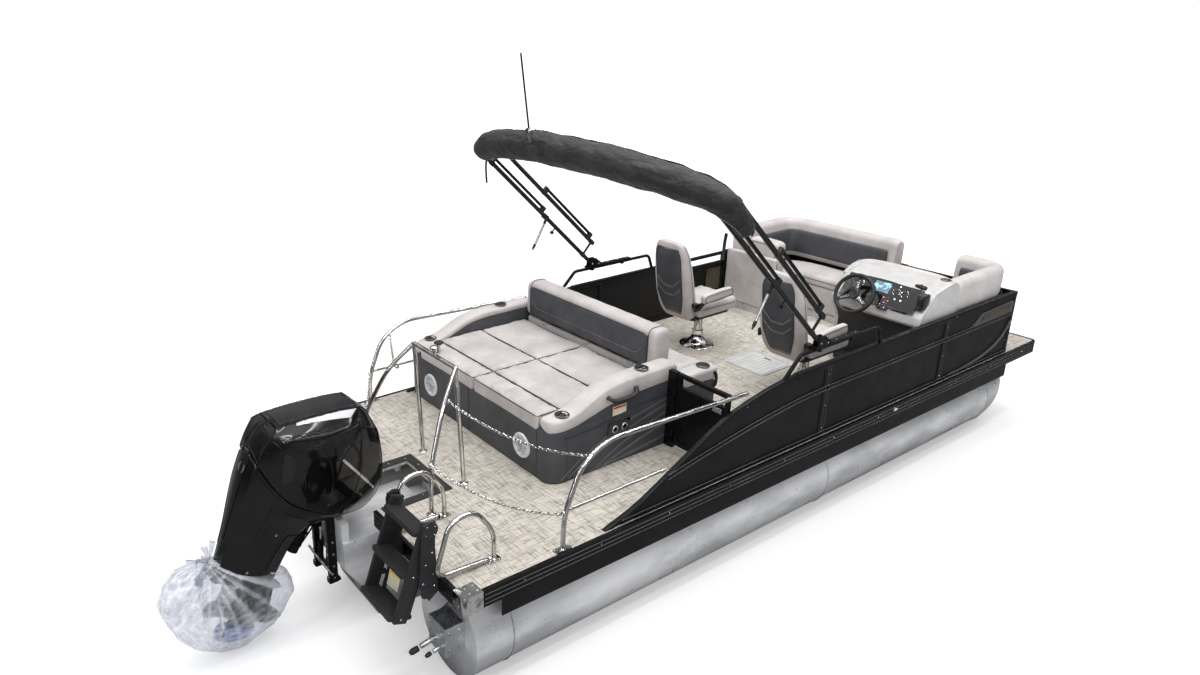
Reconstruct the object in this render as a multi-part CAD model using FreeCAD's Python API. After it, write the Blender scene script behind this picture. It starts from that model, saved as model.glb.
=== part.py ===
import FreeCAD, Part
import math
import os

# Three-tube pontoon boat with an outboard. Millimetres.
# +X points to the bow, +Y to port, +Z up. The origin is on the centreline, at the floor
# under the deck's aft edge, on the flat keel strip of the centre tube's engine pod.

V = FreeCAD.Vector
os.makedirs("parts", exist_ok=True)

# Hull
deck_length = 6700.0
deck_beam = 2590.0
deck_top = 785.0
deck_thick = 21.0
deck_corner_radius = 60.0
edge_rail_thick = 25.0
edge_rail_height = 110.0
tube_diameter = 635.0
tube_inset = 345.0
tube_aft_x = 80.0
tube_nose_x = 5950.0
tube_nose_length = 620.0
weld_height = 2.5
weld_width = 10.0
keel_height = 8.0
keel_width = 44.0
cross_height = 64.0
cross_width = 40.0
cross_pitch = 480.0
cross_first_x = 430.0
riser_width = 120.0
skirt_depth = 145.0
skirt_thick = 8.0
touch_gap = 0.3

# Engine pod and well
pod_width = 500.0
pod_front_x = 420.0
transom_x = -262.0
transom_thick = 50.0
transom_top = 775.0
well_length = 480.0
well_width = 440.0
well_border = 68.0

# Fences
fence_height = 605.0
fence_inset = 33.0
fence_thick = 16.0
fence_rail = 42.0
fence_front_x = 6137.0
swoop_start_x = 1060.0
swoop_end_x = 2950.0
post_width = 46.0
port_gate_aft_x = 4370.0
port_gate_front_x = 5050.0
bow_gate_starboard_y = -740.0
bow_gate_port_y = -210.0
gate_gap = 8.0
gate_thick = 30.0
aft_gate_x = 2218.0
aft_gate_inner_y = -748.0
aft_gate_height = 606.0

# Aft lounge
lounge_aft_x = 1105.0
lounge_front_x = 2290.0
bench_front_x = 2760.0
lounge_starboard_y = -660.0
lounge_port_gap = 62.0
arm_width = 150.0
lounge_base_height = 385.0
pad_height = 110.0
arm_low = 480.0
arm_high = 640.0

# Seats and console
chair_x = 3930.0
chair_port_y = 570.0
chair_helm_y = -620.0
seat_width = 500.0
seat_depth = 500.0
seat_top = 500.0
chair_back_top = 1110.0
chair_back_half = 200.0
couch_seat_height = 340.0
couch_pad = 110.0
couch_back_top = 860.0
couch_depth = 600.0
couch_back_thick = 200.0
port_couch_aft_x = 5062.0
starboard_couch_aft_x = 5140.0
console_aft_x = 4560.0
console_front_x = 5130.0
console_inner_y = -380.0
console_top = 900.0
wheel_radius = 168.0
wheel_rim = 14.0

# Rails, ladder and canopy
rail_tube = 16.0
side_rail_height = 650.0
tow_rail_height = 880.0
chain_radius = 7.0
loop_tube = 15.0
ladder_width = 380.0
ladder_y = -810.0
ladder_pivot_x = -70.0
ladder_pivot_z = 320.0
ladder_length = 600.0
ladder_lean = 20.0
arch_height = 745.0
arch_aft_x = 2750.0
arch_front_x = 3950.0
bow_pivot_x = 3120.0
bow_pivot_z = 795.0
bow_angle = 137.0
bow_length = 1890.0
bow_inset = 11.0
bow_spacing = 150.0
bow_tube = 14.0
boot_radius = 120.0
pole_length = 600.0
brace_along = 790.0
brace_length = 325.0
brace_pin = 6.0

# Outboard, in its own upright frame with the tilt axis at its origin
tilt_axis_x = -262.0
tilt_axis_z = 815.0
steer_offset = -90.0
engine_tilt = 32.0
engine_steer = 4.0
swivel_radius = 45.0
kingpin_radius = 20.0
plate_z = -600.0
prop_axis_z = -808.0
prop_radius = 180.0
prop_hub_radius = 46.0
prop_shaft_radius = 12.0
blade_count = 3
torpedo_radius = 56.0


def box(x0, x1, y0, y1, z0, z1):
    return Part.makeBox(x1 - x0, y1 - y0, z1 - z0, V(x0, y0, z0))


def deck_box(x0, x1, y0, y1, z0, z1):
    return box(x0, x1, y0, y1, deck_top + z0, deck_top + z1)


def rod(start, end, radius):
    a, b = V(*start), V(*end)
    return Part.makeCylinder(radius, (b - a).Length, a, b - a)


def fuse(shapes):
    whole = shapes[0]
    if len(shapes) > 1:
        whole = shapes[0].multiFuse(shapes[1:])
    return whole.removeSplitter()


def prism(points, direction):
    wire = Part.makePolygon([V(*p) for p in points] + [V(*points[0])])
    return Part.Face(wire).extrude(V(*direction))


def rounded(shape, radius):
    return shape.makeFillet(radius, shape.Edges)


def pipe(points, radius, bend):
    """Tube along straight runs joined by tangent arcs, as cylinders and torus sectors."""
    pts = [V(*p) for p in points]
    pieces = []
    last = pts[0]
    for before, corner, after in zip(pts, pts[1:], pts[2:]):
        into = (corner - before).normalize()
        out = (after - corner).normalize()
        turn = math.acos(max(-1.0, min(1.0, into.dot(out))))
        cut = bend * math.tan(turn / 2)
        start = corner - into * cut
        axis = into.cross(out).normalize()
        centre = start + axis.cross(into) * bend
        pieces.append(rod(last, start, radius))
        ring = Part.Face(Part.Wire(Part.makeCircle(radius, start, into)))
        pieces.append(ring.revolve(centre, axis, math.degrees(turn)))
        last = corner + out * cut
    pieces.append(rod(last, pts[-1], radius))
    return fuse(pieces)


def hung_line(start, end, sag, radius, runs):
    """A sagging line of six flat sides, as a loft through upright sections."""
    a, b = V(*start), V(*end)
    level = V(b.x - a.x, b.y - a.y, 0).normalize()
    side = V(-level.y, level.x, 0)
    rings = []
    for index in range(runs + 1):
        t = index / runs
        centre = a + (b - a) * t - V(0, 0, sag * 4 * t * (1 - t))
        ring = []
        for corner in range(6):
            turn = math.pi * corner / 3
            ring.append(centre + side * (radius * math.cos(turn)) + V(0, 0, radius * math.sin(turn)))
        rings.append(Part.makePolygon(ring + [ring[0]]))
    return Part.makeLoft(rings, True, True)


def mirror_y(shape):
    return shape.mirror(V(0, 0, 0), V(0, 1, 0))


def both_sides(shape):
    return [shape, mirror_y(shape)]


def write(name, shapes):
    shapes = shapes if isinstance(shapes, list) else [shapes]
    solids = [s for shape in shapes for s in shape.Solids]
    shape = solids[0] if len(solids) == 1 else Part.makeCompound(solids)
    shape.exportStep(f"parts/{name}.step")


# Hull

half_beam = deck_beam / 2
tube_spacing = half_beam - tube_inset
fence_face = half_beam - fence_inset
lounge_port_y = fence_face - lounge_port_gap
deck_half = half_beam - edge_rail_thick
deck_under = deck_top - deck_thick
cross_under = deck_under - cross_height
tube_radius = tube_diameter / 2
tube_axis_z = keel_height + tube_radius


def circle_wire(x, y, z, radius):
    return Part.Wire(Part.makeCircle(radius, V(x, y, z), V(1, 0, 0)))


def tube(y, aft_x):
    barrel = Part.makeCylinder(tube_radius, tube_nose_x - aft_x, V(aft_x, y, tube_axis_z), V(1, 0, 0))
    sections = []
    for along, size in ((0.0, 1.0), (0.3, 0.95), (0.6, 0.78), (0.85, 0.48), (1.0, 0.16)):
        radius = tube_radius * size
        lift = (tube_radius - radius) * 0.55
        sections.append(circle_wire(tube_nose_x + tube_nose_length * along, y, tube_axis_z + lift, radius))
    pieces = [barrel, Part.makeLoft(sections, True, False)]
    for x in (aft_x + 270, 3450.0, tube_nose_x):
        ring_at = V(x - weld_width / 2, y, tube_axis_z)
        pieces.append(Part.makeCylinder(tube_radius + weld_height, weld_width, ring_at, V(1, 0, 0)))
    keel = box(aft_x + 60, tube_nose_x - 60, y - keel_width / 2, y + keel_width / 2, 0, keel_height + 3)
    pieces.append(keel)
    return fuse(pieces)


write("tubes_outer", [tube(-tube_spacing, tube_aft_x), tube(tube_spacing, tube_aft_x)])
write("tube_centre", tube(0.0, pod_front_x))


def riser(y, aft_x):
    strip = box(aft_x + 90, tube_nose_x + 120, y - riser_width / 2, y + riser_width / 2,
                tube_axis_z + tube_radius * 0.9, cross_under)
    core = Part.makeCylinder(tube_radius + weld_height, deck_length, V(aft_x - 50, y, tube_axis_z), V(1, 0, 0))
    return strip.cut(core)


risers = [riser(-tube_spacing, tube_aft_x), riser(0.0, pod_front_x), riser(tube_spacing, tube_aft_x)]
cross_members = []
cross_count = int((deck_length - cross_first_x - 100) / cross_pitch) + 1
well_half = well_width / 2
for index in range(-1, cross_count):
    x = cross_first_x + index * cross_pitch if index >= 0 else 90.0
    spans = [(-deck_half + 12, deck_half - 12)]
    if x < well_length + cross_width:
        spans = [(-deck_half + 12, -well_half - 40), (well_half + 40, deck_half - 12)]
    for y0, y1 in spans:
        cross_members.append(box(x - cross_width / 2, x + cross_width / 2, y0, y1, cross_under, deck_under))
write("deck_frame", fuse(cross_members + risers))

# Engine pod: a welded box behind the centre tube, with the raised transom

pod_half = pod_width / 2
pod_side = [(transom_x, 640), (transom_x, 440), (transom_x + 130, 250), (-70, 60), (-40, 0),
            (pod_front_x, 0), (pod_front_x, 640)]
pod = prism([(x, -pod_half, z) for x, z in pod_side], (0, pod_width, 0))
transom = box(transom_x, transom_x + transom_thick, -pod_half + 20, pod_half - 20, 600, transom_top)
write("engine_pod", fuse([pod, transom]))

# Deck with the engine well and the floor hatch cut through

hatch_x = 3830.0
hatch_y = -280.0
hatch_size = 390.0
hatch_border = 26.0
deck = box(0, deck_length - edge_rail_thick, -deck_half, deck_half, deck_under, deck_top)
bow_edges = [e for e in deck.Edges if abs(e.CenterOfMass.z - (deck_under + deck_top) / 2) < 1
             and e.CenterOfMass.x > deck_length / 2 and abs(abs(e.CenterOfMass.y) - deck_half) < 1
             and abs(e.CenterOfMass.x - (deck_length - edge_rail_thick)) < 1]
deck = deck.makeFillet(deck_corner_radius - edge_rail_thick, bow_edges)
deck = deck.cut(box(hatch_x, hatch_x + hatch_size, hatch_y, hatch_y + hatch_size, deck_under - 5, deck_top + 5))
aft_sheets = both_sides(box(0, well_length - touch_gap, well_half, deck_half, deck_under, deck_top))
deck = deck.cut(box(-10, well_length, -half_beam, half_beam, deck_under - 5, deck_top + 5))
write("deck", [deck] + aft_sheets)

well_frame = fuse([
    deck_box(well_length, well_length + well_border, -well_half - well_border, well_half + well_border, 0, 10),
    deck_box(30, well_length, well_half, well_half + well_border, 0, 10),
    deck_box(30, well_length, -well_half - well_border, -well_half, 0, 10)])
write("well_frame", well_frame)

tray_wall = 3.0
tray_floor = cross_under + touch_gap
tray = box(hatch_x, hatch_x + hatch_size, hatch_y, hatch_y + hatch_size, tray_floor, deck_top - 10)


def hatch_well(inset, z0):
    return box(hatch_x + inset, hatch_x + hatch_size - inset, hatch_y + inset, hatch_y + hatch_size - inset,
               z0, deck_top)


tray_hollow = fuse([hatch_well(tray_wall, tray_floor + tray_wall).cut(hatch_well(-10, deck_top - 22)),
                    hatch_well(16, deck_top - 25)])
hatch_frame = box(hatch_x - hatch_border, hatch_x + hatch_size + hatch_border, hatch_y - hatch_border,
                  hatch_y + hatch_size + hatch_border, deck_top, deck_top + 4)
hatch_frame = hatch_frame.cut(box(hatch_x + 2, hatch_x + hatch_size - 2, hatch_y + 2, hatch_y + hatch_size - 2,
                                  deck_top - 1, deck_top + 5))
hatch_axis = V(hatch_x + 4, hatch_y + 30, deck_top + 3.5)
knuckle_length = 60
knuckle_starts = (0, hatch_size - 60 - knuckle_length)
knuckles = [Part.makeCylinder(3, knuckle_length, hatch_axis + V(0, start, 0), V(0, 1, 0)) for start in knuckle_starts]
for start in knuckle_starts:
    y0 = hatch_axis.y + start - 2
    hatch_frame = hatch_frame.cut(box(hatch_x - 3, hatch_x + 8, y0, y0 + knuckle_length + 4, deck_top, deck_top + 5))
write("hatch_tray", [tray.cut(tray_hollow), hatch_frame])
hatch_lid = box(hatch_x + 7, hatch_x + hatch_size - 7, hatch_y + 7, hatch_y + hatch_size - 7,
                deck_top - 9.7, deck_top + 3)
write("hatch_lid", fuse([hatch_lid] + knuckles))


def ribbed_rail(length):
    rail = box(0, length, 0, edge_rail_thick, deck_top - edge_rail_height, deck_top + 3)
    for z in (22, 52, 82):
        groove = box(-1, length + 1, edge_rail_thick - 5, edge_rail_thick + 1, deck_top - z - 6, deck_top - z)
        rail = rail.cut(groove)
    return rail


casting_size = 105.0
side_length = deck_length - casting_size - deck_corner_radius
side_rail = ribbed_rail(side_length).translated(V(casting_size, deck_half, 0))
bow_rail = ribbed_rail(deck_beam - 2 * deck_corner_radius)
bow_rail.rotate(V(0, 0, 0), V(0, 0, 1), -90)
bow_rail.translate(V(deck_length - edge_rail_thick, half_beam - deck_corner_radius, 0))
aft_length = half_beam - casting_size - well_half
aft_rail = ribbed_rail(aft_length)
aft_rail.rotate(V(0, 0, 0), V(0, 0, 1), 90)
aft_rail.translate(V(0, well_half, 0))
edge_rails = both_sides(side_rail) + both_sides(aft_rail) + [bow_rail]
corner_outer = Part.makeCylinder(deck_corner_radius, edge_rail_height + 3,
                                 V(deck_length - deck_corner_radius, half_beam - deck_corner_radius,
                                   deck_top - edge_rail_height), V(0, 0, 1), 90)
corner_inner = Part.makeCylinder(deck_corner_radius - edge_rail_thick, edge_rail_height + 3,
                                 V(deck_length - deck_corner_radius, half_beam - deck_corner_radius,
                                   deck_top - edge_rail_height), V(0, 0, 1), 90)
edge_rails += both_sides(corner_outer.cut(corner_inner))
write("deck_edge_rail", edge_rails)

skirt = box(250, fence_front_x + 60, deck_half - skirt_thick - 2, deck_half - 2,
            deck_top - edge_rail_height - skirt_depth, deck_under)
skirt = skirt.cut(box(200, 260, 0, half_beam, 0, deck_top))
write("side_skirts", both_sides(skirt))

casting = box(-edge_rail_thick - 6, casting_size, half_beam - casting_size, half_beam + 6,
              deck_top - edge_rail_height - 6, deck_top + 6)
casting = casting.cut(box(0, casting_size + 1, 0, deck_half, 0, deck_top))
casting = casting.makeFillet(30, [e for e in casting.Edges if e.Length > edge_rail_height
                                  and e.CenterOfMass.x < -edge_rail_thick and e.CenterOfMass.y > half_beam])
write("corner_castings", both_sides(casting))

# Bracket on the starboard tube's aft end with two transducers

bracket_x0 = -60.0
bracket = box(bracket_x0, tube_aft_x, -tube_spacing - 190, -tube_spacing - 10, 290, 490)
bracket = bracket.cut(box(bracket_x0 + 6, tube_aft_x - 6, -tube_spacing - 184, -tube_spacing - 16, 296, 500))
stub = rod((bracket_x0 - 90, -tube_spacing - 60, 330), (bracket_x0, -tube_spacing - 60, 345), 16)
stub_small = rod((bracket_x0 - 45, -tube_spacing - 130, 320), (bracket_x0, -tube_spacing - 130, 330), 12)
write("transducer_bracket", fuse([bracket, stub, stub_small]))

# Fences


def fence_top_curve(aft_x, front_x):
    base = deck_top
    rise = [(swoop_start_x, 0.0), (1356, 92), (1707, 262), (2073, 440), (2317, 517), (2640, 578),
            (swoop_end_x, fence_height)]
    curve = Part.BSplineCurve()
    curve.interpolate([V(x, 0, base + z) for x, z in rise])
    top = Part.LineSegment(V(swoop_end_x, 0, base + fence_height), V(front_x, 0, base + fence_height)).toShape()
    front = Part.LineSegment(V(front_x, 0, base + fence_height), V(front_x, 0, base)).toShape()
    bottom = Part.LineSegment(V(front_x, 0, base), V(aft_x, 0, base)).toShape()
    return Part.Wire([curve.toShape(), top, front, bottom])


def swoop_fence(front_x, posts):
    panel = Part.Face(fence_top_curve(swoop_start_x, front_x)).extrude(V(0, fence_thick, 0))
    panel.translate(V(0, fence_face - fence_thick - 8, 0))
    pieces = [panel]
    top_rail = deck_box(swoop_end_x - 60, front_x, fence_face - fence_rail, fence_face,
                        fence_height - fence_rail, fence_height)
    pieces.append(top_rail)
    pieces.append(deck_box(swoop_start_x + 260, front_x, fence_face - 34, fence_face, 0, 40))
    for x in posts:
        pieces.append(deck_box(x - post_width / 2, x + post_width / 2, fence_face - 36, fence_face - 2,
                               0, fence_height - 5))
    return fuse(pieces)


starboard_fence = mirror_y(swoop_fence(fence_front_x, (3253, 4928, fence_front_x - post_width / 2)))
write("fence_starboard", starboard_fence)
port_aft_fence = swoop_fence(port_gate_aft_x, (3253, port_gate_aft_x - post_width / 2))


def flat_fence(length):
    pieces = [box(0, length, -fence_thick - 8, -8, 0, fence_height),
              box(0, length, -fence_rail, 0, fence_height - fence_rail, fence_height),
              box(0, length, -34, 0, 0, 40)]
    for x in (post_width / 2, length - post_width / 2):
        pieces.append(box(x - post_width / 2, x + post_width / 2, -36, -2, 0, fence_height - 5))
    return fuse(pieces)


knuckle_radius = 9.0
hinge_pin = 5.0
hinge_inset = 21.0
hinge_heights = (deck_top + 130, deck_top + 450)


def hinge(x, y, post_point, gate_point):
    """Knuckles about a vertical pin: the fixed half reaches post_point, the moving half gate_point."""
    fixed, moving = [], []
    for z in hinge_heights:
        fixed.append(Part.makeCylinder(knuckle_radius, 20, V(x, y, z - 25)))
        fixed.append(Part.makeCylinder(hinge_pin, 50, V(x, y, z - 20)))
        moving.append(Part.makeCylinder(knuckle_radius, 30, V(x, y, z - 4.5)))
        for pieces, (px, py), z0, z1 in ((fixed, post_point, z - 25, z - 5), (moving, gate_point, z - 4.5, z + 25.5)):
            pieces.append(box(min(x, px) - 2, max(x, px) + 2, min(y, py) - 2, max(y, py) + 2, z0, z1))
    bores = [Part.makeCylinder(hinge_pin + 0.05, 60, V(x, y, z - 4.5)) for z in hinge_heights]
    return fixed, fuse(moving).cut(Part.makeCompound(bores)), Part.makeCompound(bores)


port_hinge_x = port_gate_front_x - 4
port_hinge_y = fence_face - 4 - gate_thick - hinge_inset
port_fixed, port_moving, port_bores = hinge(port_hinge_x, port_hinge_y, (port_hinge_x + 14, fence_face - 34),
                                            (port_hinge_x - 12, fence_face - gate_thick))
port_front_fence = flat_fence(fence_front_x - port_gate_front_x)
port_front_fence.translate(V(port_gate_front_x, fence_face, deck_top))
write("fence_port", [port_aft_fence, fuse([port_front_fence] + port_fixed)])


def bow_fence(y0, y1):
    piece = flat_fence(y1 - y0)
    piece.rotate(V(0, 0, 0), V(0, 0, 1), -90)
    piece.translate(V(fence_front_x, y1, deck_top))
    return piece


bow_inner = fence_face - fence_rail - touch_gap
bow_hinge_x = fence_front_x - 4 - gate_thick - hinge_inset
bow_hinge_y = bow_gate_port_y - 4
bow_fixed, bow_moving, bow_bores = hinge(bow_hinge_x, bow_hinge_y, (fence_front_x - 34, bow_hinge_y + 14),
                                         (fence_front_x - gate_thick, bow_hinge_y - 12))
write("fence_bow", [bow_fence(-bow_inner, bow_gate_starboard_y),
                    fuse([bow_fence(bow_gate_port_y, bow_inner)] + bow_fixed)])


def gate(length, height):
    bar = 30.0
    frame = box(0, length, 0, gate_thick, 30, height)
    frame = frame.cut(box(bar, length - bar, -1, gate_thick + 1, height - 100, height - bar))
    frame = frame.cut(box(bar, length - bar, -1, 9, 70, height - 130))
    frame = frame.cut(box(bar, length - bar, gate_thick - 9, gate_thick + 1, 70, height - 130))
    return frame


port_gate = gate(port_gate_front_x - port_gate_aft_x - 2 * gate_gap, fence_height - 5)
port_gate.translate(V(port_gate_aft_x + gate_gap, fence_face - gate_thick - 4, deck_top))
write("gate_port", fuse([port_gate, port_moving]).cut(port_bores))

bow_gate = gate(bow_gate_port_y - bow_gate_starboard_y - 2 * gate_gap, fence_height - 5)
bow_gate.rotate(V(0, 0, 0), V(0, 0, 1), -90)
bow_gate.translate(V(fence_front_x - gate_thick - 4, bow_gate_port_y - gate_gap, deck_top))
write("gate_bow", fuse([bow_gate, bow_moving]).cut(bow_bores))

aft_gate_width = fence_face - fence_rail + aft_gate_inner_y - gate_gap
aft_gate = gate(aft_gate_width, aft_gate_height)
aft_gate.rotate(V(0, 0, 0), V(0, 0, 1), -90)
aft_gate.translate(V(aft_gate_x - gate_thick / 2, aft_gate_inner_y, deck_top))
gate_post = deck_box(aft_gate_x - 20, aft_gate_x + 20, aft_gate_inner_y + gate_gap, lounge_starboard_y - touch_gap,
                     0, aft_gate_height)
aft_hinge_x = aft_gate_x - gate_thick / 2 - hinge_inset
aft_hinge_y = aft_gate_inner_y + 4
aft_fixed, aft_moving, aft_bores = hinge(aft_hinge_x, aft_hinge_y, (aft_gate_x - 18, aft_hinge_y + 14),
                                         (aft_gate_x - 12, aft_hinge_y - 12))
gate_post = fuse([gate_post] + aft_fixed)
write("gate_aft", fuse([aft_gate, aft_moving]).cut(aft_bores))

# Aft lounge

base_body = deck_box(lounge_aft_x, bench_front_x - 30, lounge_starboard_y, lounge_port_y, 0, lounge_base_height)
corner_edges = [e for e in base_body.Edges if e.Length > lounge_base_height - 1 and e.Length < lounge_base_height + 1
                and e.CenterOfMass.x < lounge_aft_x + 1 and e.CenterOfMass.y < 0]
base_body = base_body.makeFillet(110, corner_edges)
write("lounge_base", base_body)

arm_bottom = lounge_base_height + touch_gap


def arm(y0, y1):
    side = [(lounge_aft_x + 20, arm_bottom), (lounge_front_x + 470, arm_bottom),
            (lounge_front_x + 470, arm_low + 20), (lounge_front_x + 40, arm_low + 20),
            (lounge_front_x + 10, arm_high), (1800, arm_high - 10), (1620, arm_high - 40),
            (1450, arm_low + 15), (lounge_aft_x + 20, arm_low)]
    body = prism([(x, y0, deck_top + z) for x, z in side], (0, y1 - y0, 0))
    holes = []
    for x, z in ((1290, arm_low + 10), (1990, arm_high)):
        middle = (y0 + y1) / 2
        holes.append(Part.makeCylinder(38, 75, V(x, middle, deck_top + z - 65), V(0, 0, 1)))
    return body.cut(Part.makeCompound(holes))


write("lounge_arms", [arm(lounge_starboard_y, lounge_starboard_y + arm_width),
                      arm(lounge_port_y - arm_width + 10, lounge_port_y)])

pads = []
pad_y0 = lounge_starboard_y + arm_width + 3
pad_y1 = lounge_port_y - arm_width + 7
pad_middle = (pad_y0 + pad_y1) / 2
pad_rows = ((lounge_aft_x + 4, 1290), (1296, 1712), (1718, lounge_front_x - 100))
for x0, x1 in pad_rows:
    for y0, y1 in ((pad_y0, pad_middle - 3), (pad_middle + 3, pad_y1)):
        pad = deck_box(x0, x1, y0, y1, arm_bottom, lounge_base_height + pad_height)
        pads.append(rounded(pad, 20))
backrest_bottom = lounge_base_height + pad_height + 25
backrest = deck_box(lounge_front_x - 95, lounge_front_x + 85, pad_y0 + 4, pad_y1 - 4,
                    backrest_bottom, backrest_bottom + 330)
write("lounge_backrest", rounded(backrest, 40))
backrest_post = deck_box(lounge_front_x - 60, lounge_front_x - 10, pad_y0 + 200, pad_y1 - 200,
                         arm_bottom, backrest_bottom - touch_gap)
write("lounge_fittings", [backrest_post, gate_post])
bench_pad = deck_box(lounge_front_x + 20, bench_front_x, pad_y0, pad_y1, arm_bottom, lounge_base_height + 95)
write("lounge_pads", pads + [rounded(bench_pad, 25)])

# Bow couches: bases, seat pads and backs


def couch_path(inner, outer, side, aft_x, end_y, z0, z1):
    """L-shaped slab along one side and across the bow, between two offsets from the fence."""
    front = fence_front_x - fence_rail - 3
    out_y = side * (fence_face - fence_rail - 3 - outer)
    in_y = side * (fence_face - fence_rail - 3 - inner)
    points = [(aft_x, out_y), (front - outer, out_y), (front - outer, end_y), (front - inner, end_y),
              (front - inner, in_y), (aft_x, in_y)]
    return prism([(x, y, deck_top + z0) for x, y in points], (0, 0, z1 - z0))


couches = ((1, port_couch_aft_x + 60, bow_gate_port_y + 40),
           (-1, starboard_couch_aft_x, bow_gate_starboard_y - 20))
couch_bases, couch_seats, couch_backs = [], [], []
for side, aft_x, end_y in couches:
    depth = couch_depth if side > 0 else couch_depth - 60
    couch_bases.append(couch_path(depth, 0, side, aft_x, end_y, 0, couch_seat_height))
    couch_seats.append(couch_path(depth + 10, couch_back_thick + 3, side, aft_x, end_y,
                                  couch_seat_height + touch_gap, couch_seat_height + couch_pad))
    couch_backs.append(couch_path(couch_back_thick, 0, side, aft_x, end_y,
                                  couch_seat_height + touch_gap, couch_back_top))

end_panel = deck_box(port_couch_aft_x, port_couch_aft_x + 57, fence_face - fence_rail - couch_depth - 30,
                     fence_face - fence_rail - 3, 0, 640)
end_cushion = deck_box(port_couch_aft_x + 63, port_couch_aft_x + 230, fence_face - fence_rail - couch_depth,
                       fence_face - fence_rail - couch_back_thick - 8, couch_seat_height + couch_pad + touch_gap,
                       couch_back_top - 60)
write("couch_bases", couch_bases + [end_panel])
write("couch_seats", couch_seats)
write("couch_backs", couch_backs + [rounded(end_cushion, 40)])

# Helm console

console_outer_y = -(fence_face - fence_rail - 3)
console_side = [(console_aft_x + 60, 0), (console_front_x, 0), (console_front_x, console_top - 60),
                (console_front_x - 120, console_top), (console_aft_x + 180, console_top - 60),
                (console_aft_x, console_top - 250), (console_aft_x, console_top - 330)]
console = prism([(x, console_outer_y, deck_top + z) for x, z in console_side],
                (0, console_inner_y - console_outer_y, 0))
write("helm_console", console)
dash_aft = (console_aft_x + 6, console_top - 250)
dash_top = (console_aft_x + 174, console_top - 60)
dash_run = math.hypot(dash_top[0] - dash_aft[0], dash_top[1] - dash_aft[1])
dash_slope = math.degrees(math.atan2(dash_top[1] - dash_aft[1], dash_top[0] - dash_aft[0]))
dash = Part.makeBox(dash_run - 20, console_inner_y - console_outer_y - 160, 26,
                    V(10, console_outer_y + 80, 6))
dash.rotate(V(0, 0, 0), V(0, 1, 0), -dash_slope)
dash.translate(V(dash_aft[0], 0, deck_top + dash_aft[1]))
dash = dash.cut(console)

wheel_x = 4500.0
wheel_z = deck_top + 735
wheel_lean = 28.0
wheel_tilt = math.radians(wheel_lean)
wheel_normal = V(-math.cos(wheel_tilt), 0, math.sin(wheel_tilt))
wheel_centre = V(wheel_x, chair_helm_y - 20, wheel_z)


def wheel_shape():
    rim = Part.makeTorus(wheel_radius, wheel_rim)
    hub = Part.makeCylinder(38, 34, V(0, 0, -20))
    spokes = []
    for angle in (90, 210, 330):
        end = V(wheel_radius * math.cos(math.radians(angle)), wheel_radius * math.sin(math.radians(angle)), 0)
        spokes.append(Part.makeCylinder(8, wheel_radius, V(0, 0, 0), end))
    column = Part.makeCylinder(20, 30, V(0, 0, -48))
    whole = fuse([rim, hub, column] + spokes)
    whole.rotate(V(0, 0, 0), V(0, 0, 1), 90)
    whole.rotate(V(0, 0, 0), V(0, 1, 0), -90 + wheel_lean)
    return whole.translated(wheel_centre)


write("helm_wheel", wheel_shape())
column_start = wheel_centre - wheel_normal * 48.5
column_end = wheel_centre - wheel_normal * 130
column = rod(column_start, column_end, 24).cut(console)

throttle_base = deck_box(console_aft_x + 30, console_aft_x + 130, console_outer_y + 20, console_outer_y + 75,
                         console_top - 190, console_top - 60)
throttle_lever = rod((console_aft_x + 70, console_outer_y + 62, deck_top + console_top - 70),
                     (console_aft_x + 40, console_outer_y + 62, deck_top + console_top + 30), 11)
throttle = fuse([throttle_base, throttle_lever]).cut(console)
write("dash_panel", [fuse([dash, column.Solids[0]]), throttle])

# Chairs

pedestals = []
for y in (chair_port_y, chair_helm_y):
    pedestals.append(fuse([
        Part.makeCylinder(165, 14, V(chair_x, y, deck_top)),
        Part.makeCone(150, 60, 40, V(chair_x, y, deck_top + 14)),
        Part.makeCylinder(40, 320 - 14, V(chair_x, y, deck_top + 14))]))
write("chair_pedestals", pedestals)


def chair_shell():
    """Swivel plate, seat frame and the leaning back, with the two arm brackets."""
    half = seat_width / 2
    plate = Part.makeCylinder(90, 40, V(0, 0, 320 + touch_gap))
    tray = box(-300, 120, -150, 150, 345, 369.7)
    side = [(-322, 330), (-265, 330), (-275, 560), (-400, chair_back_top - 20), (-500, chair_back_top),
            (-470, 900), (-390, 380)]
    shell = prism([(x, -chair_back_half, z) for x, z in side], (0, 2 * chair_back_half, 0))
    rear_edges = [e for e in shell.Edges if abs(abs(e.CenterOfMass.y) - chair_back_half) < 1
                  and e.CenterOfMass.x < -380 and e.CenterOfMass.z < chair_back_top - 15]
    shell = shell.makeFillet(30, rear_edges)
    brackets = []
    for edge in (-half - 16, half - 2):
        brackets.append(prism([(-345, edge, 480), (-300, edge, 480), (-270, edge, 525), (65, edge, 525),
                               (65, edge, 539.7), (-277, edge, 539.7), (-277, edge, 600), (-345, edge, 600)],
                              (0, 18, 0)))
        inner = min(abs(edge), abs(edge + 18))
        reach = inner - chair_back_half + 10
        low = inner - reach if edge > 0 else -inner
        brackets.append(box(-340, -290, low, low + reach, 500, 540))
    return fuse([plate, tray, shell] + brackets)


def chair_pads():
    half = seat_width / 2
    seat = rounded(box(-258, seat_depth / 2 + 20, 20 - half, half - 20, 370, seat_top), 35)
    arms = []
    for edge in (-half - 37, half - 23):
        arms.append(rounded(box(-274, 115, edge, edge + 60, 540, 615), 24))
    return [seat] + arms


for name, y in (("port", chair_port_y), ("helm", chair_helm_y)):
    place = V(chair_x, y, deck_top)
    write(f"chair_shell_{name}", chair_shell().translated(place))
    write(f"chair_pads_{name}", [pad.translated(place) for pad in chair_pads()])

# Stern rails, tow frame and chains

rail_y = fence_face - 12


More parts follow.
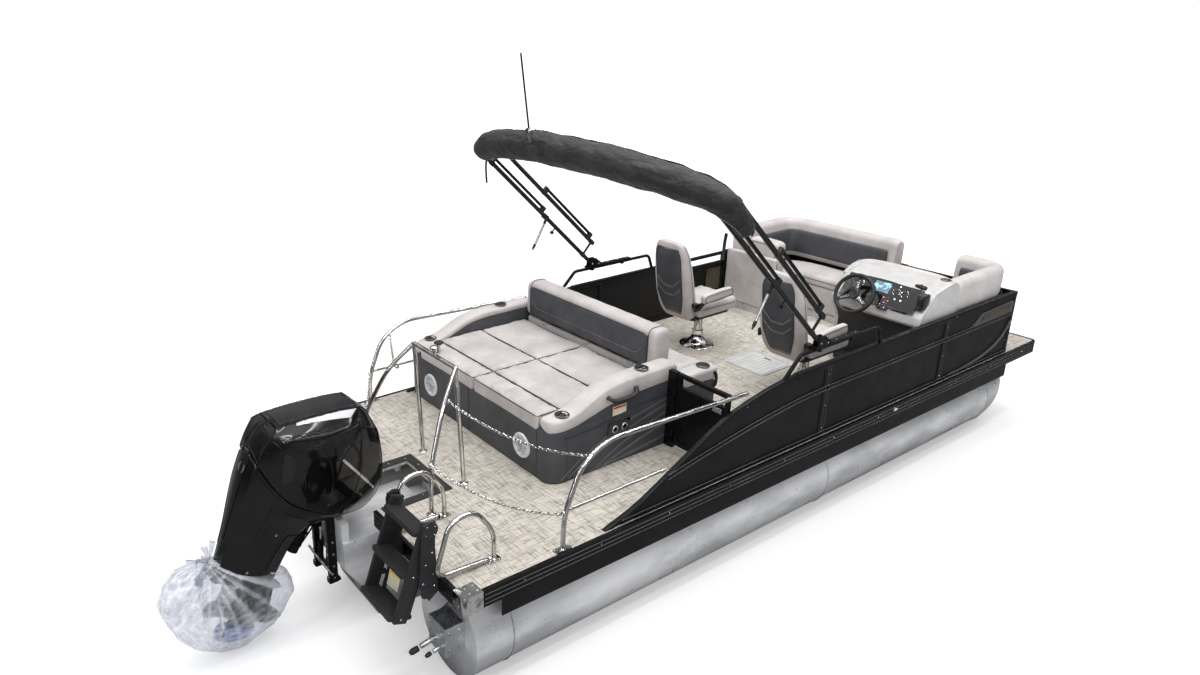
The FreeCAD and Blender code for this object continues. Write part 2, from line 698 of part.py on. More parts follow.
def side_rail(side, end_x):
    y = side * rail_y
    points = [(724, y, deck_top), (724, y, deck_top + 230), (850, y, deck_top + 540),
              (1060, y, deck_top + side_rail_height), (end_x, y, deck_top + side_rail_height - 50)]
    upper = pipe(points, rail_tube, 90)
    lower = rod((748, y, deck_top + 270), (1590, y, deck_top + 268), rail_tube * 0.6)
    foot_edge = side * (deck_half - touch_gap)
    foot = deck_box(660, 790, min(y - side * 28, foot_edge), max(y - side * 28, foot_edge), 0, 8)
    keep_off = box(0, 1000, -half_beam, half_beam, deck_under, deck_top)
    return fuse([upper, lower, foot]).cut(keep_off)


stern_rails = [side_rail(-1, 2360).cut(starboard_fence), side_rail(1, 2360).cut(port_aft_fence)]
write("stern_rails", stern_rails)


def tow_leg(side):
    apex = (600, side * 270, deck_top + tow_rail_height)
    leg = pipe([(268, side * 470, deck_top), (272, side * 467, deck_top + 320),
                (434, side * 370, deck_top + 690), apex], rail_tube, 300)
    post = rod((650, side * 275, deck_top), apex, rail_tube)
    feet = [Part.makeCylinder(32, 8, V(x, side * y, deck_top)) for x, y in ((268, 470), (650, 275))]
    top = Part.makeSphere(rail_tube * 1.15, V(*apex))
    return [leg, post, top] + feet


tow_bar = rod((600, -270, deck_top + tow_rail_height), (600, 270, deck_top + tow_rail_height), rail_tube)
tow_frame = fuse(tow_leg(-1) + tow_leg(1) + [tow_bar]).cut(deck_box(0, 1000, -1000, 1000, -60, 0))
write("tow_frame", tow_frame)

chains = []
for side, rail in zip((-1, 1), stern_rails):
    for inner, outer, sag in ((494, 345, 700), (926, rail_y, 580), 90), ((272, 467, 360), (724, rail_y, 250), 90):
        start = (inner[0], side * inner[1], deck_top + inner[2])
        end = (outer[0], side * outer[1], deck_top + outer[2])
        line = hung_line(start, end, sag, chain_radius, 6).cut(tow_frame).cut(rail)
        chains.append(max(line.Solids, key=lambda solid: solid.Volume))
write("stern_chains", chains)

# Boarding ladder with its hand loops

ladder_half = ladder_width / 2
bracket_inner = ladder_half + 12


def ladder_plate(side):
    y0 = ladder_y + side * (bracket_inner + 6) - 6
    outline = [(-edge_rail_thick - touch_gap, -105), (-edge_rail_thick - touch_gap, 0), (-40, 200), (-30, ladder_pivot_z + 45),
               (-115, ladder_pivot_z + 45), (-125, ladder_pivot_z - 40), (-150, -40), (-90, -150)]
    return prism([(x, y0, deck_top + z) for x, z in outline], (0, 12, 0))


brackets = []
for side in (-1, 1):
    pin = rod((ladder_pivot_x, ladder_y + side * (ladder_half - 12), deck_top + ladder_pivot_z),
              (ladder_pivot_x, ladder_y + side * (bracket_inner + 6), deck_top + ladder_pivot_z), 9)
    brackets.append(fuse([ladder_plate(side), pin]))
write("ladder_bracket", brackets)


def hand_loop(y):
    points = [(328, y, deck_top), (328, y, deck_top + 200), (190, y, deck_top + 390), (20, y, deck_top + 370),
              (-85, y, deck_top + 40), (270, y, deck_top + 18)]
    loop = pipe(points, loop_tube, 45)
    foot = deck_box(270, 370, y - 30, y + 30, 0, 8)
    return fuse([loop, foot])


loop_offset = bracket_inner + 75
write("ladder_loops", [hand_loop(ladder_y - loop_offset), hand_loop(ladder_y + loop_offset)])

# The ladder hangs straight down from its pivot here and is leaned by ladder_hang.

stringer_thick = 22.0


def ladder_hang(shape):
    shape.rotate(V(0, 0, 0), V(0, 1, 0), ladder_lean)
    shape.translate(V(ladder_pivot_x, 0, deck_top + ladder_pivot_z))
    return shape


stringers = []
pin_bores = []
for side in (-1, 1):
    y0 = ladder_y + side * (ladder_half - stringer_thick / 2) - stringer_thick / 2
    stringers.append(box(-45, 45, y0, y0 + stringer_thick, -ladder_length, 30))
    pin_bores.append(rod((0, y0 - 5, 0), (0, y0 + stringer_thick + 5, 0), 9.05))
treads = [box(-75, 55, ladder_y - ladder_half + 10, ladder_y + ladder_half - 10, -drop - 28, -drop)
          for drop in (30, 290, 560)]
slide_half = ladder_half - stringer_thick - 8
guides = []
for side in (-1, 1):
    y0 = ladder_y + side * (slide_half - 5)
    guides += [box(0, 60.7, min(y0, y0 + side * 20), max(y0, y0 + side * 20), z - 30, z) for z in (-160, -450)]
write("ladder", ladder_hang(fuse(stringers + treads + guides).cut(Part.makeCompound(pin_bores))))

# The lower section slides down ahead of the upper one, against its guides.

slide_pieces = []
for side in (-1, 1):
    y0 = ladder_y + side * (slide_half - stringer_thick / 2) - stringer_thick / 2
    slide_pieces.append(box(61, 81, y0, y0 + stringer_thick, -ladder_length, -60))
for drop in (100, 360, 572):
    slide_pieces.append(box(61, 95, ladder_y - slide_half, ladder_y + slide_half, -drop - 24, -drop))
write("ladder_extension", ladder_hang(fuse(slide_pieces)))

# Canopy: arched rails, brackets, folded bows in their boot, braces and the light pole

arch_y = fence_face - fence_rail / 2
bow_half_width = arch_y - bow_inset
arch_tube = 15.0


def arch(side):
    y = side * arch_y
    points = [(arch_aft_x - 20, y, deck_top + fence_height - 45), (arch_aft_x + 170, y, deck_top + arch_height),
              (arch_front_x - 60, y, deck_top + arch_height), (arch_front_x, y, deck_top + fence_height - 15)]
    return pipe(points, arch_tube, 60)


def canopy_bracket(side):
    y = side * arch_y
    base = deck_box(bow_pivot_x - 60, bow_pivot_x + 500, y - 24, y + 24, arch_height + arch_tube - 4,
                    arch_height + 28)
    ears = []
    for offset in (-24, 16):
        y0 = side * arch_y + offset
        ears.append(prism([(bow_pivot_x - 40, y0, deck_top + arch_height + 25),
                           (bow_pivot_x - 30, y0, deck_top + arch_height + 100),
                           (bow_pivot_x + 40, y0, deck_top + arch_height + 100),
                           (bow_pivot_x + 140, y0, deck_top + arch_height + 25)], (0, 8, 0)))
    pin = rod((bow_pivot_x, y - 23, bow_pivot_z + deck_top), (bow_pivot_x, y + 23, bow_pivot_z + deck_top), 6)
    return fuse([base, pin] + ears)


arch_pieces = []
for side, fence in ((-1, starboard_fence), (1, port_aft_fence)):
    arch_pieces.append(fuse([arch(side).cut(fence), canopy_bracket(side)]))
write("canopy_arches", arch_pieces)

lean_dir = V(math.cos(math.radians(bow_angle)), 0, math.sin(math.radians(bow_angle)))
lean_side = V(lean_dir.z, 0, -lean_dir.x)


def on_bow(along, across, y):
    point = V(bow_pivot_x, y, deck_top + bow_pivot_z) + lean_dir * along + lean_side * across
    return (point.x, point.y, point.z)


bow_points = [on_bow(0, 0, -arch_y), on_bow(bow_length - 180, 0, -bow_half_width),
              on_bow(bow_length, 0, -350), on_bow(bow_length, 0, 350),
              on_bow(bow_length - 180, 0, bow_half_width), on_bow(0, 0, arch_y)]
bow_pieces = [pipe(bow_points, bow_tube, 110)]
pin_bores = []
for side in (-1, 1):
    y = side * arch_y
    pivot = V(bow_pivot_x, y, deck_top + bow_pivot_z)
    across = V(0, 12.5, 0)
    bow_pieces.append(rod(pivot - across, pivot + across, 18))
    pin_bores.append(rod(pivot - across * 2, pivot + across * 2, 6.05))
    bow_pieces.append(rod(on_bow(130, bow_spacing, y), on_bow(bow_length - 290, bow_spacing, y), bow_tube))
    for along in (150, bow_length - 310):
        bow_pieces.append(rod(on_bow(along, 0, y), on_bow(along, bow_spacing, y), bow_tube * 0.8))
    bow_pieces.append(rod(on_bow(brace_along, 0, y), on_bow(brace_along, 0, y - side * 44), brace_pin))
bows = fuse(bow_pieces).cut(Part.makeCompound(pin_bores))

boot_across = bow_spacing / 2
boot_path = [on_bow(bow_length - 460, boot_across, -bow_half_width - 10),
             on_bow(bow_length - 190, boot_across, -bow_half_width - 10),
             on_bow(bow_length, boot_across, -350), on_bow(bow_length, boot_across, 350),
             on_bow(bow_length - 200, boot_across, bow_half_width + 60)]
boot = pipe(boot_path, boot_radius, 260)
write("canopy_bows", bows.cut(pipe(boot_path, boot_radius + touch_gap, 260)))
write("canopy_boot", boot)

pole_y = 400.0
pole_foot = V(*on_bow(bow_length - 10 + boot_radius, boot_across, pole_y))
pole = rod(pole_foot, pole_foot + V(-90, 0, pole_length), 7)
pole_base = Part.makeCylinder(22, 80, pole_foot - V(0, 0, 70), V(0, 0, 1))
write("light_pole", fuse([pole, pole_base]).cut(boot).Solids[0])

for name, side in (("port", 1), ("starboard", -1)):
    y = side * (arch_y - bow_tube - 20)
    top = V(*on_bow(brace_along, 0, y))
    brace = rod(top, top + V(-0.5, 0, -0.866) * brace_length, 8)
    head = rod((top.x, y - 8, top.z), (top.x, y + 8, top.z), 16)
    bore = rod((top.x, y - 20, top.z), (top.x, y + 20, top.z), brace_pin + 0.05)
    write(f"brace_{name}", fuse([brace, head]).cut(bore))

# Outboard


def engine_place(shape, steered=True):
    moved = shape.copy()
    if steered:
        moved.rotate(V(steer_offset, 0, 0), V(0, 0, 1), engine_steer)
    moved.rotate(V(0, 0, 0), V(0, 1, 0), engine_tilt)
    moved.translate(V(tilt_axis_x, 0, tilt_axis_z))
    return moved


def faceted(side_outline, plan_half, front_half):
    """Solid where three outlines cross: side (x, z), plan (x, half width) and front (half width, z)."""
    reach = 400.0
    side = prism([(x, -reach, z) for x, z in side_outline], (0, 2 * reach, 0))
    plan_points = [(x, y) for x, y in plan_half] + [(x, -y) for x, y in reversed(plan_half)]
    plan = prism([(x, y, -reach * 2) for x, y in plan_points], (0, 0, 4 * reach))
    front_points = [(y, z) for y, z in front_half] + [(-y, z) for y, z in reversed(front_half)]
    front = prism([(-reach * 3, y, z) for y, z in front_points], (reach * 5, 0, 0))
    return side.common(plan).common(front)


cowl = faceted([(110, 62), (262, 195), (295, 320), (100, 530), (-100, 690), (-200, 720), (-665, 440), (-718, 260),
                (-700, 62)],
               [(300, 105), (105, 215), (-150, 262), (-450, 245), (-722, 105)],
               [(175, 0), (262, 160), (266, 340), (195, 600), (125, 730)])
cowl_hollow = faceted([(100, 80), (245, 205), (275, 318), (92, 513), (-104, 673), (-196, 701), (-650, 430),
                       (-700, 260), (-684, 80)],
                      [(285, 90), (100, 200), (-150, 247), (-445, 230), (-708, 90)],
                      [(165, 0), (247, 165), (250, 335), (180, 590), (100, 715)])
write("engine_cowl", engine_place(cowl.cut(cowl_hollow)))
powerhead = box(-560, 60, -130, 130, 81, 480)
write("engine_powerhead", engine_place(powerhead))

leg = faceted([(-142, 61.7), (-142, -300), (-120, plate_z + 14), (-560, plate_z + 14), (-690, 61.7)],
              [(-119, 88), (-142, 112), (-330, 205), (-450, 190), (-710, 80)],
              [(40, plate_z), (60, -350), (205, 20), (205, 70)])
yokes = []
for z0, z1 in ((21, 55), (-400, -366)):
    yokes.append(Part.makeCylinder(swivel_radius, z1 - z0, V(steer_offset, 0, z0)))
    yokes.append(box(-180, steer_offset, -32, 32, z0, z1))
kingpin = Part.makeCylinder(kingpin_radius, 440, V(steer_offset, 0, -395))
engine_leg = fuse([leg, kingpin] + yokes)
write("engine_leg", engine_place(engine_leg))

strut = faceted([(-120, plate_z + 2), (-40, prop_axis_z), (-330, prop_axis_z), (-330, plate_z + 2)],
                [(-30, 10), (-120, 38), (-230, 40), (-335, 20)],
                [(40, prop_axis_z - 10), (40, plate_z + 5)])
vent_plate = prism([(-60, -40, plate_z), (-60, 40, plate_z), (-280, 100, plate_z), (-585, 75, plate_z),
                    (-585, -75, plate_z), (-280, -100, plate_z)], (0, 0, 13.7))
torpedo = Part.makeCylinder(torpedo_radius, 290, V(-330, 0, prop_axis_z), V(1, 0, 0))
nose = Part.makeCone(torpedo_radius, 14, 100, V(-40, 0, prop_axis_z), V(1, 0, 0))
skeg = prism([(-90, -7, prop_axis_z - 40), (-130, -7, prop_axis_z - 120), (-220, -7, prop_axis_z - 185),
              (-290, -7, prop_axis_z - 185), (-300, -7, prop_axis_z - 40)], (0, 14, 0))
prop_shaft = Part.makeCylinder(prop_shaft_radius, 130, V(-455, 0, prop_axis_z), V(1, 0, 0))
gearcase = fuse([strut, vent_plate, torpedo, nose, skeg, prop_shaft])
write("engine_gearcase", engine_place(gearcase))
guard = prism([(-105, -15, prop_axis_z - 105), (-222, -15, prop_axis_z - 198), (-300, -15, prop_axis_z - 198),
               (-308, -15, prop_axis_z - 105)], (0, 30, 0))
guard_slot = prism([(-60, -7.3, prop_axis_z - 40), (-129.8, -7.3, prop_axis_z - 120.2),
                    (-219.8, -7.3, prop_axis_z - 185.3), (-290.3, -7.3, prop_axis_z - 185.3),
                    (-300.3, -7.3, prop_axis_z - 40)], (0, 14.6, 0))
write("skeg_guard", engine_place(guard.cut(guard_slot)))

prop_hub = Part.makeCylinder(prop_hub_radius, 115, V(-450, 0, prop_axis_z), V(1, 0, 0))
blades = []
for index in range(blade_count):
    blade = Part.makeBox(9, 110, prop_radius - 30, V(-400, -55, prop_axis_z + 28))
    blade = blade.makeFillet(50, [e for e in blade.Edges if abs(e.Length - 9) < 0.1
                                  and e.CenterOfMass.z > prop_axis_z + 100])
    blade.rotate(V(-395, 0, prop_axis_z), V(0, 0, 1), 28)
    blade.rotate(V(-395, 0, prop_axis_z), V(1, 0, 0), index * 360 / blade_count)
    blades.append(blade)
shaft_bore = Part.makeCylinder(prop_shaft_radius + 0.05, 200, V(-480, 0, prop_axis_z), V(1, 0, 0))
write("propeller", engine_place(fuse([prop_hub] + blades).cut(shaft_bore)))

# Loose bag tied round the leg above the plate

bag_sections = ((-484, -70, -615, 74), (-560, 0, -700, 130), (-660, 62, -800, 200), (-800, 82, -835, 212),
                (-950, -55, -770, 205), (-1040, -205, -640, 150), (-1072, -300, -540, 80))


def bag_ring(z, front, rear, half):
    middle = (front + rear) / 2
    reach = (front - rear) / 2
    points = []
    for index in range(12):
        angle = 2 * math.pi * (index + 0.5) / 12
        swell = (abs(math.cos(angle)) ** 2.6 + abs(math.sin(angle)) ** 2.6) ** (-1 / 2.6)
        points.append(V(middle + reach * swell * math.cos(angle), half * swell * math.sin(angle), z))
    return Part.makePolygon(points + [points[0]])


def bag_loft(inset):
    rings = []
    for z, front, rear, half in bag_sections:
        level = z
        if inset and z == bag_sections[0][0]:
            level = z + 1
        if inset and z == bag_sections[-1][0]:
            level = z + inset
        rings.append(bag_ring(level, front - inset, rear + inset, half - inset))
    return Part.makeLoft(rings, True, True)


bag = bag_loft(0).cut(bag_loft(5)).cut(engine_leg).cut(gearcase)
write("propeller_bag", engine_place(max(bag.Solids, key=lambda solid: solid.Volume)))

swivel_tube = Part.makeCylinder(swivel_radius, 370, V(steer_offset, 0, -355))
swivel_arms = box(steer_offset, 0, -60, 60, -30, 15)
tilt_eye = Part.makeCylinder(34, 180, V(0, -90, 0), V(0, 1, 0))
swivel = fuse([swivel_tube, swivel_arms, tilt_eye])
swivel = swivel.cut(Part.makeCylinder(14.05, 400, V(0, -200, 0), V(0, 1, 0)))
swivel = swivel.cut(Part.makeCylinder(kingpin_radius + 0.05, 500, V(steer_offset, 0, -420)))
write("engine_swivel", engine_place(swivel, steered=False))


def clamp_plate(side):
    y0 = side * 112 - 16
    pieces = [box(transom_x - 60, transom_x - touch_gap, y0, y0 + 32, 285, tilt_axis_z - 10),
              Part.makeCylinder(36, 32, V(tilt_axis_x, y0, tilt_axis_z), V(0, 1, 0)),
              box(tilt_axis_x - 30, transom_x + transom_thick + 20, y0, y0 + 32,
                  transom_top + touch_gap, transom_top + 25)]
    return fuse(pieces)


tilt_pin = Part.makeCylinder(14, 260, V(tilt_axis_x, -130, tilt_axis_z), V(0, 1, 0))
clamps = fuse([clamp_plate(-1), clamp_plate(1), tilt_pin])
keep_off = box(transom_x - touch_gap, transom_x + transom_thick + 60, -200, 200, 300, transom_top + touch_gap)
write("engine_clamp", clamps.cut(keep_off))
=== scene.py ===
import math
import random

import bpy
from mathutils import Matrix, Vector, noise
from mathutils.bvhtree import BVHTree


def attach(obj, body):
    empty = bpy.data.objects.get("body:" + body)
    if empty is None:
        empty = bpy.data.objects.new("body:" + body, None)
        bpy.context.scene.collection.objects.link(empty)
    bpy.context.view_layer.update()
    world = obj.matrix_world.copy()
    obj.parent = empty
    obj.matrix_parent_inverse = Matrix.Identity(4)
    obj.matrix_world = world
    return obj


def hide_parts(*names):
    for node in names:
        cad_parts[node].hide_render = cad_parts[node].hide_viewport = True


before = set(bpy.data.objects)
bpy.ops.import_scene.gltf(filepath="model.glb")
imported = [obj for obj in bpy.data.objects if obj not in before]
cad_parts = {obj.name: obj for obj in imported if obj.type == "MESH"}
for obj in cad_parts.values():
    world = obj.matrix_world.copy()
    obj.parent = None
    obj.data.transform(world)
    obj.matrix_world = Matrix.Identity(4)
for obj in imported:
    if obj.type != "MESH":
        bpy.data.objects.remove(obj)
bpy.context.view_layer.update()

# Metres. +X to the bow, +Y to port, +Z up. DECK is the top of the floor.
DECK = 0.785
random.seed(11)


# Materials


class Paint:
    """A procedural material: nodes are added one after another to a principled shader."""

    def __init__(self, name, color, rough=0.5, metal=0.0, coat=0.0, specular=0.5):
        self.material = bpy.data.materials.new(name)
        self.material.use_nodes = True
        self.tree = self.material.node_tree
        self.shader = self.tree.nodes["Principled BSDF"]
        self.set("Base Color", (*color, 1))
        self.set("Roughness", rough)
        self.set("Metallic", metal)
        self.set("Coat Weight", coat)
        self.set("Coat Roughness", 0.06)
        self.set("Specular IOR Level", specular)
        self.height = None

    def set(self, socket, value):
        self.shader.inputs[socket].default_value = value

    def node(self, kind, **values):
        made = self.tree.nodes.new("ShaderNode" + kind)
        for key, value in values.items():
            if hasattr(made, key):
                setattr(made, key, value)
            else:
                made.inputs[key.replace("_", " ")].default_value = value
        return made

    def link(self, a, b):
        self.tree.links.new(a, b)

    def place(self, stretch=(1, 1, 1), turn=0.0):
        coord = self.node("TexCoord")
        mapping = self.node("Mapping")
        mapping.inputs["Scale"].default_value = stretch
        mapping.inputs["Rotation"].default_value = (0, 0, turn)
        self.link(coord.outputs["Object"], mapping.inputs["Vector"])
        return mapping.outputs["Vector"]

    def noise(self, scale, detail=3.0, stretch=(1, 1, 1), rough=0.55):
        made = self.node("TexNoise", Scale=scale, Detail=detail, Roughness=rough)
        self.link(self.place(stretch), made.inputs["Vector"])
        return made.outputs["Fac"]

    def cells(self, scale, stretch=(1, 1, 1)):
        made = self.node("TexVoronoi", Scale=scale)
        self.link(self.place(stretch), made.inputs["Vector"])
        return made.outputs["Distance"]

    def waves(self, scale, direction, turn=0.0, distortion=0.0):
        made = self.node("TexWave", Scale=scale, Distortion=distortion, bands_direction=direction)
        self.link(self.place((1, 1, 1), turn), made.inputs["Vector"])
        return made.outputs["Fac"]

    def math(self, kind, a, b):
        made = self.node("Math", operation=kind)
        for index, value in enumerate((a, b)):
            if isinstance(value, (int, float)):
                made.inputs[index].default_value = value
            else:
                self.link(value, made.inputs[index])
        return made.outputs[0]

    def spread(self, value, low, high, to_low, to_high):
        made = self.node("MapRange")
        for index, number in enumerate((low, high, to_low, to_high), start=1):
            made.inputs[index].default_value = number
        self.link(value, made.inputs[0])
        return made.outputs[0]

    def tint(self, factor, color_a, color_b, over=None):
        made = self.node("Mix", data_type="RGBA")
        made.inputs["B"].default_value = (*color_b, 1)
        for socket in made.inputs:
            if socket.name == "A" and socket.type == "RGBA":
                if over is None:
                    socket.default_value = (*color_a, 1)
                else:
                    self.link(over, socket)
            if socket.name == "B" and socket.type == "RGBA":
                socket.default_value = (*color_b, 1)
        self.link(factor, made.inputs[0])
        out = [s for s in made.outputs if s.type == "RGBA"][0]
        self.link(out, self.shader.inputs["Base Color"])
        return out

    def rough(self, value):
        self.link(value, self.shader.inputs["Roughness"])

    def bump(self, value, strength=0.3, distance=0.001):
        made = self.node("Bump", Strength=strength, Distance=distance)
        self.link(value, made.inputs["Height"])
        if self.height is not None:
            self.link(self.height, made.inputs["Normal"])
        self.height = made.outputs["Normal"]
        self.link(self.height, self.shader.inputs["Normal"])


def vinyl(name, color, worn):
    paint = Paint(name, color, rough=0.46, specular=0.35)
    soft = paint.spread(paint.noise(5, 4), 0.35, 0.7, 0, 1)
    first = paint.tint(soft, color, worn)
    fine = paint.spread(paint.noise(60, 2), 0.4, 0.75, 0, 0.35)
    paint.tint(fine, color, tuple(c * 0.86 for c in color), over=first)
    paint.rough(paint.spread(paint.noise(14, 3), 0.3, 0.7, 0.40, 0.56))
    paint.bump(paint.noise(9, 3), 0.35, 0.006)
    paint.bump(paint.cells(520), 0.12, 0.0006)
    return paint.material


def painted(name, color, rough, metal=0.0):
    paint = Paint(name, color, rough=rough, metal=metal, specular=0.15)
    worn = paint.spread(paint.noise(3, 4), 0.35, 0.7, 0, 1)
    first = paint.tint(worn, color, tuple(c * 1.35 + 0.001 for c in color))
    specks = paint.spread(paint.noise(240, 2), 0.68, 0.76, 0, 0.3)
    paint.tint(specks, color, tuple(c * 2.0 + 0.01 for c in color), over=first)
    paint.rough(paint.spread(paint.noise(7, 3), 0.3, 0.7, rough - 0.06, rough + 0.08))
    paint.bump(paint.noise(900, 1), 0.06, 0.0004)
    return paint.material


def bright_metal(name, color, rough, cloud, grain, stretch):
    paint = Paint(name, color, rough=rough, metal=1.0)
    clouds = paint.spread(paint.noise(cloud, 4, stretch), 0.32, 0.68, 0, 1)
    paint.tint(clouds, tuple(c * 0.8 for c in color), color)
    paint.rough(paint.spread(paint.noise(cloud * 2.3, 3, stretch), 0.3, 0.7, rough * 0.7, rough * 1.35))
    paint.bump(paint.noise(grain, 3, (0.04, 1, 1)), 0.08, 0.0006)
    return paint.material


def plastic(name, color, rough, coat=0.0, grain=700, depth=0.0004):
    paint = Paint(name, color, rough=rough, coat=coat)
    fade = paint.spread(paint.noise(11, 3), 0.35, 0.7, 0, 1)
    paint.tint(fade, color, tuple(c * 1.2 + 0.004 for c in color))
    paint.rough(paint.spread(paint.noise(23, 3), 0.3, 0.7, max(0.02, rough - 0.03), rough + 0.05))
    paint.bump(paint.noise(grain, 2), 0.1, depth)
    return paint.material


def woven_floor():
    pale, mid, dark = (0.60, 0.56, 0.50), (0.27, 0.245, 0.21), (0.12, 0.105, 0.09)
    paint = Paint("woven_floor", pale, rough=0.74, specular=0.25)
    long_strands = paint.noise(1.0, 2, (9, 150, 1), 0.7)
    cross_strands = paint.noise(1.0, 2, (150, 8, 1), 0.7)
    bands = paint.math("MAXIMUM", paint.noise(1.0, 2, (30, 2.5, 1), 0.6),
                       paint.noise(1.3, 2, (2.5, 30, 1), 0.6))
    first = paint.tint(paint.spread(long_strands, 0.52, 0.62, 0, 0.95), pale, mid)
    second = paint.tint(paint.spread(cross_strands, 0.53, 0.64, 0, 0.80), pale, dark, over=first)
    third = paint.tint(paint.spread(bands, 0.55, 0.74, 0, 0.42), pale, mid, over=second)
    paint.tint(paint.spread(paint.noise(2.2, 3), 0.4, 0.75, 0, 0.22), pale, mid, over=third)
    weave = paint.math("MAXIMUM", paint.waves(42, "X"), paint.waves(42, "Y"))
    paint.bump(weave, 0.45, 0.0016)
    paint.bump(paint.math("ADD", long_strands, cross_strands), 0.35, 0.001)
    return paint.material


def canvas():
    paint = Paint("black_canvas", (0.010, 0.010, 0.011), rough=0.60, specular=0.42)
    faded = paint.spread(paint.noise(6, 4), 0.4, 0.72, 0, 1)
    paint.tint(faded, (0.009, 0.009, 0.010), (0.022, 0.022, 0.024))
    paint.set("Sheen Weight", 0.05)
    weave = paint.math("MAXIMUM", paint.waves(150, "X"), paint.waves(150, "Y"))
    paint.bump(paint.noise(9, 4, (1, 0.45, 1)), 1.0, 0.035)
    paint.bump(paint.noise(24, 3, (1, 0.6, 1)), 0.7, 0.010)
    paint.bump(weave, 0.25, 0.0006)
    return paint.material


def cloudy_film():
    """Thin clear sheet: its creases, its crumpled parts and faces seen at a slant turn milky."""
    paint = Paint("clear_bag", (0.84, 0.86, 0.92), rough=0.18, specular=0.6)
    creases = paint.cells(13, (1, 1, 1.5))
    paint.bump(creases, 0.5, 0.02)
    paint.bump(paint.noise(46, 4), 0.4, 0.005)
    facing = paint.node("LayerWeight", Blend=0.35)
    paint.link(paint.height, facing.inputs["Normal"])
    fold = paint.node("Attribute", attribute_name="fold")
    lines = paint.math("ADD", paint.spread(creases, 0.0, 0.10, 0.22, 0.0), fold.outputs["Fac"])
    milky = paint.math("ADD", paint.spread(facing.outputs["Facing"], 0.1, 0.9, 0.04, 0.70), lines)
    clear = paint.node("BsdfTransparent", Color=(0.74, 0.75, 0.79, 1))
    blend = paint.node("MixShader")
    paint.link(milky, blend.inputs[0])
    paint.link(clear.outputs[0], blend.inputs[1])
    paint.link(paint.shader.outputs[0], blend.inputs[2])
    out = [n for n in paint.tree.nodes if n.type == "OUTPUT_MATERIAL"][0]
    paint.link(blend.outputs[0], out.inputs["Surface"])
    return paint.material


def tinted_window(name, color, clear_share):
    paint = Paint(name, color, rough=0.08, specular=0.6)
    streaks = paint.spread(paint.noise(3, 3, (1, 1, 4)), 0.35, 0.7, 0, 1)
    paint.tint(streaks, color, tuple(c * 1.4 for c in color))
    paint.rough(paint.spread(paint.noise(30, 2), 0.3, 0.7, 0.05, 0.14))
    clear = paint.node("BsdfTransparent", Color=(*[min(1, c * 4 + 0.2) for c in color], 1))
    blend = paint.node("MixShader", Fac=1 - clear_share)
    paint.link(clear.outputs[0], blend.inputs[1])
    paint.link(paint.shader.outputs[0], blend.inputs[2])
    out = [n for n in paint.tree.nodes if n.type == "OUTPUT_MATERIAL"][0]
    paint.link(blend.outputs[0], out.inputs["Surface"])
    return paint.material


def screen():
    paint = Paint("screen", (0.01, 0.02, 0.03), rough=0.12, coat=0.6)
    blobs = paint.spread(paint.noise(22, 2), 0.50, 0.56, 0, 1)
    shade = paint.tint(blobs, (0.01, 0.05, 0.10), (0.16, 0.42, 0.55))
    lines = paint.spread(paint.waves(24, "Y"), 0.86, 0.94, 0, 0.6)
    lit = paint.tint(lines, (0, 0, 0), (0.75, 0.85, 0.8), over=shade)
    paint.link(lit, paint.shader.inputs["Emission Color"])
    paint.set("Emission Strength", 0.9)
    return paint.material


def polished():
    """Polished tube: painted reflections, dark and bright streaks in its colour that run along it and change
    with the viewing angle.
    """
    paint = Paint("chrome", (0.80, 0.79, 0.78), rough=0.05, metal=1.0)
    # Painted reflection: a colour ramp driven by the viewing angle paints dark and bright reflected bands
    # into the chrome.
    facing = paint.node("LayerWeight", Blend=0.5)
    drift = paint.math("MULTIPLY", paint.spread(paint.noise(7, 3), 0.3, 0.7, -0.16, 0.16), 1.0)
    painted_reflection = paint.math("ADD", facing.outputs["Facing"], drift)
    painted_light_ramp = paint.node("ValToRGB")
    marks = ((0.0, 0.90), (0.16, 0.72), (0.25, 0.10), (0.33, 0.88), (0.50, 0.42), (0.64, 0.06), (0.76, 0.62),
             (1.0, 0.16))
    for index, (where, value) in enumerate(marks):
        mark = painted_light_ramp.color_ramp.elements[index] if index < 2 else painted_light_ramp.color_ramp.elements.new(where)
        mark.position = where
        mark.color = (value, value * 0.985, value * 0.965, 1)
    paint.link(painted_reflection, painted_light_ramp.inputs[0])
    paint.link(painted_light_ramp.outputs[0], paint.shader.inputs["Base Color"])
    paint.bump(paint.noise(90, 2), 0.04, 0.0004)
    return paint.material


def pontoon_metal(name):
    """Mill aluminium: clouded along its length, with painted shade darker below and painted highlight bands
    higher up.
    """
    paint = Paint(name, (0.7, 0.71, 0.73), rough=0.34, metal=0.55)
    coord = paint.node("TexCoord")
    split = paint.node("SeparateXYZ")
    paint.link(coord.outputs["Object"], split.inputs[0])
    # Painted shade and highlight: the ramp by height darkens the underside of the tubes and lightens bands
    # near their top.
    wave = paint.spread(paint.noise(1.1, 3, (0.8, 1.6, 2.2)), 0.3, 0.7, -0.07, 0.07)
    height = paint.math("ADD", split.outputs[2], wave)
    painted_light_ramp = paint.node("ValToRGB")
    marks = ((0.0, 0.22), (0.10, 0.34), (0.22, 0.60), (0.36, 0.92), (0.50, 0.66), (0.62, 0.96), (1.0, 0.74))
    for index, (where, value) in enumerate(marks):
        mark = painted_light_ramp.color_ramp.elements[index] if index < 2 else painted_light_ramp.color_ramp.elements.new(where)
        mark.position = where
        mark.color = (value, value * 1.005, value * 1.02, 1)
    paint.link(height, painted_light_ramp.inputs[0])
    clouds = paint.spread(paint.noise(2.4, 4, (0.5, 1, 1.4)), 0.42, 0.62, 0, 0.62)
    paint.tint(clouds, (0, 0, 0), (0.33, 0.34, 0.36), over=painted_light_ramp.outputs[0])
    paint.rough(paint.spread(paint.noise(5, 3), 0.3, 0.7, 0.24, 0.46))
    paint.bump(paint.noise(1.6, 2), 0.18, 0.008)
    return paint.material


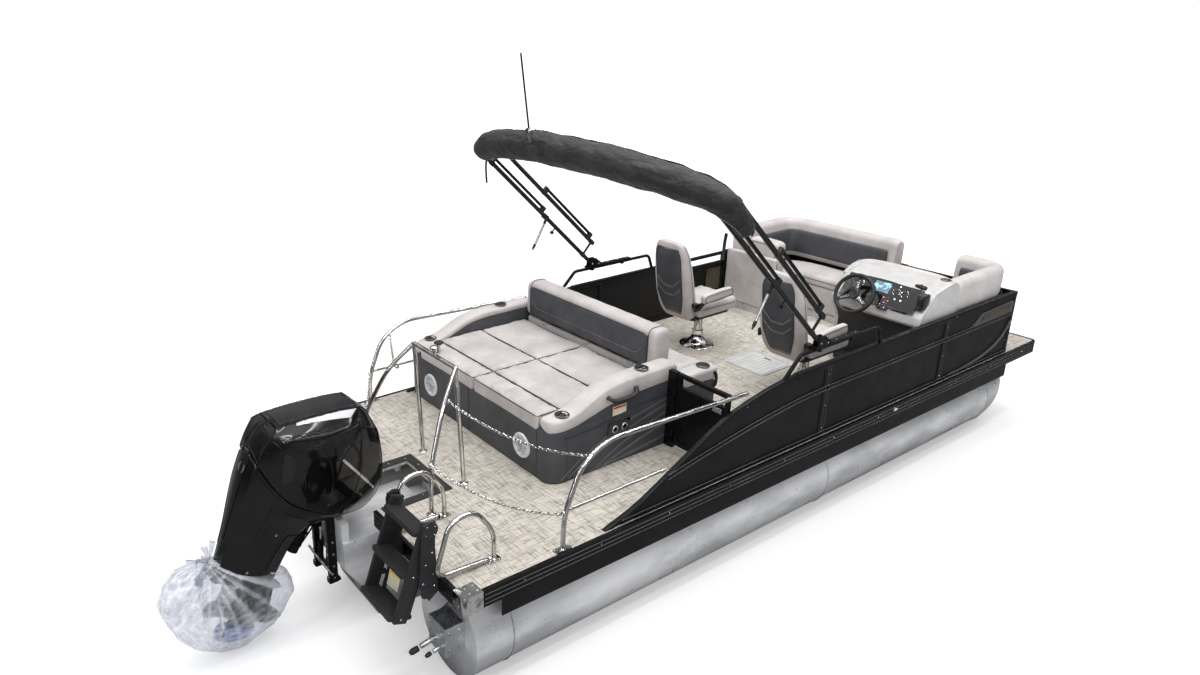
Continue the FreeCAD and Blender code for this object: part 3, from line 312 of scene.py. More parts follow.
LIGHT = vinyl("light_vinyl", (0.55, 0.515, 0.505), (0.40, 0.37, 0.365))
CREAM = vinyl("arm_vinyl", (0.57, 0.54, 0.53), (0.44, 0.415, 0.405))
DARK = vinyl("dark_vinyl", (0.070, 0.073, 0.082), (0.045, 0.047, 0.054))
PANEL = painted("panel_black", (0.0060, 0.0061, 0.0070), 0.34)
RAIL = painted("rail_black", (0.0045, 0.0046, 0.0052), 0.26)
BLACK_METAL = painted("bare_black_metal", (0.006, 0.006, 0.007), 0.3, 0.4)
MATTE = plastic("matte_black", (0.008, 0.008, 0.009), 0.55)
GLOSS = plastic("gloss_black", (0.0035, 0.0035, 0.004), 0.05, 1.0, 8, 0.0003)
ALUMINIUM = pontoon_metal("bare_aluminium")
BRUSHED = bright_metal("brushed_aluminium", (0.72, 0.73, 0.75), 0.3, 9, 300, (0.5, 1, 1))
CHROME = polished()
CONSOLE = plastic("console_white", (0.47, 0.462, 0.455), 0.32, 0.3)
FLOOR_WEAVE = woven_floor()
CANVAS = canvas()
FILM = cloudy_film()
BLUE = plastic("blue_plastic", (0.012, 0.07, 0.34), 0.3, 0.4)
HATCH = plastic("pale_hatch", (0.50, 0.505, 0.50), 0.3, 0.3)
CLEAR = plastic("clear_lens", (0.55, 0.57, 0.60), 0.12, 0.8, 60, 0.003)
THREAD = plastic("thread", (0.30, 0.30, 0.31), 0.6)
PALE_THREAD = plastic("pale_thread", (0.33, 0.31, 0.30), 0.6)
PIPING = vinyl("piping", (0.030, 0.030, 0.032), (0.045, 0.045, 0.048))
STICKER = plastic("sticker", (0.70, 0.66, 0.50), 0.4)
YELLOW = plastic("yellow_sticker", (0.75, 0.55, 0.05), 0.4)
RED = plastic("red_mark", (0.45, 0.015, 0.012), 0.35, 0.4)
RUBBER = plastic("rubber", (0.012, 0.012, 0.012), 0.7)
SMOKED = tinted_window("smoked_window", (0.10, 0.085, 0.06), 0.55)
CLEAR_SHEET = tinted_window("acrylic", (0.6, 0.65, 0.68), 0.72)
SCREEN = screen()


# Mesh tools. A shape is a pair: a list of points and a list of faces.


def merged(*shapes):
    points, faces = [], []
    for p, f in shapes:
        base = len(points)
        points += [Vector(q) for q in p]
        faces += [[i + base for i in face] for face in f]
    return points, faces


def moved(shape, matrix):
    return [matrix @ Vector(p) for p in shape[0]], shape[1]


def shifted(shape, x, y, z):
    return moved(shape, Matrix.Translation((x, y, z)))


def mirrored(shape):
    return [Vector((p[0], -p[1], p[2])) for p in shape[0]], [list(reversed(f)) for f in shape[1]]


def both(shape):
    return merged(shape, mirrored(shape))


def put(name, shape, paint, body="hull", bevel=0.0, segments=2, sharp=35, subdivide=0):
    """Makes a mesh object that rides on a body."""
    mesh = bpy.data.meshes.new(name)
    mesh.from_pydata([tuple(p) for p in shape[0]], [], shape[1])
    mesh.materials.append(paint)
    piece = bpy.data.objects.new(name, mesh)
    bpy.context.scene.collection.objects.link(piece)
    mesh.polygons.foreach_set("use_smooth", [True] * len(mesh.polygons))
    mesh.set_sharp_from_angle(angle=math.radians(sharp))
    if subdivide:
        surface = piece.modifiers.new("surface", "SUBSURF")
        surface.levels = surface.render_levels = subdivide
    if bevel:
        edge = piece.modifiers.new("edge", "BEVEL")
        edge.width = bevel
        edge.segments = segments
        edge.limit_method = "ANGLE"
        edge.angle_limit = math.radians(30)
        edge.harden_normals = True
    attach(piece, body)
    return piece


def loft(rings, closed=True, caps=True):
    size = len(rings[0])
    points = [Vector(p) for ring in rings for p in ring]
    faces = []
    for i in range(len(rings) - 1):
        for j in range(size if closed else size - 1):
            k = (j + 1) % size
            faces.append([i * size + j, i * size + k, (i + 1) * size + k, (i + 1) * size + j])
    if caps and closed:
        faces.append(list(range(size))[::-1])
        faces.append([(len(rings) - 1) * size + j for j in range(size)])
    return points, faces


def prism(outline, axis, a, b):
    """Outline extruded between a and b along an axis. Outline pairs are the other two axes in order."""
    def at(pair, value):
        full = list(pair)
        full.insert("xyz".index(axis), value)
        return full
    area = sum(p[0] * q[1] - q[0] * p[1] for p, q in zip(outline, outline[1:] + outline[:1]))
    if (area > 0) == (axis == "y"):
        outline = outline[::-1]
    return loft([[at(p, a) for p in outline], [at(p, b) for p in outline]])


def block(x0, x1, y0, y1, z0, z1):
    return prism([(x0, y0), (x1, y0), (x1, y1), (x0, y1)], "z", z0, z1)


def circle(radius, sides=16, start=0.0):
    return [(radius * math.cos(start + 2 * math.pi * i / sides),
             radius * math.sin(start + 2 * math.pi * i / sides))
            for i in range(sides)]


def rounded_rect(a0, a1, b0, b1, radius, steps=4):
    pts = []
    corners = ((a1 - radius, b1 - radius, 0), (a0 + radius, b1 - radius, 90),
               (a0 + radius, b0 + radius, 180), (a1 - radius, b0 + radius, 270))
    for a, b, start in corners:
        for step in range(steps + 1):
            angle = math.radians(start + 90 * step / steps)
            pts.append((a + radius * math.cos(angle), b + radius * math.sin(angle)))
    return pts


def sweep(path, section, up=None, closed=False, caps=True, scale=None):
    """A flat section carried along a path. up, if given, stays the section's second axis."""
    path = [Vector(p) for p in path]
    rings = []
    previous = None
    count = len(path)
    for i, p in enumerate(path):
        before = path[i - 1] if i or closed else p
        after = path[(i + 1) % count] if i < count - 1 or closed else p
        tangent = (after - before).normalized()
        if up is not None:
            side = Vector(up).cross(tangent)
            side = side.normalized() if side.length > 1e-5 else previous
        elif previous is None:
            guide = Vector((0, 0, 1)) if abs(tangent.z) < 0.9 else Vector((1, 0, 0))
            side = guide.cross(tangent).normalized()
        else:
            side = (previous - tangent * previous.dot(tangent)).normalized()
        previous = side
        top = tangent.cross(side)
        size = scale[i] if scale else 1.0
        rings.append([p + side * a * size + top * b * size for a, b in section])
    if closed:
        rings.append(rings[0])
        return loft(rings, caps=False)
    return loft(rings, caps=caps)


def bent(points, radius, steps=5):
    """The points' path with its corners rounded."""
    pts = [Vector(p) for p in points]
    out = [pts[0]]
    for before, corner, after in zip(pts, pts[1:], pts[2:]):
        a, b = (before - corner), (after - corner)
        cut = min(radius, a.length * 0.48, b.length * 0.48)
        start, end = corner + a.normalized() * cut, corner + b.normalized() * cut
        for step in range(steps + 1):
            t = step / steps
            out.append(start * (1 - t) ** 2 + corner * 2 * t * (1 - t) + end * t * t)
    out.append(pts[-1])
    return out


def smooth_path(points, steps=6):
    """A curve through all the points."""
    pts = [Vector(p) for p in points]
    out = []
    for i in range(len(pts) - 1):
        p0, p1, p2, p3 = pts[max(i - 1, 0)], pts[i], pts[i + 1], pts[min(i + 2, len(pts) - 1)]
        for step in range(steps):
            t = step / steps
            out.append(0.5 * (2 * p1 + (p2 - p0) * t + (2 * p0 - 5 * p1 + 4 * p2 - p3) * t * t
                              + (3 * p1 - p0 - 3 * p2 + p3) * t * t * t))
    out.append(pts[-1])
    return out


def tube(points, radius, sides=14, bend=0.05, closed=False):
    path = bent(points, bend) if bend and not closed else points
    return sweep(path, circle(radius, sides), closed=closed)


def lathe(profile, centre, axis=(0, 0, 1), sides=28):
    """Rings of (radius, height) round an axis."""
    turn = Vector((0, 0, 1)).rotation_difference(Vector(axis)).to_matrix().to_4x4()
    matrix = Matrix.Translation(centre) @ turn
    rings = [[matrix @ Vector((x, y, h)) for x, y in circle(max(r, 0.0002), sides)] for r, h in profile]
    return loft(rings)


def ball(centre, radius, sides=12):
    profile = [(radius * math.sin(math.pi * i / 8), -radius * math.cos(math.pi * i / 8)) for i in range(9)]
    return lathe(profile, centre, sides=sides)


def screws(spots, axis, radius=0.006):
    """Small domed heads with a dimple."""
    profile = ((radius, 0), (radius, 0.0008), (radius * 0.8, 0.0022), (radius * 0.35, 0.0026),
               (radius * 0.3, 0.0012))
    return merged(*[lathe(profile, spot, axis, 10) for spot in spots])


def stops(low, high, edge, step):
    edge = min(edge, (high - low) * 0.49)
    near = [0, edge * 0.22, edge * 0.55, edge]
    middle = max(2, round((high - low - 2 * edge) / step))
    inner = [low + edge + (high - low - 2 * edge) * i / middle for i in range(1, middle)]
    return [low + n for n in near] + inner + [high - n for n in reversed(near)]


def pillow(low, high, edge=0.03, crown=0.012, pull=0.006, step=0.03, seams=(), wrinkle=0.002, seed=0):
    """A closed cushion: rounded edges, crowned top, sides drawn in between the corners, sewn channels."""
    axes = [stops(low[i], high[i], edge, step) for i in range(3)]
    counts = [len(a) for a in axes]
    index, points, faces = {}, [], []
    inner_low = [low[i] + min(edge, (high[i] - low[i]) * 0.49) for i in range(3)]
    inner_high = [high[i] - min(edge, (high[i] - low[i]) * 0.49) for i in range(3)]

    def place(i, j, k):
        key = (i, j, k)
        if key in index:
            return index[key]
        p = Vector((axes[0][i], axes[1][j], axes[2][k]))
        q = Vector([min(max(p[a], inner_low[a]), inner_high[a]) for a in range(3)])
        d = p - q
        radius = max(abs(d.x), abs(d.y), abs(d.z))
        if d.length > 1e-9:
            p = q + d.normalized() * radius
        u = [2 * (p[a] - low[a]) / (high[a] - low[a]) - 1 for a in range(3)]
        flat = [1 - abs(v) ** 3 for v in u]
        top = max(0.0, u[2])
        p.z += crown * flat[0] * flat[1] * top - crown * 0.4 * top * (1 - flat[0] * flat[1])
        for axis, other in ((0, 1), (1, 0)):
            side = math.copysign(abs(u[axis]) ** 4, u[axis])
            p[axis] -= side * pull * (1 - u[other] ** 2)
        for seam_axis, value, depth, width in seams:
            p.z -= depth * math.exp(-((p[seam_axis] - value) / width) ** 2) * top
        ripple = noise.noise(Vector((p.x * 7 + seed, p.y * 7, p.z * 7)))
        fine = noise.noise(Vector((p.x * 26, p.y * 26 + seed, p.z * 20)))
        p.z += wrinkle * (ripple * 1.6 + fine * 0.7) * top
        index[key] = len(points)
        points.append(p)
        return index[key]

    for axis in range(3):
        a, b = [x for x in range(3) if x != axis]
        for end in (0, counts[axis] - 1):
            for m in range(counts[a] - 1):
                for n in range(counts[b] - 1):
                    corner = []
                    for dm, dn in ((0, 0), (1, 0), (1, 1), (0, 1)):
                        key = [0, 0, 0]
                        key[axis], key[a], key[b] = end, m + dm, n + dn
                        corner.append(place(*key))
                    flip = (end == 0) != (axis == 1)
                    faces.append(corner[::-1] if flip else corner)
    return points, faces


PUFFED = []


def cushion(name, shape, paint, body="hull", subdivide=1, puff=None):
    """A padded piece. puff is (axis, depth, cap): how deep its skin is free, and how far it may swell."""
    piece = put(name, shape, paint, body, sharp=80, subdivide=subdivide)
    if puff:
        PUFFED.append((piece, Vector(puff[0]).normalized(), puff[1], puff[2]))
    return piece


def puff_cushions():
    """Inflates the skins of all listed cushions as cloth in one run and keeps the result in their meshes."""
    points, faces, held, spans = [], [], [], []
    for piece, axis, depth, cap in PUFFED:
        base = len(points)
        skin = [v.co.copy() for v in piece.data.vertices]
        limit = max(p.dot(axis) for p in skin) - depth
        held += [base + i for i, p in enumerate(skin) if p.dot(axis) < limit]
        points += skin
        faces += [[base + i for i in face.vertices] for face in piece.data.polygons]
        spans.append((base, base + len(skin)))
    mesh = bpy.data.meshes.new("skins")
    mesh.from_pydata([tuple(p) for p in points], [], faces)
    skins = bpy.data.objects.new("skins", mesh)
    bpy.context.scene.collection.objects.link(skins)
    group = skins.vertex_groups.new(name="held")
    group.add(held, 1.0, "REPLACE")
    cloth = skins.modifiers.new("cloth", "CLOTH")
    settings = cloth.settings
    settings.quality = 6
    settings.mass = 0.25
    settings.tension_stiffness = settings.compression_stiffness = 18
    settings.shear_stiffness = 6
    settings.bending_stiffness = 0.6
    settings.use_pressure = True
    settings.uniform_pressure_force = 4
    settings.shrink_min = -0.02
    settings.vertex_group_mass = "held"
    settings.effector_weights.gravity = 0
    cloth.collision_settings.use_collision = False
    scene = bpy.context.scene
    for step in range(1, 21):
        scene.frame_set(step)
    shown = skins.evaluated_get(bpy.context.evaluated_depsgraph_get())
    settled = [v.co.copy() for v in shown.data.vertices]
    bpy.data.objects.remove(skins)
    scene.frame_set(1)
    for (piece, axis, depth, cap), (start, end) in zip(PUFFED, spans):
        for vertex, where, rest in zip(piece.data.vertices, settled[start:end], points[start:end]):
            move = where - rest
            if move.length > 1e-6:
                vertex.co = rest + move.normalized() * (cap * math.tanh(move.length / cap))
        piece.data.update()


def cord_line(points):
    """Points of the smooth spline that a free cord follows."""
    curve = bpy.data.curves.new("route", "CURVE")
    curve.dimensions = "3D"
    spline = curve.splines.new("NURBS")
    spline.points.add(len(points) - 1)
    for knot, p in zip(spline.points, points):
        knot.co = (*p, 1)
    spline.order_u = 3
    spline.use_endpoint_u = True
    holder = bpy.data.objects.new("route", curve)
    mesh = bpy.data.meshes.new_from_object(holder)
    line = [v.co.copy() for v in mesh.vertices]
    bpy.data.objects.remove(holder)
    return line


def stitches(path, length=0.008, gap=0.004, radius=0.0011):
    """Short thread dashes along a path."""
    path = [Vector(p) for p in path]
    runs = []
    for a, b in zip(path, path[1:]):
        span = (b - a).length
        count = max(1, int(span / (length + gap)))
        for i in range(count):
            t0, t1 = i / count, (i + 0.7) / count
            runs.append(sweep([a.lerp(b, t0), a.lerp(b, t1)], circle(radius, 4)))
    return merged(*runs)


def finish_cad(name, paint, bevel=0.0):
    """Shows a CAD node with a material and softened edges."""
    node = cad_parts[name]
    node.data.materials.clear()
    node.data.materials.append(paint)
    weld = node.modifiers.new("weld", "WELD")
    weld.merge_threshold = 0.0001
    if bevel:
        edge = node.modifiers.new("edge", "BEVEL")
        edge.width = bevel
        edge.segments = 2
        edge.limit_method = "ANGLE"
        edge.angle_limit = math.radians(40)
        edge.harden_normals = True


# Hull: the CAD metalwork with finishes, welds, screws and painted highlight strips

for node in ("tubes_outer", "tube_centre", "engine_pod"):
    finish_cad(node, ALUMINIUM)
finish_cad("deck_frame", BRUSHED, 0.002)
finish_cad("deck", FLOOR_WEAVE)
finish_cad("deck_edge_rail", RAIL, 0.0025)
finish_cad("side_skirts", PANEL, 0.002)
finish_cad("corner_castings", CHROME, 0.006)
finish_cad("transducer_bracket", BRUSHED, 0.002)
finish_cad("well_frame", MATTE, 0.003)
finish_cad("hatch_tray", HATCH, 0.002)
finish_cad("hatch_lid", HATCH, 0.004)


def weld_ring(x, y):
    ring = [Vector((x, y + 0.319 * math.cos(a), 0.3255 + 0.319 * math.sin(a)))
            for a in [2 * math.pi * i / 72 for i in range(72)]]
    for i, p in enumerate(ring):
        p.x += 0.0012 * math.sin(i * 2.7)
    return sweep(ring, circle(0.0045, 6), closed=True)


put("tube_welds", merged(*[weld_ring(x, y) for x in (0.35, 3.45, 5.95) for y in (-0.95, 0.95)]), BRUSHED)

# Thin grey strips along the deck rail and skirts: painted highlights where their edges catch the light.
highlight_strips = []
for side in (-1, 1):
    for z in (0.758, 0.727, 0.697):
        highlight_strips.append(sweep([(0.12, side * 1.2945, z), (6.63, side * 1.2945, z)], circle(0.0022, 6)))
    highlight_strips.append(sweep([(0.27, side * 1.262, 0.535), (6.18, side * 1.262, 0.535)], circle(0.004, 6)))
put("rail_highlights", merged(*highlight_strips), painted("rail_painted_highlight", (0.11, 0.11, 0.115), 0.3))
spots = [(x, side * 1.2965, 0.741) for side in (-1, 1) for x in [0.4 + 0.6 * i for i in range(11)]]
put("rail_screws", merged(screws([s for s in spots if s[1] < 0], (0, -1, 0), 0.005),
                          screws([s for s in spots if s[1] > 0], (0, 1, 0), 0.005)), CHROME)
casting_spots = []
for side in (-1, 1):
    for x in (0.02, 0.075):
        casting_spots.append(screws([(x, side * 1.302, 0.765), (x, side * 1.302, 0.70)], (0, side, 0), 0.006))
    for y in (1.22, 1.27):
        casting_spots.append(screws([(0.03, side * y, 0.7915), (0.085, side * y, 0.7915)], (0, 0, 1), 0.006))
        casting_spots.append(screws([(-0.0315, side * (y - 0.02), 0.72)], (-1, 0, 0), 0.006))
put("casting_screws", merged(*casting_spots), BRUSHED)

# Chrome light on the deck rail, and the rim, ribs and pull of the floor hatch

oval = [(4.245 + 0.035 * math.cos(a), 0.741 + 0.019 * math.sin(a))
        for a in [2 * math.pi * i / 24 for i in range(24)]]
small = [(4.245 + 0.024 * math.cos(a), 0.741 + 0.011 * math.sin(a))
         for a in [2 * math.pi * i / 24 for i in range(24)]]
for name, outline, reach, paint in (("courtesy_light_ring", oval, 1.300, CHROME),
                                    ("courtesy_light_lens", small, 1.3015, CLEAR)):
    put(name, both(prism(outline, "y", 1.294, reach)), paint, bevel=0.002)

hatch_aft, hatch_starboard = 3.83, -0.28
lid_ribs = []
for i in range(7):
    y = hatch_starboard + 0.06 + 0.045 * i
    lid_ribs.append(tube([(hatch_aft + 0.05, y, DECK + 0.0035), (hatch_aft + 0.34, y, DECK + 0.0035)], 0.003,
                         8))
ring = rounded_rect(hatch_aft - 0.02, hatch_aft + 0.41, hatch_starboard - 0.02, hatch_starboard + 0.41, 0.03)
put("hatch_rim", sweep([(x, y, DECK + 0.004) for x, y in ring], circle(0.009, 8), closed=True), HATCH)
handle = [(hatch_aft + 0.33, hatch_starboard + 0.16, DECK + 0.006),
          (hatch_aft + 0.33, hatch_starboard + 0.23, DECK + 0.006)]
put("hatch_ribs", merged(*lid_ribs), HATCH, "hatch")
put("hatch_pull", tube(handle, 0.006, 10), CHROME, "hatch")

cover_screws = [(x, s * 0.245, DECK + 0.0105) for x in (0.06, 0.2, 0.34, 0.48) for s in (-1, 1)]
put("well_screws", screws(cover_screws + [(0.515, y, DECK + 0.0105) for y in (-0.12, 0, 0.12)], (0, 0, 1)),
    CHROME)

# Transducers and their cable by the starboard tube

pucks = merged(lathe(((0, 0), (0.016, 0), (0.019, 0.01), (0.019, 0.045), (0.012, 0.06), (0, 0.061)),
                     (-0.165, -1.01, 0.325), (-1, 0, -0.15)),
               lathe(((0, 0), (0.012, 0), (0.014, 0.008), (0.014, 0.03), (0.008, 0.04), (0, 0.041)),
                     (-0.12, -1.08, 0.318), (-1, 0, -0.2)))
put("transducers", pucks, MATTE)
cable = cord_line([(-0.050, -1.020, 0.500), (-0.040, -1.032, 0.530), (-0.026, -1.056, 0.572),
                   (-0.018, -1.090, 0.618),
                   (-0.014, -1.110, 0.645), (-0.012, -1.120, 0.665)])
cord = put("transducer_cable", sweep(cable, circle(0.005, 8)), RUBBER)
put("bracket_bolts",
    merged(screws([(-0.0605, y, z) for y in (-1.12, -0.98) for z in (0.46, 0.40)], (-1, 0, 0), 0.009),
           screws([(x, -1.1405, z) for x in (-0.03, 0.04) for z in (0.45, 0.33)], (0, -1, 0),
                  0.008)),
    CHROME)

# Fences: panels, posts, mouldings and a rounded top rail over the CAD skins

for node in ("fence_starboard", "fence_port", "fence_bow"):
    finish_cad(node, PANEL, 0.003)

SWOOP = [(1.06, 0.0), (1.356, 0.092), (1.707, 0.262), (2.073, 0.440), (2.317, 0.517), (2.64, 0.578),
         (2.95, 0.605)]


def swoop_path(y, drop=0.0, front=6.137):
    pts = smooth_path([(x, y, DECK + z - drop) for x, z in SWOOP], 8)
    return pts + [Vector((front, y, DECK + 0.605 - drop))]


RAIL_SECTION = rounded_rect(-0.021, 0.021, -0.020, 0.006, 0.010, 4)
port_rail_front = 4.37
for name, side, front in (("rail_top_starboard", -1, 6.137), ("rail_top_port", 1, port_rail_front)):
    path = swoop_path(side * 1.241, 0.004, front)
    put(name, sweep(path, RAIL_SECTION, up=None), RAIL, sharp=50)
put("rail_top_port_bow", sweep([(5.05, 1.241, DECK + 0.601), (6.137, 1.241, DECK + 0.601)], RAIL_SECTION),
    RAIL, sharp=50)
put("rail_top_bow", merged(sweep([(6.116, -1.22, DECK + 0.601), (6.116, -0.74, DECK + 0.601)], RAIL_SECTION),
                           sweep([(6.116, -0.21, DECK + 0.601), (6.116, 1.22, DECK + 0.601)], RAIL_SECTION)),
    RAIL, sharp=50)

# The moulding that follows the swoop and then runs forward, and the base mouldings
MOULDING = [(1.60, 0.205), (1.9, 0.258), (2.35, 0.326), (2.71, 0.368), (3.0, 0.392), (3.25, 0.40)]
mould, highlight_lines = [], []
for side, stop in ((-1, 6.10), (1, 4.35)):
    y = side * 1.2565
    line = smooth_path([(x, y, DECK + z) for x, z in MOULDING], 6) + [Vector((stop, y, DECK + 0.40))]
    mould.append(sweep(line, rounded_rect(-0.005, 0.005, -0.017, 0.017, 0.003, 2)))
    # Grey lines along the moulding edges: painted highlights.
    for lift in (-0.017, 0.017):
        highlight_lines.append(sweep([p + Vector((0, side * 0.0055, lift)) for p in line], circle(0.0016, 5)))
    rail_low = [Vector((1.20, y, DECK + 0.022)), Vector((stop, y, DECK + 0.022))]
    mould.append(sweep(rail_low, rounded_rect(-0.006, 0.006, -0.018, 0.018, 0.004, 2)))
    highlight_lines.append(sweep([p + Vector((0, side * 0.0065, 0.012)) for p in rail_low], circle(0.0016, 5)))
put("fence_mouldings", merged(*mould), RAIL)
put("fence_highlight_lines", merged(*highlight_lines), painted("painted_highlight_line", (0.13, 0.13, 0.135), 0.25))

posts, post_highlight_lines, post_screws = [], [], []
for side, xs in ((-1, (3.278, 4.945)), (1, (3.278,))):
    for x in xs:
        posts.append(block(x - 0.027, x + 0.027, min(side * 1.255, side * 1.2615),
                           max(side * 1.255, side * 1.2615),
                           DECK + 0.02, DECK + 0.585))
        # Grey lines down each post's grooves: painted highlights.
        for dx in (-0.017, 0.017):
            post_highlight_lines.append(sweep([(x + dx, side * 1.262, DECK + 0.03),
                                       (x + dx, side * 1.262, DECK + 0.58)],
                                      circle(0.0018, 5)))
        post_screws.append(screws([(x, side * 1.2618, DECK + z) for z in (0.06, 0.25, 0.51)], (0, side, 0),
                                  0.005))
post_screws.append(screws([(5.07, -1.263, DECK + 0.583), (6.07, -1.2615, DECK + 0.14),
                           (2.35, -1.258, DECK + 0.50)],
                          (0, -1, 0), 0.007))
put("fence_posts", merged(*posts), RAIL, bevel=0.002)
put("fence_post_highlight_lines", merged(*post_highlight_lines), painted("post_painted_highlight", (0.07, 0.07, 0.075), 0.3))
put("fence_screws", merged(*post_screws), CHROME)

# Bow quarter: the curved sweep and the docking light in its slot
swoosh = smooth_path([(6.125, -1.2595, DECK + 0.345), (5.97, -1.2595, DECK + 0.185),
                      (5.68, -1.2595, DECK + 0.08),
                      (5.32, -1.2595, DECK + 0.035), (5.10, -1.2595, DECK + 0.03)], 8)
put("bow_sweep", sweep(swoosh, rounded_rect(-0.0045, 0.0045, -0.020, 0.020, 0.003, 2)), GLOSS, sharp=60)
slot_outline = [(5.37, 0.415), (5.52, 0.522), (6.07, 0.535), (6.105, 0.50), (6.09, 0.425)]
put("docking_light_slot", prism([(x, DECK + z) for x, z in slot_outline], "y", -1.263, -1.25), GLOSS,
    bevel=0.003)
lens = [(5.52, 0.445), (5.58, 0.498), (6.03, 0.508), (6.045, 0.448)]
put("docking_light_lens", prism([(x, DECK + z) for x, z in lens], "y", -1.2665, -1.262), SMOKED, bevel=0.002)

# Inner faces of the fences: mouldings along their foot and top
inner = []
for side, x0, x1 in ((-1, 1.5, 6.05), (1, 1.5, 4.3), (1, 5.1, 6.05)):
    for z in (0.05, 0.55):
        inner.append(sweep([(x0 if z < 0.1 else max(x0, 2.9), side * 1.2365, DECK + z),
                            (x1, side * 1.2365, DECK + z)],
                           rounded_rect(-0.004, 0.004, -0.012, 0.012, 0.003, 2)))
put("fence_inner_mouldings", merged(*inner), RAIL)

# Gates: frame, tinted sheet in the upper window and latch


def gate_dress(name, body, x0, x1, y0, y1, top, window, paint):
    """A gate in a plane of constant x or y, with its window sheet and a latch."""
    finish_cad(name, RAIL, 0.003)
    along_x = (x1 - x0) > (y1 - y0)
    middle = ((x0 + x1) / 2, (y0 + y1) / 2)
    if along_x:
        sheet = block(x0 + 0.028, x1 - 0.028, middle[1] - 0.002, middle[1] + 0.002, window[0], window[1])
        latch = block(x0 + 0.05, x0 + 0.13, y0 - 0.006, y0, top - 0.16, top - 0.125)
    else:
        sheet = block(middle[0] - 0.002, middle[0] + 0.002, y0 + 0.028, y1 - 0.028, window[0], window[1])
        latch = block(x0 - 0.006, x0, y0 + 0.05, y0 + 0.13, top - 0.16, top - 0.125)
    if paint:
        put(name + "_window", sheet, paint, body)
    put(name + "_latch", latch, BRUSHED, body, bevel=0.003)


gate_dress("gate_port", "gate_port", 4.378, 5.042, 1.228, 1.258, DECK + 0.60, (DECK + 0.2, DECK + 0.46), None)
gate_dress("gate_bow", "gate_bow", 6.103, 6.133, -0.732, -0.218, DECK + 0.60, (DECK + 0.5, DECK + 0.575),
           SMOKED)
gate_dress("gate_aft", "gate_aft", 2.203, 2.233, -1.212, -0.748, DECK + 0.606, (DECK + 0.505, DECK + 0.577),
           None)
put("port_gate_window", block(4.78, 5.0, 1.2335, 1.2355, DECK + 0.19, DECK + 0.44), SMOKED, "gate_port",
    bevel=0.0005)
rim = [(x, 1.2335, z) for x, z in rounded_rect(4.775, 5.005, DECK + 0.185, DECK + 0.445, 0.01)]
put("port_gate_window_rim", sweep(rim, circle(0.004, 6), closed=True), RAIL, "gate_port")
put("bow_gate_plate", block(6.0985, 6.103, -0.66, -0.29, DECK + 0.30, DECK + 0.42), tinted_window(
    "bow_gate_picture", (0.20, 0.17, 0.12), 0.1), "gate_bow", bevel=0.001)
finish_cad("lounge_fittings", RAIL, 0.003)

# Aft lounge

LOUNGE_AFT, BENCH_FRONT = 1.105, 2.76
LOUNGE_STARBOARD, LOUNGE_PORT = -0.66, 1.20


def corner_inset(x, radius=0.11, start=LOUNGE_AFT):
    """How far a vertical rounded corner draws a side in at this x."""
    d = x - start
    if d >= radius:
        return 0.0
    return radius - math.sqrt(max(0.0, radius * radius - (radius - d) ** 2))


base_outline = []
for step in range(9):
    angle = math.radians(180 + 90 * step / 8)
    base_outline.append((LOUNGE_AFT + 0.11 + 0.11 * math.cos(angle),
                         LOUNGE_STARBOARD + 0.11 + 0.11 * math.sin(angle)))
base_outline += [(BENCH_FRONT - 0.03, LOUNGE_STARBOARD), (BENCH_FRONT - 0.03, LOUNGE_PORT),
                 (LOUNGE_AFT + 0.02, LOUNGE_PORT), (LOUNGE_AFT, LOUNGE_PORT - 0.02)]
base = put("lounge_base_skin", prism(base_outline, "z", DECK + 0.002, DECK + 0.386), DARK, bevel=0.006,
           segments=3)
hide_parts("lounge_base")
foot_line = [Vector((x, y, DECK + 0.006)) for x, y in base_outline[:11]]
put("lounge_foot_piping", sweep(foot_line, circle(0.004, 6)), PIPING)

# Vertical joints and the stitched fans on the starboard side
joint_x = [Vector((LOUNGE_AFT - 0.001, y, DECK + z)) for y in (-0.50,) for z in (0.01, 0.37)]
put("lounge_joints", merged(sweep(joint_x, circle(0.0022, 6)),
                            sweep([(LOUNGE_AFT - 0.001, 0.345, DECK + 0.01),
                                   (LOUNGE_AFT - 0.001, 0.345, DECK + 0.37)],
                                  circle(0.0022, 6)),
                            sweep([(1.245, LOUNGE_STARBOARD - 0.001, DECK + 0.01),
                                   (1.245, LOUNGE_STARBOARD - 0.001, DECK + 0.31)],
                                  circle(0.0018, 6))), PIPING)
STITCHED_FAN = (((1.20, 0.03), (1.42, 0.158), (1.825, 0.308), (2.27, 0.392)),
                ((1.268, 0.029), (1.60, 0.186), (2.27, 0.352)),
                ((1.528, 0.036), (1.856, 0.177), (2.27, 0.285)),
                ((1.468, 0.012), (1.90, 0.045), (2.27, 0.09)),
                ((1.60, 0.03), (1.95, 0.13), (2.27, 0.19)))
fan_lines = []
for points in STITCHED_FAN:
    for shift in (0.0, 0.012):
        line = smooth_path([(x, LOUNGE_STARBOARD - 0.0015, DECK + z - shift) for x, z in points], 7)
        fan_lines.append(stitches(line, 0.010, 0.005, 0.0013))
put("lounge_fan_stitching", merged(*fan_lines), THREAD)
for index, points in enumerate(STITCHED_FAN[:3]):
    ridge = smooth_path([(x, LOUNGE_STARBOARD - 0.0005, DECK + z - 0.006) for x, z in points], 7)
    put(f"lounge_fan_ridge_{index}", sweep(ridge, rounded_rect(-0.0022, 0.0022, -0.006, 0.006, 0.002, 2)),
        DARK)

# Arms: dark sides under a light cap whose outer flap comes lower
ARM_TOP = [(1.112, 0.478), (1.22, 0.482), (1.34, 0.505), (1.45, 0.560), (1.56, 0.605), (1.66, 0.630),
           (1.80, 0.640),
           (2.0, 0.640), (2.2, 0.642), (2.29, 0.640)]
ARM_FLAP = [(1.112, 0.352), (1.26, 0.335), (1.51, 0.345), (1.78, 0.392), (2.0, 0.412), (2.29, 0.428)]


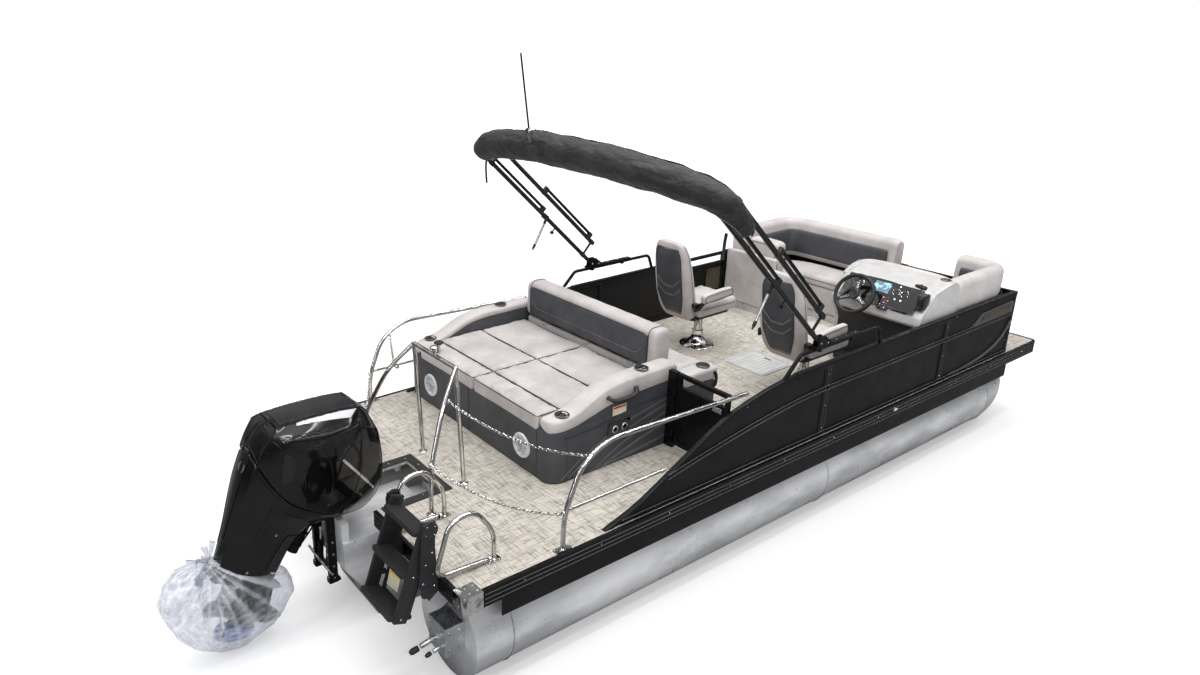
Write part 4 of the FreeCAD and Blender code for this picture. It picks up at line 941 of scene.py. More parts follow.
def along(table, x):
    for (x0, z0), (x1, z1) in zip(table, table[1:]):
        if x <= x1:
            return z0 + (z1 - z0) * max(0.0, (x - x0)) / (x1 - x0)
    return table[-1][1]


def arm_rings(y_in, y_out, low_in, low_out, x0, x1, grow=0.0, edge=0.028):
    """Upright slices of an arm from aft to front, with rounded upper corners."""
    sign = 1 if y_out > y_in else -1
    rings = []
    count = 44
    for i in range(count + 1):
        x = x0 + (x1 - x0) * i / count
        top = sum(along(ARM_TOP, x + d) for d in (-0.05, -0.025, 0, 0.025, 0.05)) / 5 + grow
        end = min(i, count - i)
        top -= (0.012, 0.003, 0)[min(end, 2)]
        outer = y_out - sign * corner_inset(x, 0.10, x0 - 0.004)
        ring = [(y_in, low_in(x)), (y_in, top - edge)]
        for step in range(1, 5):
            a = math.radians(180 - 90 * step / 4)
            ring.append((y_in + sign * edge * (1 + math.cos(a)), top - edge + edge * math.sin(a)))
        ring.append(((y_in + outer) / 2, top + 0.004))
        for step in range(5):
            a = math.radians(90 - 90 * step / 4)
            ring.append((outer - sign * edge * (1 - math.cos(a)), top - edge + edge * math.sin(a)))
        ring.append((outer, low_out(x)))
        rings.append([(x, y, DECK + z) for y, z in ring])
    return rings


for name, y_in, y_out in (("starboard", LOUNGE_STARBOARD + 0.152, LOUNGE_STARBOARD - 0.003),
                          ("port", LOUNGE_PORT - 0.142, LOUNGE_PORT + 0.003)):
    sign = 1 if y_out > y_in else -1
    core = loft(arm_rings(y_in + sign * 0.004, y_out - sign * 0.006, lambda x: 0.386, lambda x: 0.386,
                          1.118, 2.288, -0.012))
    arm = put(f"arm_core_{name}", core, DARK, sharp=60)
    cap = loft(arm_rings(y_in, y_out, lambda x: along(ARM_TOP, x) - 0.062, lambda x: along(ARM_FLAP, x), 1.11,
                         2.292))
    cushion(f"arm_cap_{name}", cap, CREAM, subdivide=1)
    seam = [Vector((x, y_out + sign * 0.001, DECK + along(ARM_FLAP, x) - 0.001))
            for x in [1.215 + 0.05 * i for i in range(22)]]
    put(f"arm_flap_piping_{name}", sweep(seam, circle(0.003, 6)), PIPING)
    edge_seam = [Vector((x, y_out - sign * 0.020, DECK + along(ARM_TOP, x) + 0.0015))
                 for x in [1.30 + 0.045 * i for i in range(22)]]
    put(f"arm_edge_stitch_{name}", stitches(edge_seam), PALE_THREAD)
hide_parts("lounge_arms")

# The bench end of each arm, with the front cup holder
for name, y0, y1 in (("starboard", LOUNGE_STARBOARD - 0.002, LOUNGE_STARBOARD + 0.15),
                     ("port", LOUNGE_PORT - 0.14, LOUNGE_PORT + 0.002)):
    end = pillow((2.296, y0, DECK + 0.388), (2.758, y1, DECK + 0.492), 0.028, 0.004, 0.002, 0.04)
    cushion(f"bench_arm_{name}", end, CREAM)
put("bench_arm_pull",
    sweep(smooth_path([(2.7, LOUNGE_STARBOARD - 0.003, DECK + 0.46),
                       (2.72, LOUNGE_STARBOARD - 0.012, DECK + 0.43),
                       (2.72, LOUNGE_STARBOARD - 0.012, DECK + 0.36),
                       (2.7, LOUNGE_STARBOARD - 0.003, DECK + 0.33)],
                      5),
          rounded_rect(-0.004, 0.004, -0.012, 0.012, 0.003, 2)), MATTE)


def cup_ring(x, y, z):
    z += 0.005
    profile = ((0.050, -0.006), (0.053, 0.0), (0.053, 0.004), (0.046, 0.008), (0.039, 0.007), (0.036, 0.002),
               (0.0, 0.002))
    return merged(lathe(profile, (x, y, z), sides=36),
                  tube([(x - 0.036, y, z + 0.004), (x + 0.036, y, z + 0.004)], 0.0025, 6))


cups = [cup_ring(1.245, LOUNGE_STARBOARD + 0.062, DECK + 0.486),
        cup_ring(1.985, LOUNGE_STARBOARD + 0.066, DECK + 0.644),
        cup_ring(1.245, LOUNGE_PORT - 0.075, DECK + 0.486),
        cup_ring(1.965, LOUNGE_PORT - 0.078, DECK + 0.644),
        cup_ring(2.655, LOUNGE_STARBOARD + 0.07, DECK + 0.495)]
put("cup_holders", merged(*cups), GLOSS, sharp=50)

# Sun pads, with the aft row folded over the front edge
PADS_STARBOARD, PADS_PORT = LOUNGE_STARBOARD + 0.154, LOUNGE_PORT - 0.144
PADS_MIDDLE = (PADS_STARBOARD + PADS_PORT) / 2
for row, (x0, x1, low,
          high) in enumerate(((LOUNGE_AFT - 0.006, 1.290, 0.366, 0.492), (1.297, 1.710, 0.389, 0.494),
                              (1.717, 2.190, 0.389, 0.492))):
    for column, (y0, y1) in enumerate(((PADS_STARBOARD, PADS_MIDDLE - 0.003),
                                       (PADS_MIDDLE + 0.003, PADS_PORT))):
        shape = pillow((x0, y0, DECK + low), (x1, y1, DECK + high), 0.024, 0.006, 0.004, 0.018,
                       wrinkle=0.0034, seed=row * 3 + column)
        pad = cushion(f"sun_pad_{row}_{column}", shape, LIGHT, puff=((0, 0, 1), 0.024, 0.009))
        line = rounded_rect(x0 + 0.005, x1 - 0.005, y0 + 0.005, y1 - 0.005, 0.02)
        put(f"sun_pad_piping_{row}_{column}",
            sweep([(x, y, DECK + high - 0.017) for x, y in line], circle(0.0040, 6), closed=True), PIPING)
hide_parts("lounge_pads")
bench = pillow((2.385, PADS_STARBOARD, DECK + 0.389), (2.765, PADS_PORT, DECK + 0.482), 0.03, 0.008, 0.004,
               0.018,
               wrinkle=0.003)
cushion("bench_pad", bench, LIGHT, puff=((0, 0, 1), 0.035, 0.009))

# Backrest bolster: a light shell round a dark aft panel with piping and stitching
BOLSTER_X, BOLSTER_Z = 2.285, DECK + 0.685


def bolster_ring(y, size):
    ring = rounded_rect(-0.088, 0.088, -0.163, 0.163, 0.055, 5)
    return [(BOLSTER_X + a * size + (0.006 if b > 0 else 0), y, BOLSTER_Z + b * size) for a, b in ring]


ends = [(0.0, 0.80), (0.008, 0.90), (0.022, 0.965), (0.045, 0.995), (0.075, 1.0)]
BOLSTER_STARBOARD, BOLSTER_PORT = PADS_STARBOARD + 0.002, PADS_PORT - 0.002
rings = [bolster_ring(BOLSTER_STARBOARD + d, s) for d, s in ends]
rings += [bolster_ring(BOLSTER_STARBOARD + 0.075 + (BOLSTER_PORT - BOLSTER_STARBOARD - 0.15) * i / 30,
                       1.0 + 0.006 * math.sin(i * 1.3))
          for i in range(1, 30)]
rings += [bolster_ring(BOLSTER_PORT - d, s) for d, s in reversed(ends)]
bolster = cushion("backrest_bolster", loft(rings), LIGHT)
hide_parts("lounge_backrest")
panel = pillow((-0.71, -0.128, 0.0), (0.71, 0.118, 0.030), 0.014, 0.006, 0.0, 0.020, wrinkle=0.0015)
face = Matrix.Translation((BOLSTER_X - 0.078, (BOLSTER_STARBOARD + BOLSTER_PORT) / 2, BOLSTER_Z)) @ Matrix(
    ((0, 0, -1, 0), (1, 0, 0, 0), (0, 1, 0, 0), (0, 0, 0, 1)))
cushion("backrest_panel", moved(panel, face), DARK, puff=((-1, 0, 0), 0.016, 0.005))
rim = [face @ Vector((a, b, 0.014)) for a, b in rounded_rect(-0.712, 0.712, -0.130, 0.120, 0.05, 6)]
put("backrest_panel_piping", sweep(rim, circle(0.0045, 8), closed=True), PIPING)
stitch = [face @ Vector((a, b, 0.0385)) for a,
          b in ((-0.68, 0.02), (-0.63, -0.045), (0.60, -0.045), (0.66, 0.02))]
put("backrest_stitching", stitches(bent(stitch, 0.06, 6)), PALE_THREAD)
end_seams = []
for y in (BOLSTER_STARBOARD + 0.068, BOLSTER_PORT - 0.068):
    ring = rounded_rect(-0.0895, 0.0895, -0.1645, 0.1645, 0.056, 5)
    end_seams.append(sweep([(BOLSTER_X + a + (0.006 if b > 0 else 0), y, BOLSTER_Z + b) for a, b in ring],
                           circle(0.0028, 6), closed=True))
put("backrest_end_seams", merged(*end_seams), PIPING)
hinge_plates = [block(2.205, 2.32, y - 0.03, y + 0.03, DECK + 0.497, DECK + 0.527)
                for y in (-0.25, 0.27, 0.80)]
put("backrest_hinges", merged(*hinge_plates), BRUSHED, bevel=0.003)
foot_fill = pillow((2.212, BOLSTER_STARBOARD + 0.01, DECK + 0.392),
                   (2.352, BOLSTER_PORT - 0.01, DECK + 0.519), 0.016, 0.0, 0.0,
                   0.03, wrinkle=0.001)
cushion("backrest_foot", foot_fill, CREAM)

# Speakers, handle, sockets, sticker and the pole socket


def speaker(y, z):
    rings_of = lathe(((0.0, 0.006), (0.02, 0.012), (0.024, 0.006), (0.055, -0.004), (0.066, 0.004),
                      (0.070, 0.012),
                      (0.088, 0.014), (0.094, 0.008), (0.095, 0.0), (0.0, 0.0)), (LOUNGE_AFT - 0.001, y, z),
                     (-1, 0, 0), 40)
    spokes = []
    for i in range(6):
        a = math.pi * i / 3
        out = Vector((LOUNGE_AFT - 0.011, y + 0.075 * math.cos(a), z + 0.075 * math.sin(a)))
        spokes.append(sweep([(LOUNGE_AFT - 0.013, y, z), out], circle(0.0035, 6)))
    return rings_of, merged(*spokes)


for name, y in (("starboard", -0.335), ("port", 0.895)):
    cone, spokes = speaker(y, DECK + 0.185)
    put(f"speaker_{name}", cone, CLEAR, sharp=50)
    put(f"speaker_grille_{name}", spokes, BRUSHED)
pull = smooth_path([(1.60, LOUNGE_STARBOARD - 0.004, DECK + 0.548),
                    (1.612, LOUNGE_STARBOARD - 0.030, DECK + 0.535),
                    (1.66, LOUNGE_STARBOARD - 0.042, DECK + 0.520),
                    (1.80, LOUNGE_STARBOARD - 0.042, DECK + 0.520),
                    (1.852, LOUNGE_STARBOARD - 0.030, DECK + 0.535),
                    (1.866, LOUNGE_STARBOARD - 0.004, DECK + 0.560)], 6)
put("arm_pull", sweep(pull, [(a * 1.0, b * 0.62) for a, b in circle(0.019, 12)]), MATTE, sharp=70)
put("arm_sticker", block(1.655, 1.785, LOUNGE_STARBOARD - 0.0045, LOUNGE_STARBOARD - 0.003, DECK + 0.385,
                         DECK + 0.455), STICKER,
    bevel=0.0005)
put("arm_sticker_band",
    block(1.66, 1.78, LOUNGE_STARBOARD - 0.0052, LOUNGE_STARBOARD - 0.0045, DECK + 0.436, DECK + 0.450), RED)
put("socket_plate", block(1.615, 1.825, LOUNGE_STARBOARD - 0.014, LOUNGE_STARBOARD, DECK + 0.215,
                          DECK + 0.345), GLOSS, bevel=0.006)
sockets = [lathe(((0.028, 0.0), (0.030, 0.004), (0.026, 0.008), (0.018, 0.006), (0.016, -0.004), (0, -0.004)),
                 (x, LOUNGE_STARBOARD - 0.014, DECK + 0.283), (0, -1, 0), 24) for x in (1.675, 1.765)]
put("socket_rings", merged(*sockets), BRUSHED, sharp=50)
put("pole_socket", merged(lathe(((0.014, 0), (0.014, 0.07), (0.017, 0.07), (0.017, 0.078), (0, 0.078)),
                                (1.135, 0.815, DECK + 0.492))), CHROME, sharp=50)
put("pole_socket_cap", lathe(((0.034, 0), (0.038, 0.004), (0.038, 0.012), (0.034, 0.017), (0, 0.018)),
                             (1.135, 0.815, DECK + 0.570)), MATTE, sharp=50)

# Captain's chairs: a tall shell with a dark stitched panel, wide seat, padded arms, chrome pedestal

CHAIR_X = 3.93
CHAIR_BACK = [(0.345, -0.325, -0.205, 0.150), (0.385, -0.352, -0.225, 0.176), (0.46, -0.385, -0.245, 0.196),
              (0.60, -0.425, -0.275, 0.204), (0.76, -0.452, -0.312, 0.203), (0.90, -0.472, -0.345, 0.197),
              (1.00, -0.487, -0.372, 0.184), (1.06, -0.496, -0.396, 0.164), (1.092, -0.494, -0.412, 0.138),
              (1.107, -0.484, -0.430, 0.095)]


def back_at(z):
    """Aft face, front face and half width of the chair back at a height over the floor."""
    z = min(max(z, CHAIR_BACK[0][0]), CHAIR_BACK[-1][0])
    for low, high in zip(CHAIR_BACK, CHAIR_BACK[1:]):
        if z <= high[0]:
            t = (z - low[0]) / (high[0] - low[0])
            return [a + (b - a) * t for a, b in zip(low[1:], high[1:])]
    return CHAIR_BACK[-1][1:]


def back_ring(z, steps=6):
    aft, front, half = back_at(z)
    radius = min(0.052, (front - aft) * 0.46, half * 0.6)
    ring = rounded_rect(aft, front, -half, half, radius, steps)
    middle = (aft + front) / 2
    out = []
    for x, y in ring:
        hollow = 0.012 * (1 - (y / half) ** 2) if x > middle else -0.006 * (1 - (y / half) ** 2)
        out.append((x - hollow, y, z))
    return out


def back_patch(outline_half, z0, z1, lift, crown, rows=26, columns=12):
    """A closed pad lying on the aft face of the chair back."""
    outer, inner = [], []
    for i in range(rows + 1):
        z = z0 + (z1 - z0) * i / rows
        half = outline_half(i / rows)
        aft, front, width = back_at(z)
        for j in range(columns + 1):
            u = -1 + 2 * j / columns
            edge = min(1.0, (1 - abs(u)) * 5, i / rows * 9, (1 - i / rows) * 9)
            rise = lift * math.sqrt(max(0.0, edge)) + crown * edge * (1 - u * u)
            face = aft + 0.006 * (1 - (u * half / width) ** 2)
            outer.append((face - rise, u * half, z))
            inner.append((face + 0.012, u * half, z))
    size = columns + 1
    faces = []
    for i in range(rows):
        for j in range(columns):
            a = i * size + j
            faces.append([a, a + 1, a + size + 1, a + size][::-1])
            b = a + len(outer)
            faces.append([b, b + 1, b + size + 1, b + size])
    border = [j for j in range(size)] + [i * size + columns for i in range(1, rows + 1)]
    border += [rows * size + j for j in range(columns - 1, -1, -1)] + [i * size
                                                                       for i in range(rows - 1, 0, -1)]
    for k, a in enumerate(border):
        b = border[(k + 1) % len(border)]
        faces.append([a, b, b + len(outer), a + len(outer)][::-1])
    rim = [Vector(outer[a]) + Vector((-0.002, 0, 0)) for a in border]
    return (outer + inner, faces), rim


def panel_half(t):
    """Half width of the dark panel from its foot to its top."""
    return 0.088 + 0.062 * min(1.0, t / 0.30) ** 0.7 - 0.028 * max(0.0, (t - 0.86) / 0.14) ** 1.6


def on_panel(y, z):
    return Vector((back_at(z)[0] - 0.0165 + 0.004 * (y / 0.15) ** 2, y, z))


def chair(name, y, body):
    place = Matrix.Translation((CHAIR_X, y, DECK))
    heights = [0.345, 0.350, 0.362, 0.385, 0.42, 0.46]
    heights += [0.46 + 0.05 * i for i in range(1, 11)] + [1.0, 1.03, 1.06, 1.078, 1.092, 1.101, 1.107]
    shell = loft([back_ring(z) for z in heights])
    back = cushion(f"chair_back_{name}", moved(shell, place), LIGHT, body)
    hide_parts(f"chair_shell_{name}")
    patch, rim = back_patch(panel_half, 0.405, 1.045, 0.012, 0.004)
    cushion(f"chair_panel_{name}", moved(patch, place), DARK, body, subdivide=0)
    put(f"chair_panel_piping_{name}", moved(sweep(rim, circle(0.0035, 6), closed=True), place), PIPING, body)
    seams = []
    for low in (0.60, 0.685):
        for gap in (0.0, 0.010):
            line = [(-0.135, low + 0.075 - gap), (-0.055, low - gap), (0.055, low - gap),
                    (0.135, low + 0.075 - gap)]
            seams.append(stitches(bent([on_panel(a, b) for a, b in line], 0.02, 4), 0.007, 0.003, 0.0012))
    put(f"chair_chevrons_{name}", moved(merged(*seams), place), PALE_THREAD, body)
    side_seams = []
    for side in (-1, 1):
        line = []
        for z in heights[3:-3]:
            aft, front, half = back_at(z)
            line.append(Vector((aft * 0.42 + front * 0.58, side * (half + 0.0005), z)))
        side_seams.append(sweep(line, circle(0.0022, 6)))
    put(f"chair_side_seams_{name}", moved(merged(*side_seams), place), PIPING, body)

    front_pad = pillow((-0.335, -0.150, 0.50), (-0.232, 0.150, 0.99), 0.030, 0.006, 0.002, 0.022,
                       wrinkle=0.002, seed=4)
    lean = Matrix.Translation((-0.262, 0, 0.52)) @ Matrix.Rotation(math.radians(-14.5), 4, "Y")
    lean = lean @ Matrix.Translation((0.262, 0, -0.52))
    cushion(f"chair_back_pad_{name}", moved(front_pad, place @ lean), LIGHT, body)
    seat = pillow((-0.256, -0.228, 0.3705), (0.268, 0.228, 0.500), 0.042, 0.009, 0.005, 0.020,
                  seams=((1, -0.150, 0.006, 0.012), (1, 0.150, 0.006, 0.012), (0, 0.165, 0.006, 0.012)),
                  wrinkle=0.003, seed=8)
    pad = cushion(f"chair_seat_{name}", moved(seat, place), LIGHT, body,
                  puff=((0, 0, 1), 0.050, 0.008))
    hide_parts(f"chair_pads_{name}")
    lines = []
    for side in (-1, 1):
        lines.append(sweep([(-0.2, side * 0.150, 0.5025), (0.1, side * 0.150, 0.5065),
                            (0.165, side * 0.150, 0.5035),
                            (0.232, side * 0.150, 0.494)], circle(0.0018, 5)))
        lines.append(sweep([(x, side * 0.2285, 0.452) for x in (-0.21, 0.0, 0.225)], circle(0.0025, 6)))
    lines.append(sweep([(0.2685, -0.19, 0.452), (0.2695, 0.0, 0.452), (0.2685, 0.19, 0.452)],
                       circle(0.0025, 6)))
    put(f"chair_seat_seams_{name}", moved(merged(*lines), place), PIPING, body)

    for side_name, side in (("starboard", -1), ("port", 1)):
        low, high = sorted((side * 0.225, side * 0.289))
        arm = pillow((-0.272, low, 0.530), (0.117, high, 0.616), 0.026, 0.008, 0.002, 0.03, wrinkle=0.0015,
                     seed=side)
        tip = Matrix.Translation((-0.27, 0, 0.57)) @ Matrix.Rotation(math.radians(-3), 4, "Y")
        cushion(f"chair_arm_{side_name}_{name}",
                moved(arm, place @ tip @ Matrix.Translation((0.27, 0, -0.57))), CREAM, body)
        outer = side * 0.2895
        outline = rounded_rect(-0.262, 0.107, 0.540, 0.607, 0.028, 5)
        rim = sweep([tip @ Vector((a + 0.27, outer, b - 0.57)) for a, b in outline], circle(0.003, 6),
                    closed=True)
        put(f"chair_arm_piping_{side_name}_{name}", moved(rim, place), PIPING, body)
        inside = sorted((side * 0.232, side * 0.2495))
        bracket = prism([(-0.345, 0.47), (-0.285, 0.47), (-0.225, 0.515), (0.03, 0.525), (0.03, 0.535),
                         (-0.35, 0.535)],
                        "y", inside[0], inside[1])
        reach = sorted((side * 0.190, side * 0.2495))
        arm_frame = merged(bracket, block(-0.345, -0.290, reach[0], reach[1], 0.500, 0.536),
                           screws([(-0.31, side * 0.2500, 0.513), (-0.20, side * 0.2500, 0.527)],
                                  (0, side, 0), 0.008))
        put(f"chair_arm_frame_{side_name}_{name}", moved(arm_frame, place), MATTE, body, bevel=0.003)

    under = prism(rounded_rect(-0.300, 0.225, -0.185, 0.185, 0.05), "z", 0.342, 0.3695)
    slider = merged(block(-0.2, 0.14, -0.15, -0.115, 0.325, 0.342),
                    block(-0.2, 0.14, 0.115, 0.15, 0.325, 0.342),
                    tube([(-0.02, 0.11, 0.336), (0.10, 0.19, 0.336), (0.17, 0.215, 0.330)], 0.006, 10, 0.03),
                    lathe(((0.008, 0), (0.012, 0.01), (0.012, 0.05), (0.007, 0.06)), (0.16, 0.212, 0.331),
                          (1, 0.2, 0)))
    put(f"chair_tray_{name}", moved(under, place), MATTE, body, bevel=0.006)
    put(f"chair_slide_{name}", moved(slider, place), BRUSHED, body, bevel=0.002)
    swivel_ring = lathe(((0.088, 0.3205), (0.090, 0.324), (0.090, 0.338), (0.075, 0.343)), (CHAIR_X, y, DECK))
    put(f"chair_swivel_{name}", swivel_ring, BRUSHED, body, sharp=50)


pedestal_profile = ((0.166, 0.0), (0.166, 0.006), (0.160, 0.0125), (0.135, 0.019), (0.112, 0.026),
                    (0.108, 0.034),
                    (0.085, 0.047), (0.064, 0.070), (0.056, 0.096), (0.052, 0.130), (0.052, 0.150),
                    (0.041, 0.156),
                    (0.040, 0.250), (0.044, 0.256), (0.044, 0.290), (0.060, 0.300), (0.078, 0.312),
                    (0.080, 0.3195))
pedestal_pieces = []
for y in (0.57, -0.62):
    bolts = [(CHAIR_X + 0.138 * math.cos(a), y + 0.138 * math.sin(a), DECK + 0.0175)
             for a in [math.pi * (2 * i + 1) / 6 for i in range(6)]]
    pedestal_pieces.append(merged(lathe(pedestal_profile, (CHAIR_X, y, DECK), sides=48),
                                  screws(bolts, (0, 0, 1), 0.009)))
    lever = tube([(CHAIR_X - 0.04, y, DECK + 0.272), (CHAIR_X - 0.10, y + 0.02, DECK + 0.268),
                  (CHAIR_X - 0.14, y + 0.025, DECK + 0.262)], 0.006, 8, 0.02)
    pedestal_pieces.append(lever)
pedestal = put("chair_pedestal_chrome", merged(*pedestal_pieces), CHROME, sharp=38)
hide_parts("chair_pedestals")
chair("port", 0.57, "port_chair")
chair("helm", -0.62, "helm_chair")

# Bow couches: bases, seats and the long bolstered backs

INNER = 1.262 - 0.042 - 0.003
BOW_INNER = 6.137 - 0.042 - 0.003


def couch_line(side, aft_x, end_y, off, radius, steps=9):
    """A path that runs forward beside the fence, turns with a rounded corner and runs across the bow."""
    corner = Vector((BOW_INNER - off, side * (INNER - off), 0))
    start = Vector((aft_x, side * (INNER - off), 0))
    end = Vector((BOW_INNER - off, end_y, 0))
    path = bent([start, corner, end], radius, steps)
    dense = [path[0]]
    for a, b in zip(path, path[1:]):
        count = max(1, round((b - a).length / 0.075))
        dense += [a.lerp(b, i / count) for i in range(1, count + 1)]
    return dense


def couch_section(rings_path, section, side, z0=0.0, end_round=0.05):
    """Section pairs (out, up), with out measured toward the fence, carried along a couch line."""
    rings = []
    lengths = [0.0]
    for a, b in zip(rings_path, rings_path[1:]):
        lengths.append(lengths[-1] + (b - a).length)
    total = lengths[-1]
    middle = (min(b for a, b in section) + max(b for a, b in section)) / 2
    for i, p in enumerate(rings_path):
        before = rings_path[max(i - 1, 0)]
        after = rings_path[min(i + 1, len(rings_path) - 1)]
        tangent = (after - before).normalized()
        outward = Vector((-tangent.y, tangent.x, 0)) * side
        near = min(lengths[i], total - lengths[i])
        size = 1.0
        if near < end_round:
            size = 0.86 + 0.14 * math.sqrt(max(0.0, 1 - (1 - near / end_round) ** 2))
        ring = []
        for out, up in section:
            ring.append(p + outward * (out * size)
                        + Vector((0, 0, DECK + z0 + middle + (up - middle) * size)))
        rings.append(ring if side > 0 else ring[::-1])
    return loft(rings)


def end_dense(path, reach=0.05):
    """The path with three extra points close to each end, so that the ends can be rounded."""
    first, last = path[0], path[-1]
    a = (path[1] - first).normalized()
    b = (path[-2] - last).normalized()
    return ([first] + [first + a * reach * t for t in (0.1, 0.3, 0.62, 1.0)] + path[1:-1]
            + [last + b * reach * t for t in (1.0, 0.62, 0.3, 0.1)] + [last])


def back_profile(low, high, inner, outer, radius=0.07):
    """Couch back in section: upright outside, rounded top that bulges, sloping inner face."""
    pts = [(outer, low)]
    for step in range(7):
        a = math.radians(90 * step / 6)
        pts.append((outer - radius + radius * math.cos(a), high - radius + radius * math.sin(a)))
    for step in range(7):
        a = math.radians(90 + 90 * step / 6)
        pts.append((inner + 0.045 + radius + radius * math.cos(a), high - radius + radius * math.sin(a)))
    pts += [(inner + 0.030, (low + high) / 2 + 0.03), (inner + 0.012, low + 0.10), (inner, low)]
    return pts


couch_parts = (("port", 1, 5.062, -0.17, 0.60, 0.875, 5.125),
               ("starboard", -1, 5.14, -0.76, 0.54, 0.870, 5.145))
back_objects, seat_objects, base_objects = [], [], []
for name, side, aft_x, end_y, depth, top, back_x in couch_parts:
    middle_line = couch_line(side, back_x + 0.004, end_y, 0.10, 0.20)
    profile = [(a - 0.10, b) for a, b in back_profile(0.4515, top, 0.0, 0.198)]
    shape = couch_section(end_dense(middle_line), profile, side, end_round=0.06)
    back_objects.append(cushion(f"couch_back_{name}", shape, CREAM))
    low_lip = sweep([p + Vector((0, 0, DECK + 0.602))
                     for p in couch_line(side, back_x + 0.05, end_y, 0.004, 0.26)],
                    circle(0.0045, 6))
    put(f"couch_back_welt_{name}", low_lip, PIPING)
    inset_start = back_x + (0.13 if side < 0 else 0.20)
    inset_end = end_y + (0.07 if end_y > -0.5 else -0.07)
    inset_line = couch_line(side, inset_start, inset_end, 0.158, 0.16)
    inset_profile = [(-0.012, 0.52), (0.004, 0.515), (0.020, 0.52), (0.036, 0.63), (0.052, 0.76),
                     (0.040, 0.775),
                     (0.022, 0.772), (0.006, 0.70), (-0.006, 0.60)]
    lean_in = ((0.515, 0.020), (0.63, 0.052), (0.775, 0.060))
    inset_profile = [(a - 0.013 - along(lean_in, b), b) for a, b in inset_profile]
    inset = couch_section(end_dense(inset_line, 0.02), inset_profile, side, end_round=0.02)
    cushion(f"couch_inset_{name}", inset, DARK)
    for level, shift in ((0.516, -0.040), (0.780, -0.024)):
        line = []
        for i, p in enumerate(inset_line):
            tangent = (inset_line[min(i + 1, len(inset_line) - 1)] - inset_line[max(i - 1, 0)]).normalized()
            line.append(p + Vector((-tangent.y, tangent.x, 0)) * side * shift + Vector((0, 0, DECK + level)))
        put(f"couch_inset_piping_{name}_{int(level * 1000)}", sweep(line, circle(0.0035, 6)), LIGHT)
    base_line = couch_line(side, aft_x + 0.062 if side > 0 else aft_x, end_y, depth / 2, 0.12)
    half = depth / 2
    base_profile = [(half - 0.004, 0.001), (half - 0.004, 0.339), (-half + 0.012, 0.339), (-half, 0.325),
                    (-half, 0.085), (-half + 0.012, 0.075), (-half + 0.012, 0.001)]
    base_objects.append(put(f"couch_base_{name}",
                            couch_section(base_line, base_profile, side, end_round=0.0001),
                            LIGHT, bevel=0.004))
    kick = couch_section(base_line, [(-half + 0.013, 0.001), (-half + 0.013, 0.072), (-half - 0.003, 0.068),
                                     (-half - 0.006, 0.006), (-half - 0.006, 0.001)], side, end_round=0.0001)
    put(f"couch_kick_{name}", kick, BRUSHED)
    inner_half = (depth + 0.010 - 0.203) / 2
    seat_off = 0.203 + inner_half
    seat_line = couch_line(side, aft_x + (0.064 if side > 0 else 0.004), end_y, seat_off, 0.10)
    seat_profile = []
    for a, b in rounded_rect(-inner_half, inner_half, 0.3415, 0.449, 0.030, 4):
        crown = 0.010 * (1 - (a / inner_half) ** 4) if b > 0.40 else 0
        seat_profile.append((a, b + crown))
    seat_shape = couch_section(end_dense(seat_line), seat_profile, side)
    seat_objects.append(cushion(f"couch_seat_{name}", seat_shape, LIGHT,
                                puff=((0, 0, 1), 0.030, 0.008)))
    front_seam = []
    for i, p in enumerate(seat_line[1:-1], start=1):
        tangent = (seat_line[i + 1] - seat_line[i - 1]).normalized()
        front_seam.append(p + Vector((-tangent.y, tangent.x, 0)) * side * -(inner_half + 0.0005)
                          + Vector((0, 0, DECK + 0.405)))
    put(f"couch_seat_piping_{name}", sweep(front_seam, circle(0.003, 6)), PIPING)
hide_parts("couch_backs")
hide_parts("couch_seats")
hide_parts("couch_bases")

# The port couch ends in a tall padded panel with a small back cushion above
end_panel = pillow((5.058, 0.590, DECK + 0.075), (5.118, 1.215, DECK + 0.642), 0.022, 0.0, 0.0, 0.05,
                   wrinkle=0.001)
cushion("couch_end_panel", end_panel, LIGHT)
put("couch_end_kick", block(5.066, 5.116, 0.60, 1.212, DECK + 0.001, DECK + 0.076), BRUSHED, bevel=0.003)
end_lines = []
for points in (((1.19, 0.60), (0.98, 0.37), (0.62, 0.30)), ((1.19, 0.585), (0.985, 0.357), (0.62, 0.287))):
    end_lines.append(stitches(bent([(5.0565, y, DECK + z) for y, z in points], 0.1, 8), 0.010, 0.005, 0.0013))
put("couch_end_stitching", merged(*end_lines), THREAD)
put("couch_end_piping",
    sweep([(5.088, y, DECK + z) for y, z in ((0.588, 0.10), (0.588, 0.60))], circle(0.0035, 6)), PIPING)
end_pad = pillow((5.126, 0.625, DECK + 0.4515), (5.285, 1.005, DECK + 0.797), 0.050, 0.010, 0.004, 0.035,
                 wrinkle=0.002, seed=2)
cushion("couch_end_cushion", end_pad, CREAM)
put("couch_end_cushion_piping",
    sweep([(5.1255, y, DECK + z) for y, z in rounded_rect(0.655, 0.975, 0.49, 0.765, 0.04)],
          circle(0.003, 6), closed=True), PIPING)

# Helm console: moulded body, padded brow, glossy dash and its instruments

CONSOLE_STARBOARD, CONSOLE_PORT = -1.214, -0.381
console_profile = [(4.655, 0.002), (5.128, 0.002), (5.128, 0.80), (5.120, 0.845), (5.095, 0.872),
                   (5.055, 0.886),
                   (5.010, 0.888), (4.960, 0.880), (4.748, 0.838), (4.570, 0.655), (4.562, 0.640),
                   (4.562, 0.585),
                   (4.575, 0.565), (4.640, 0.50), (4.655, 0.44)]


def console_slice(y, size):
    middle = (4.86, 0.44)
    return [(middle[0] + (x - middle[0]) * size, y, DECK + max(0.002, middle[1] + (z - middle[1]) * size))
            for x, z in console_profile]


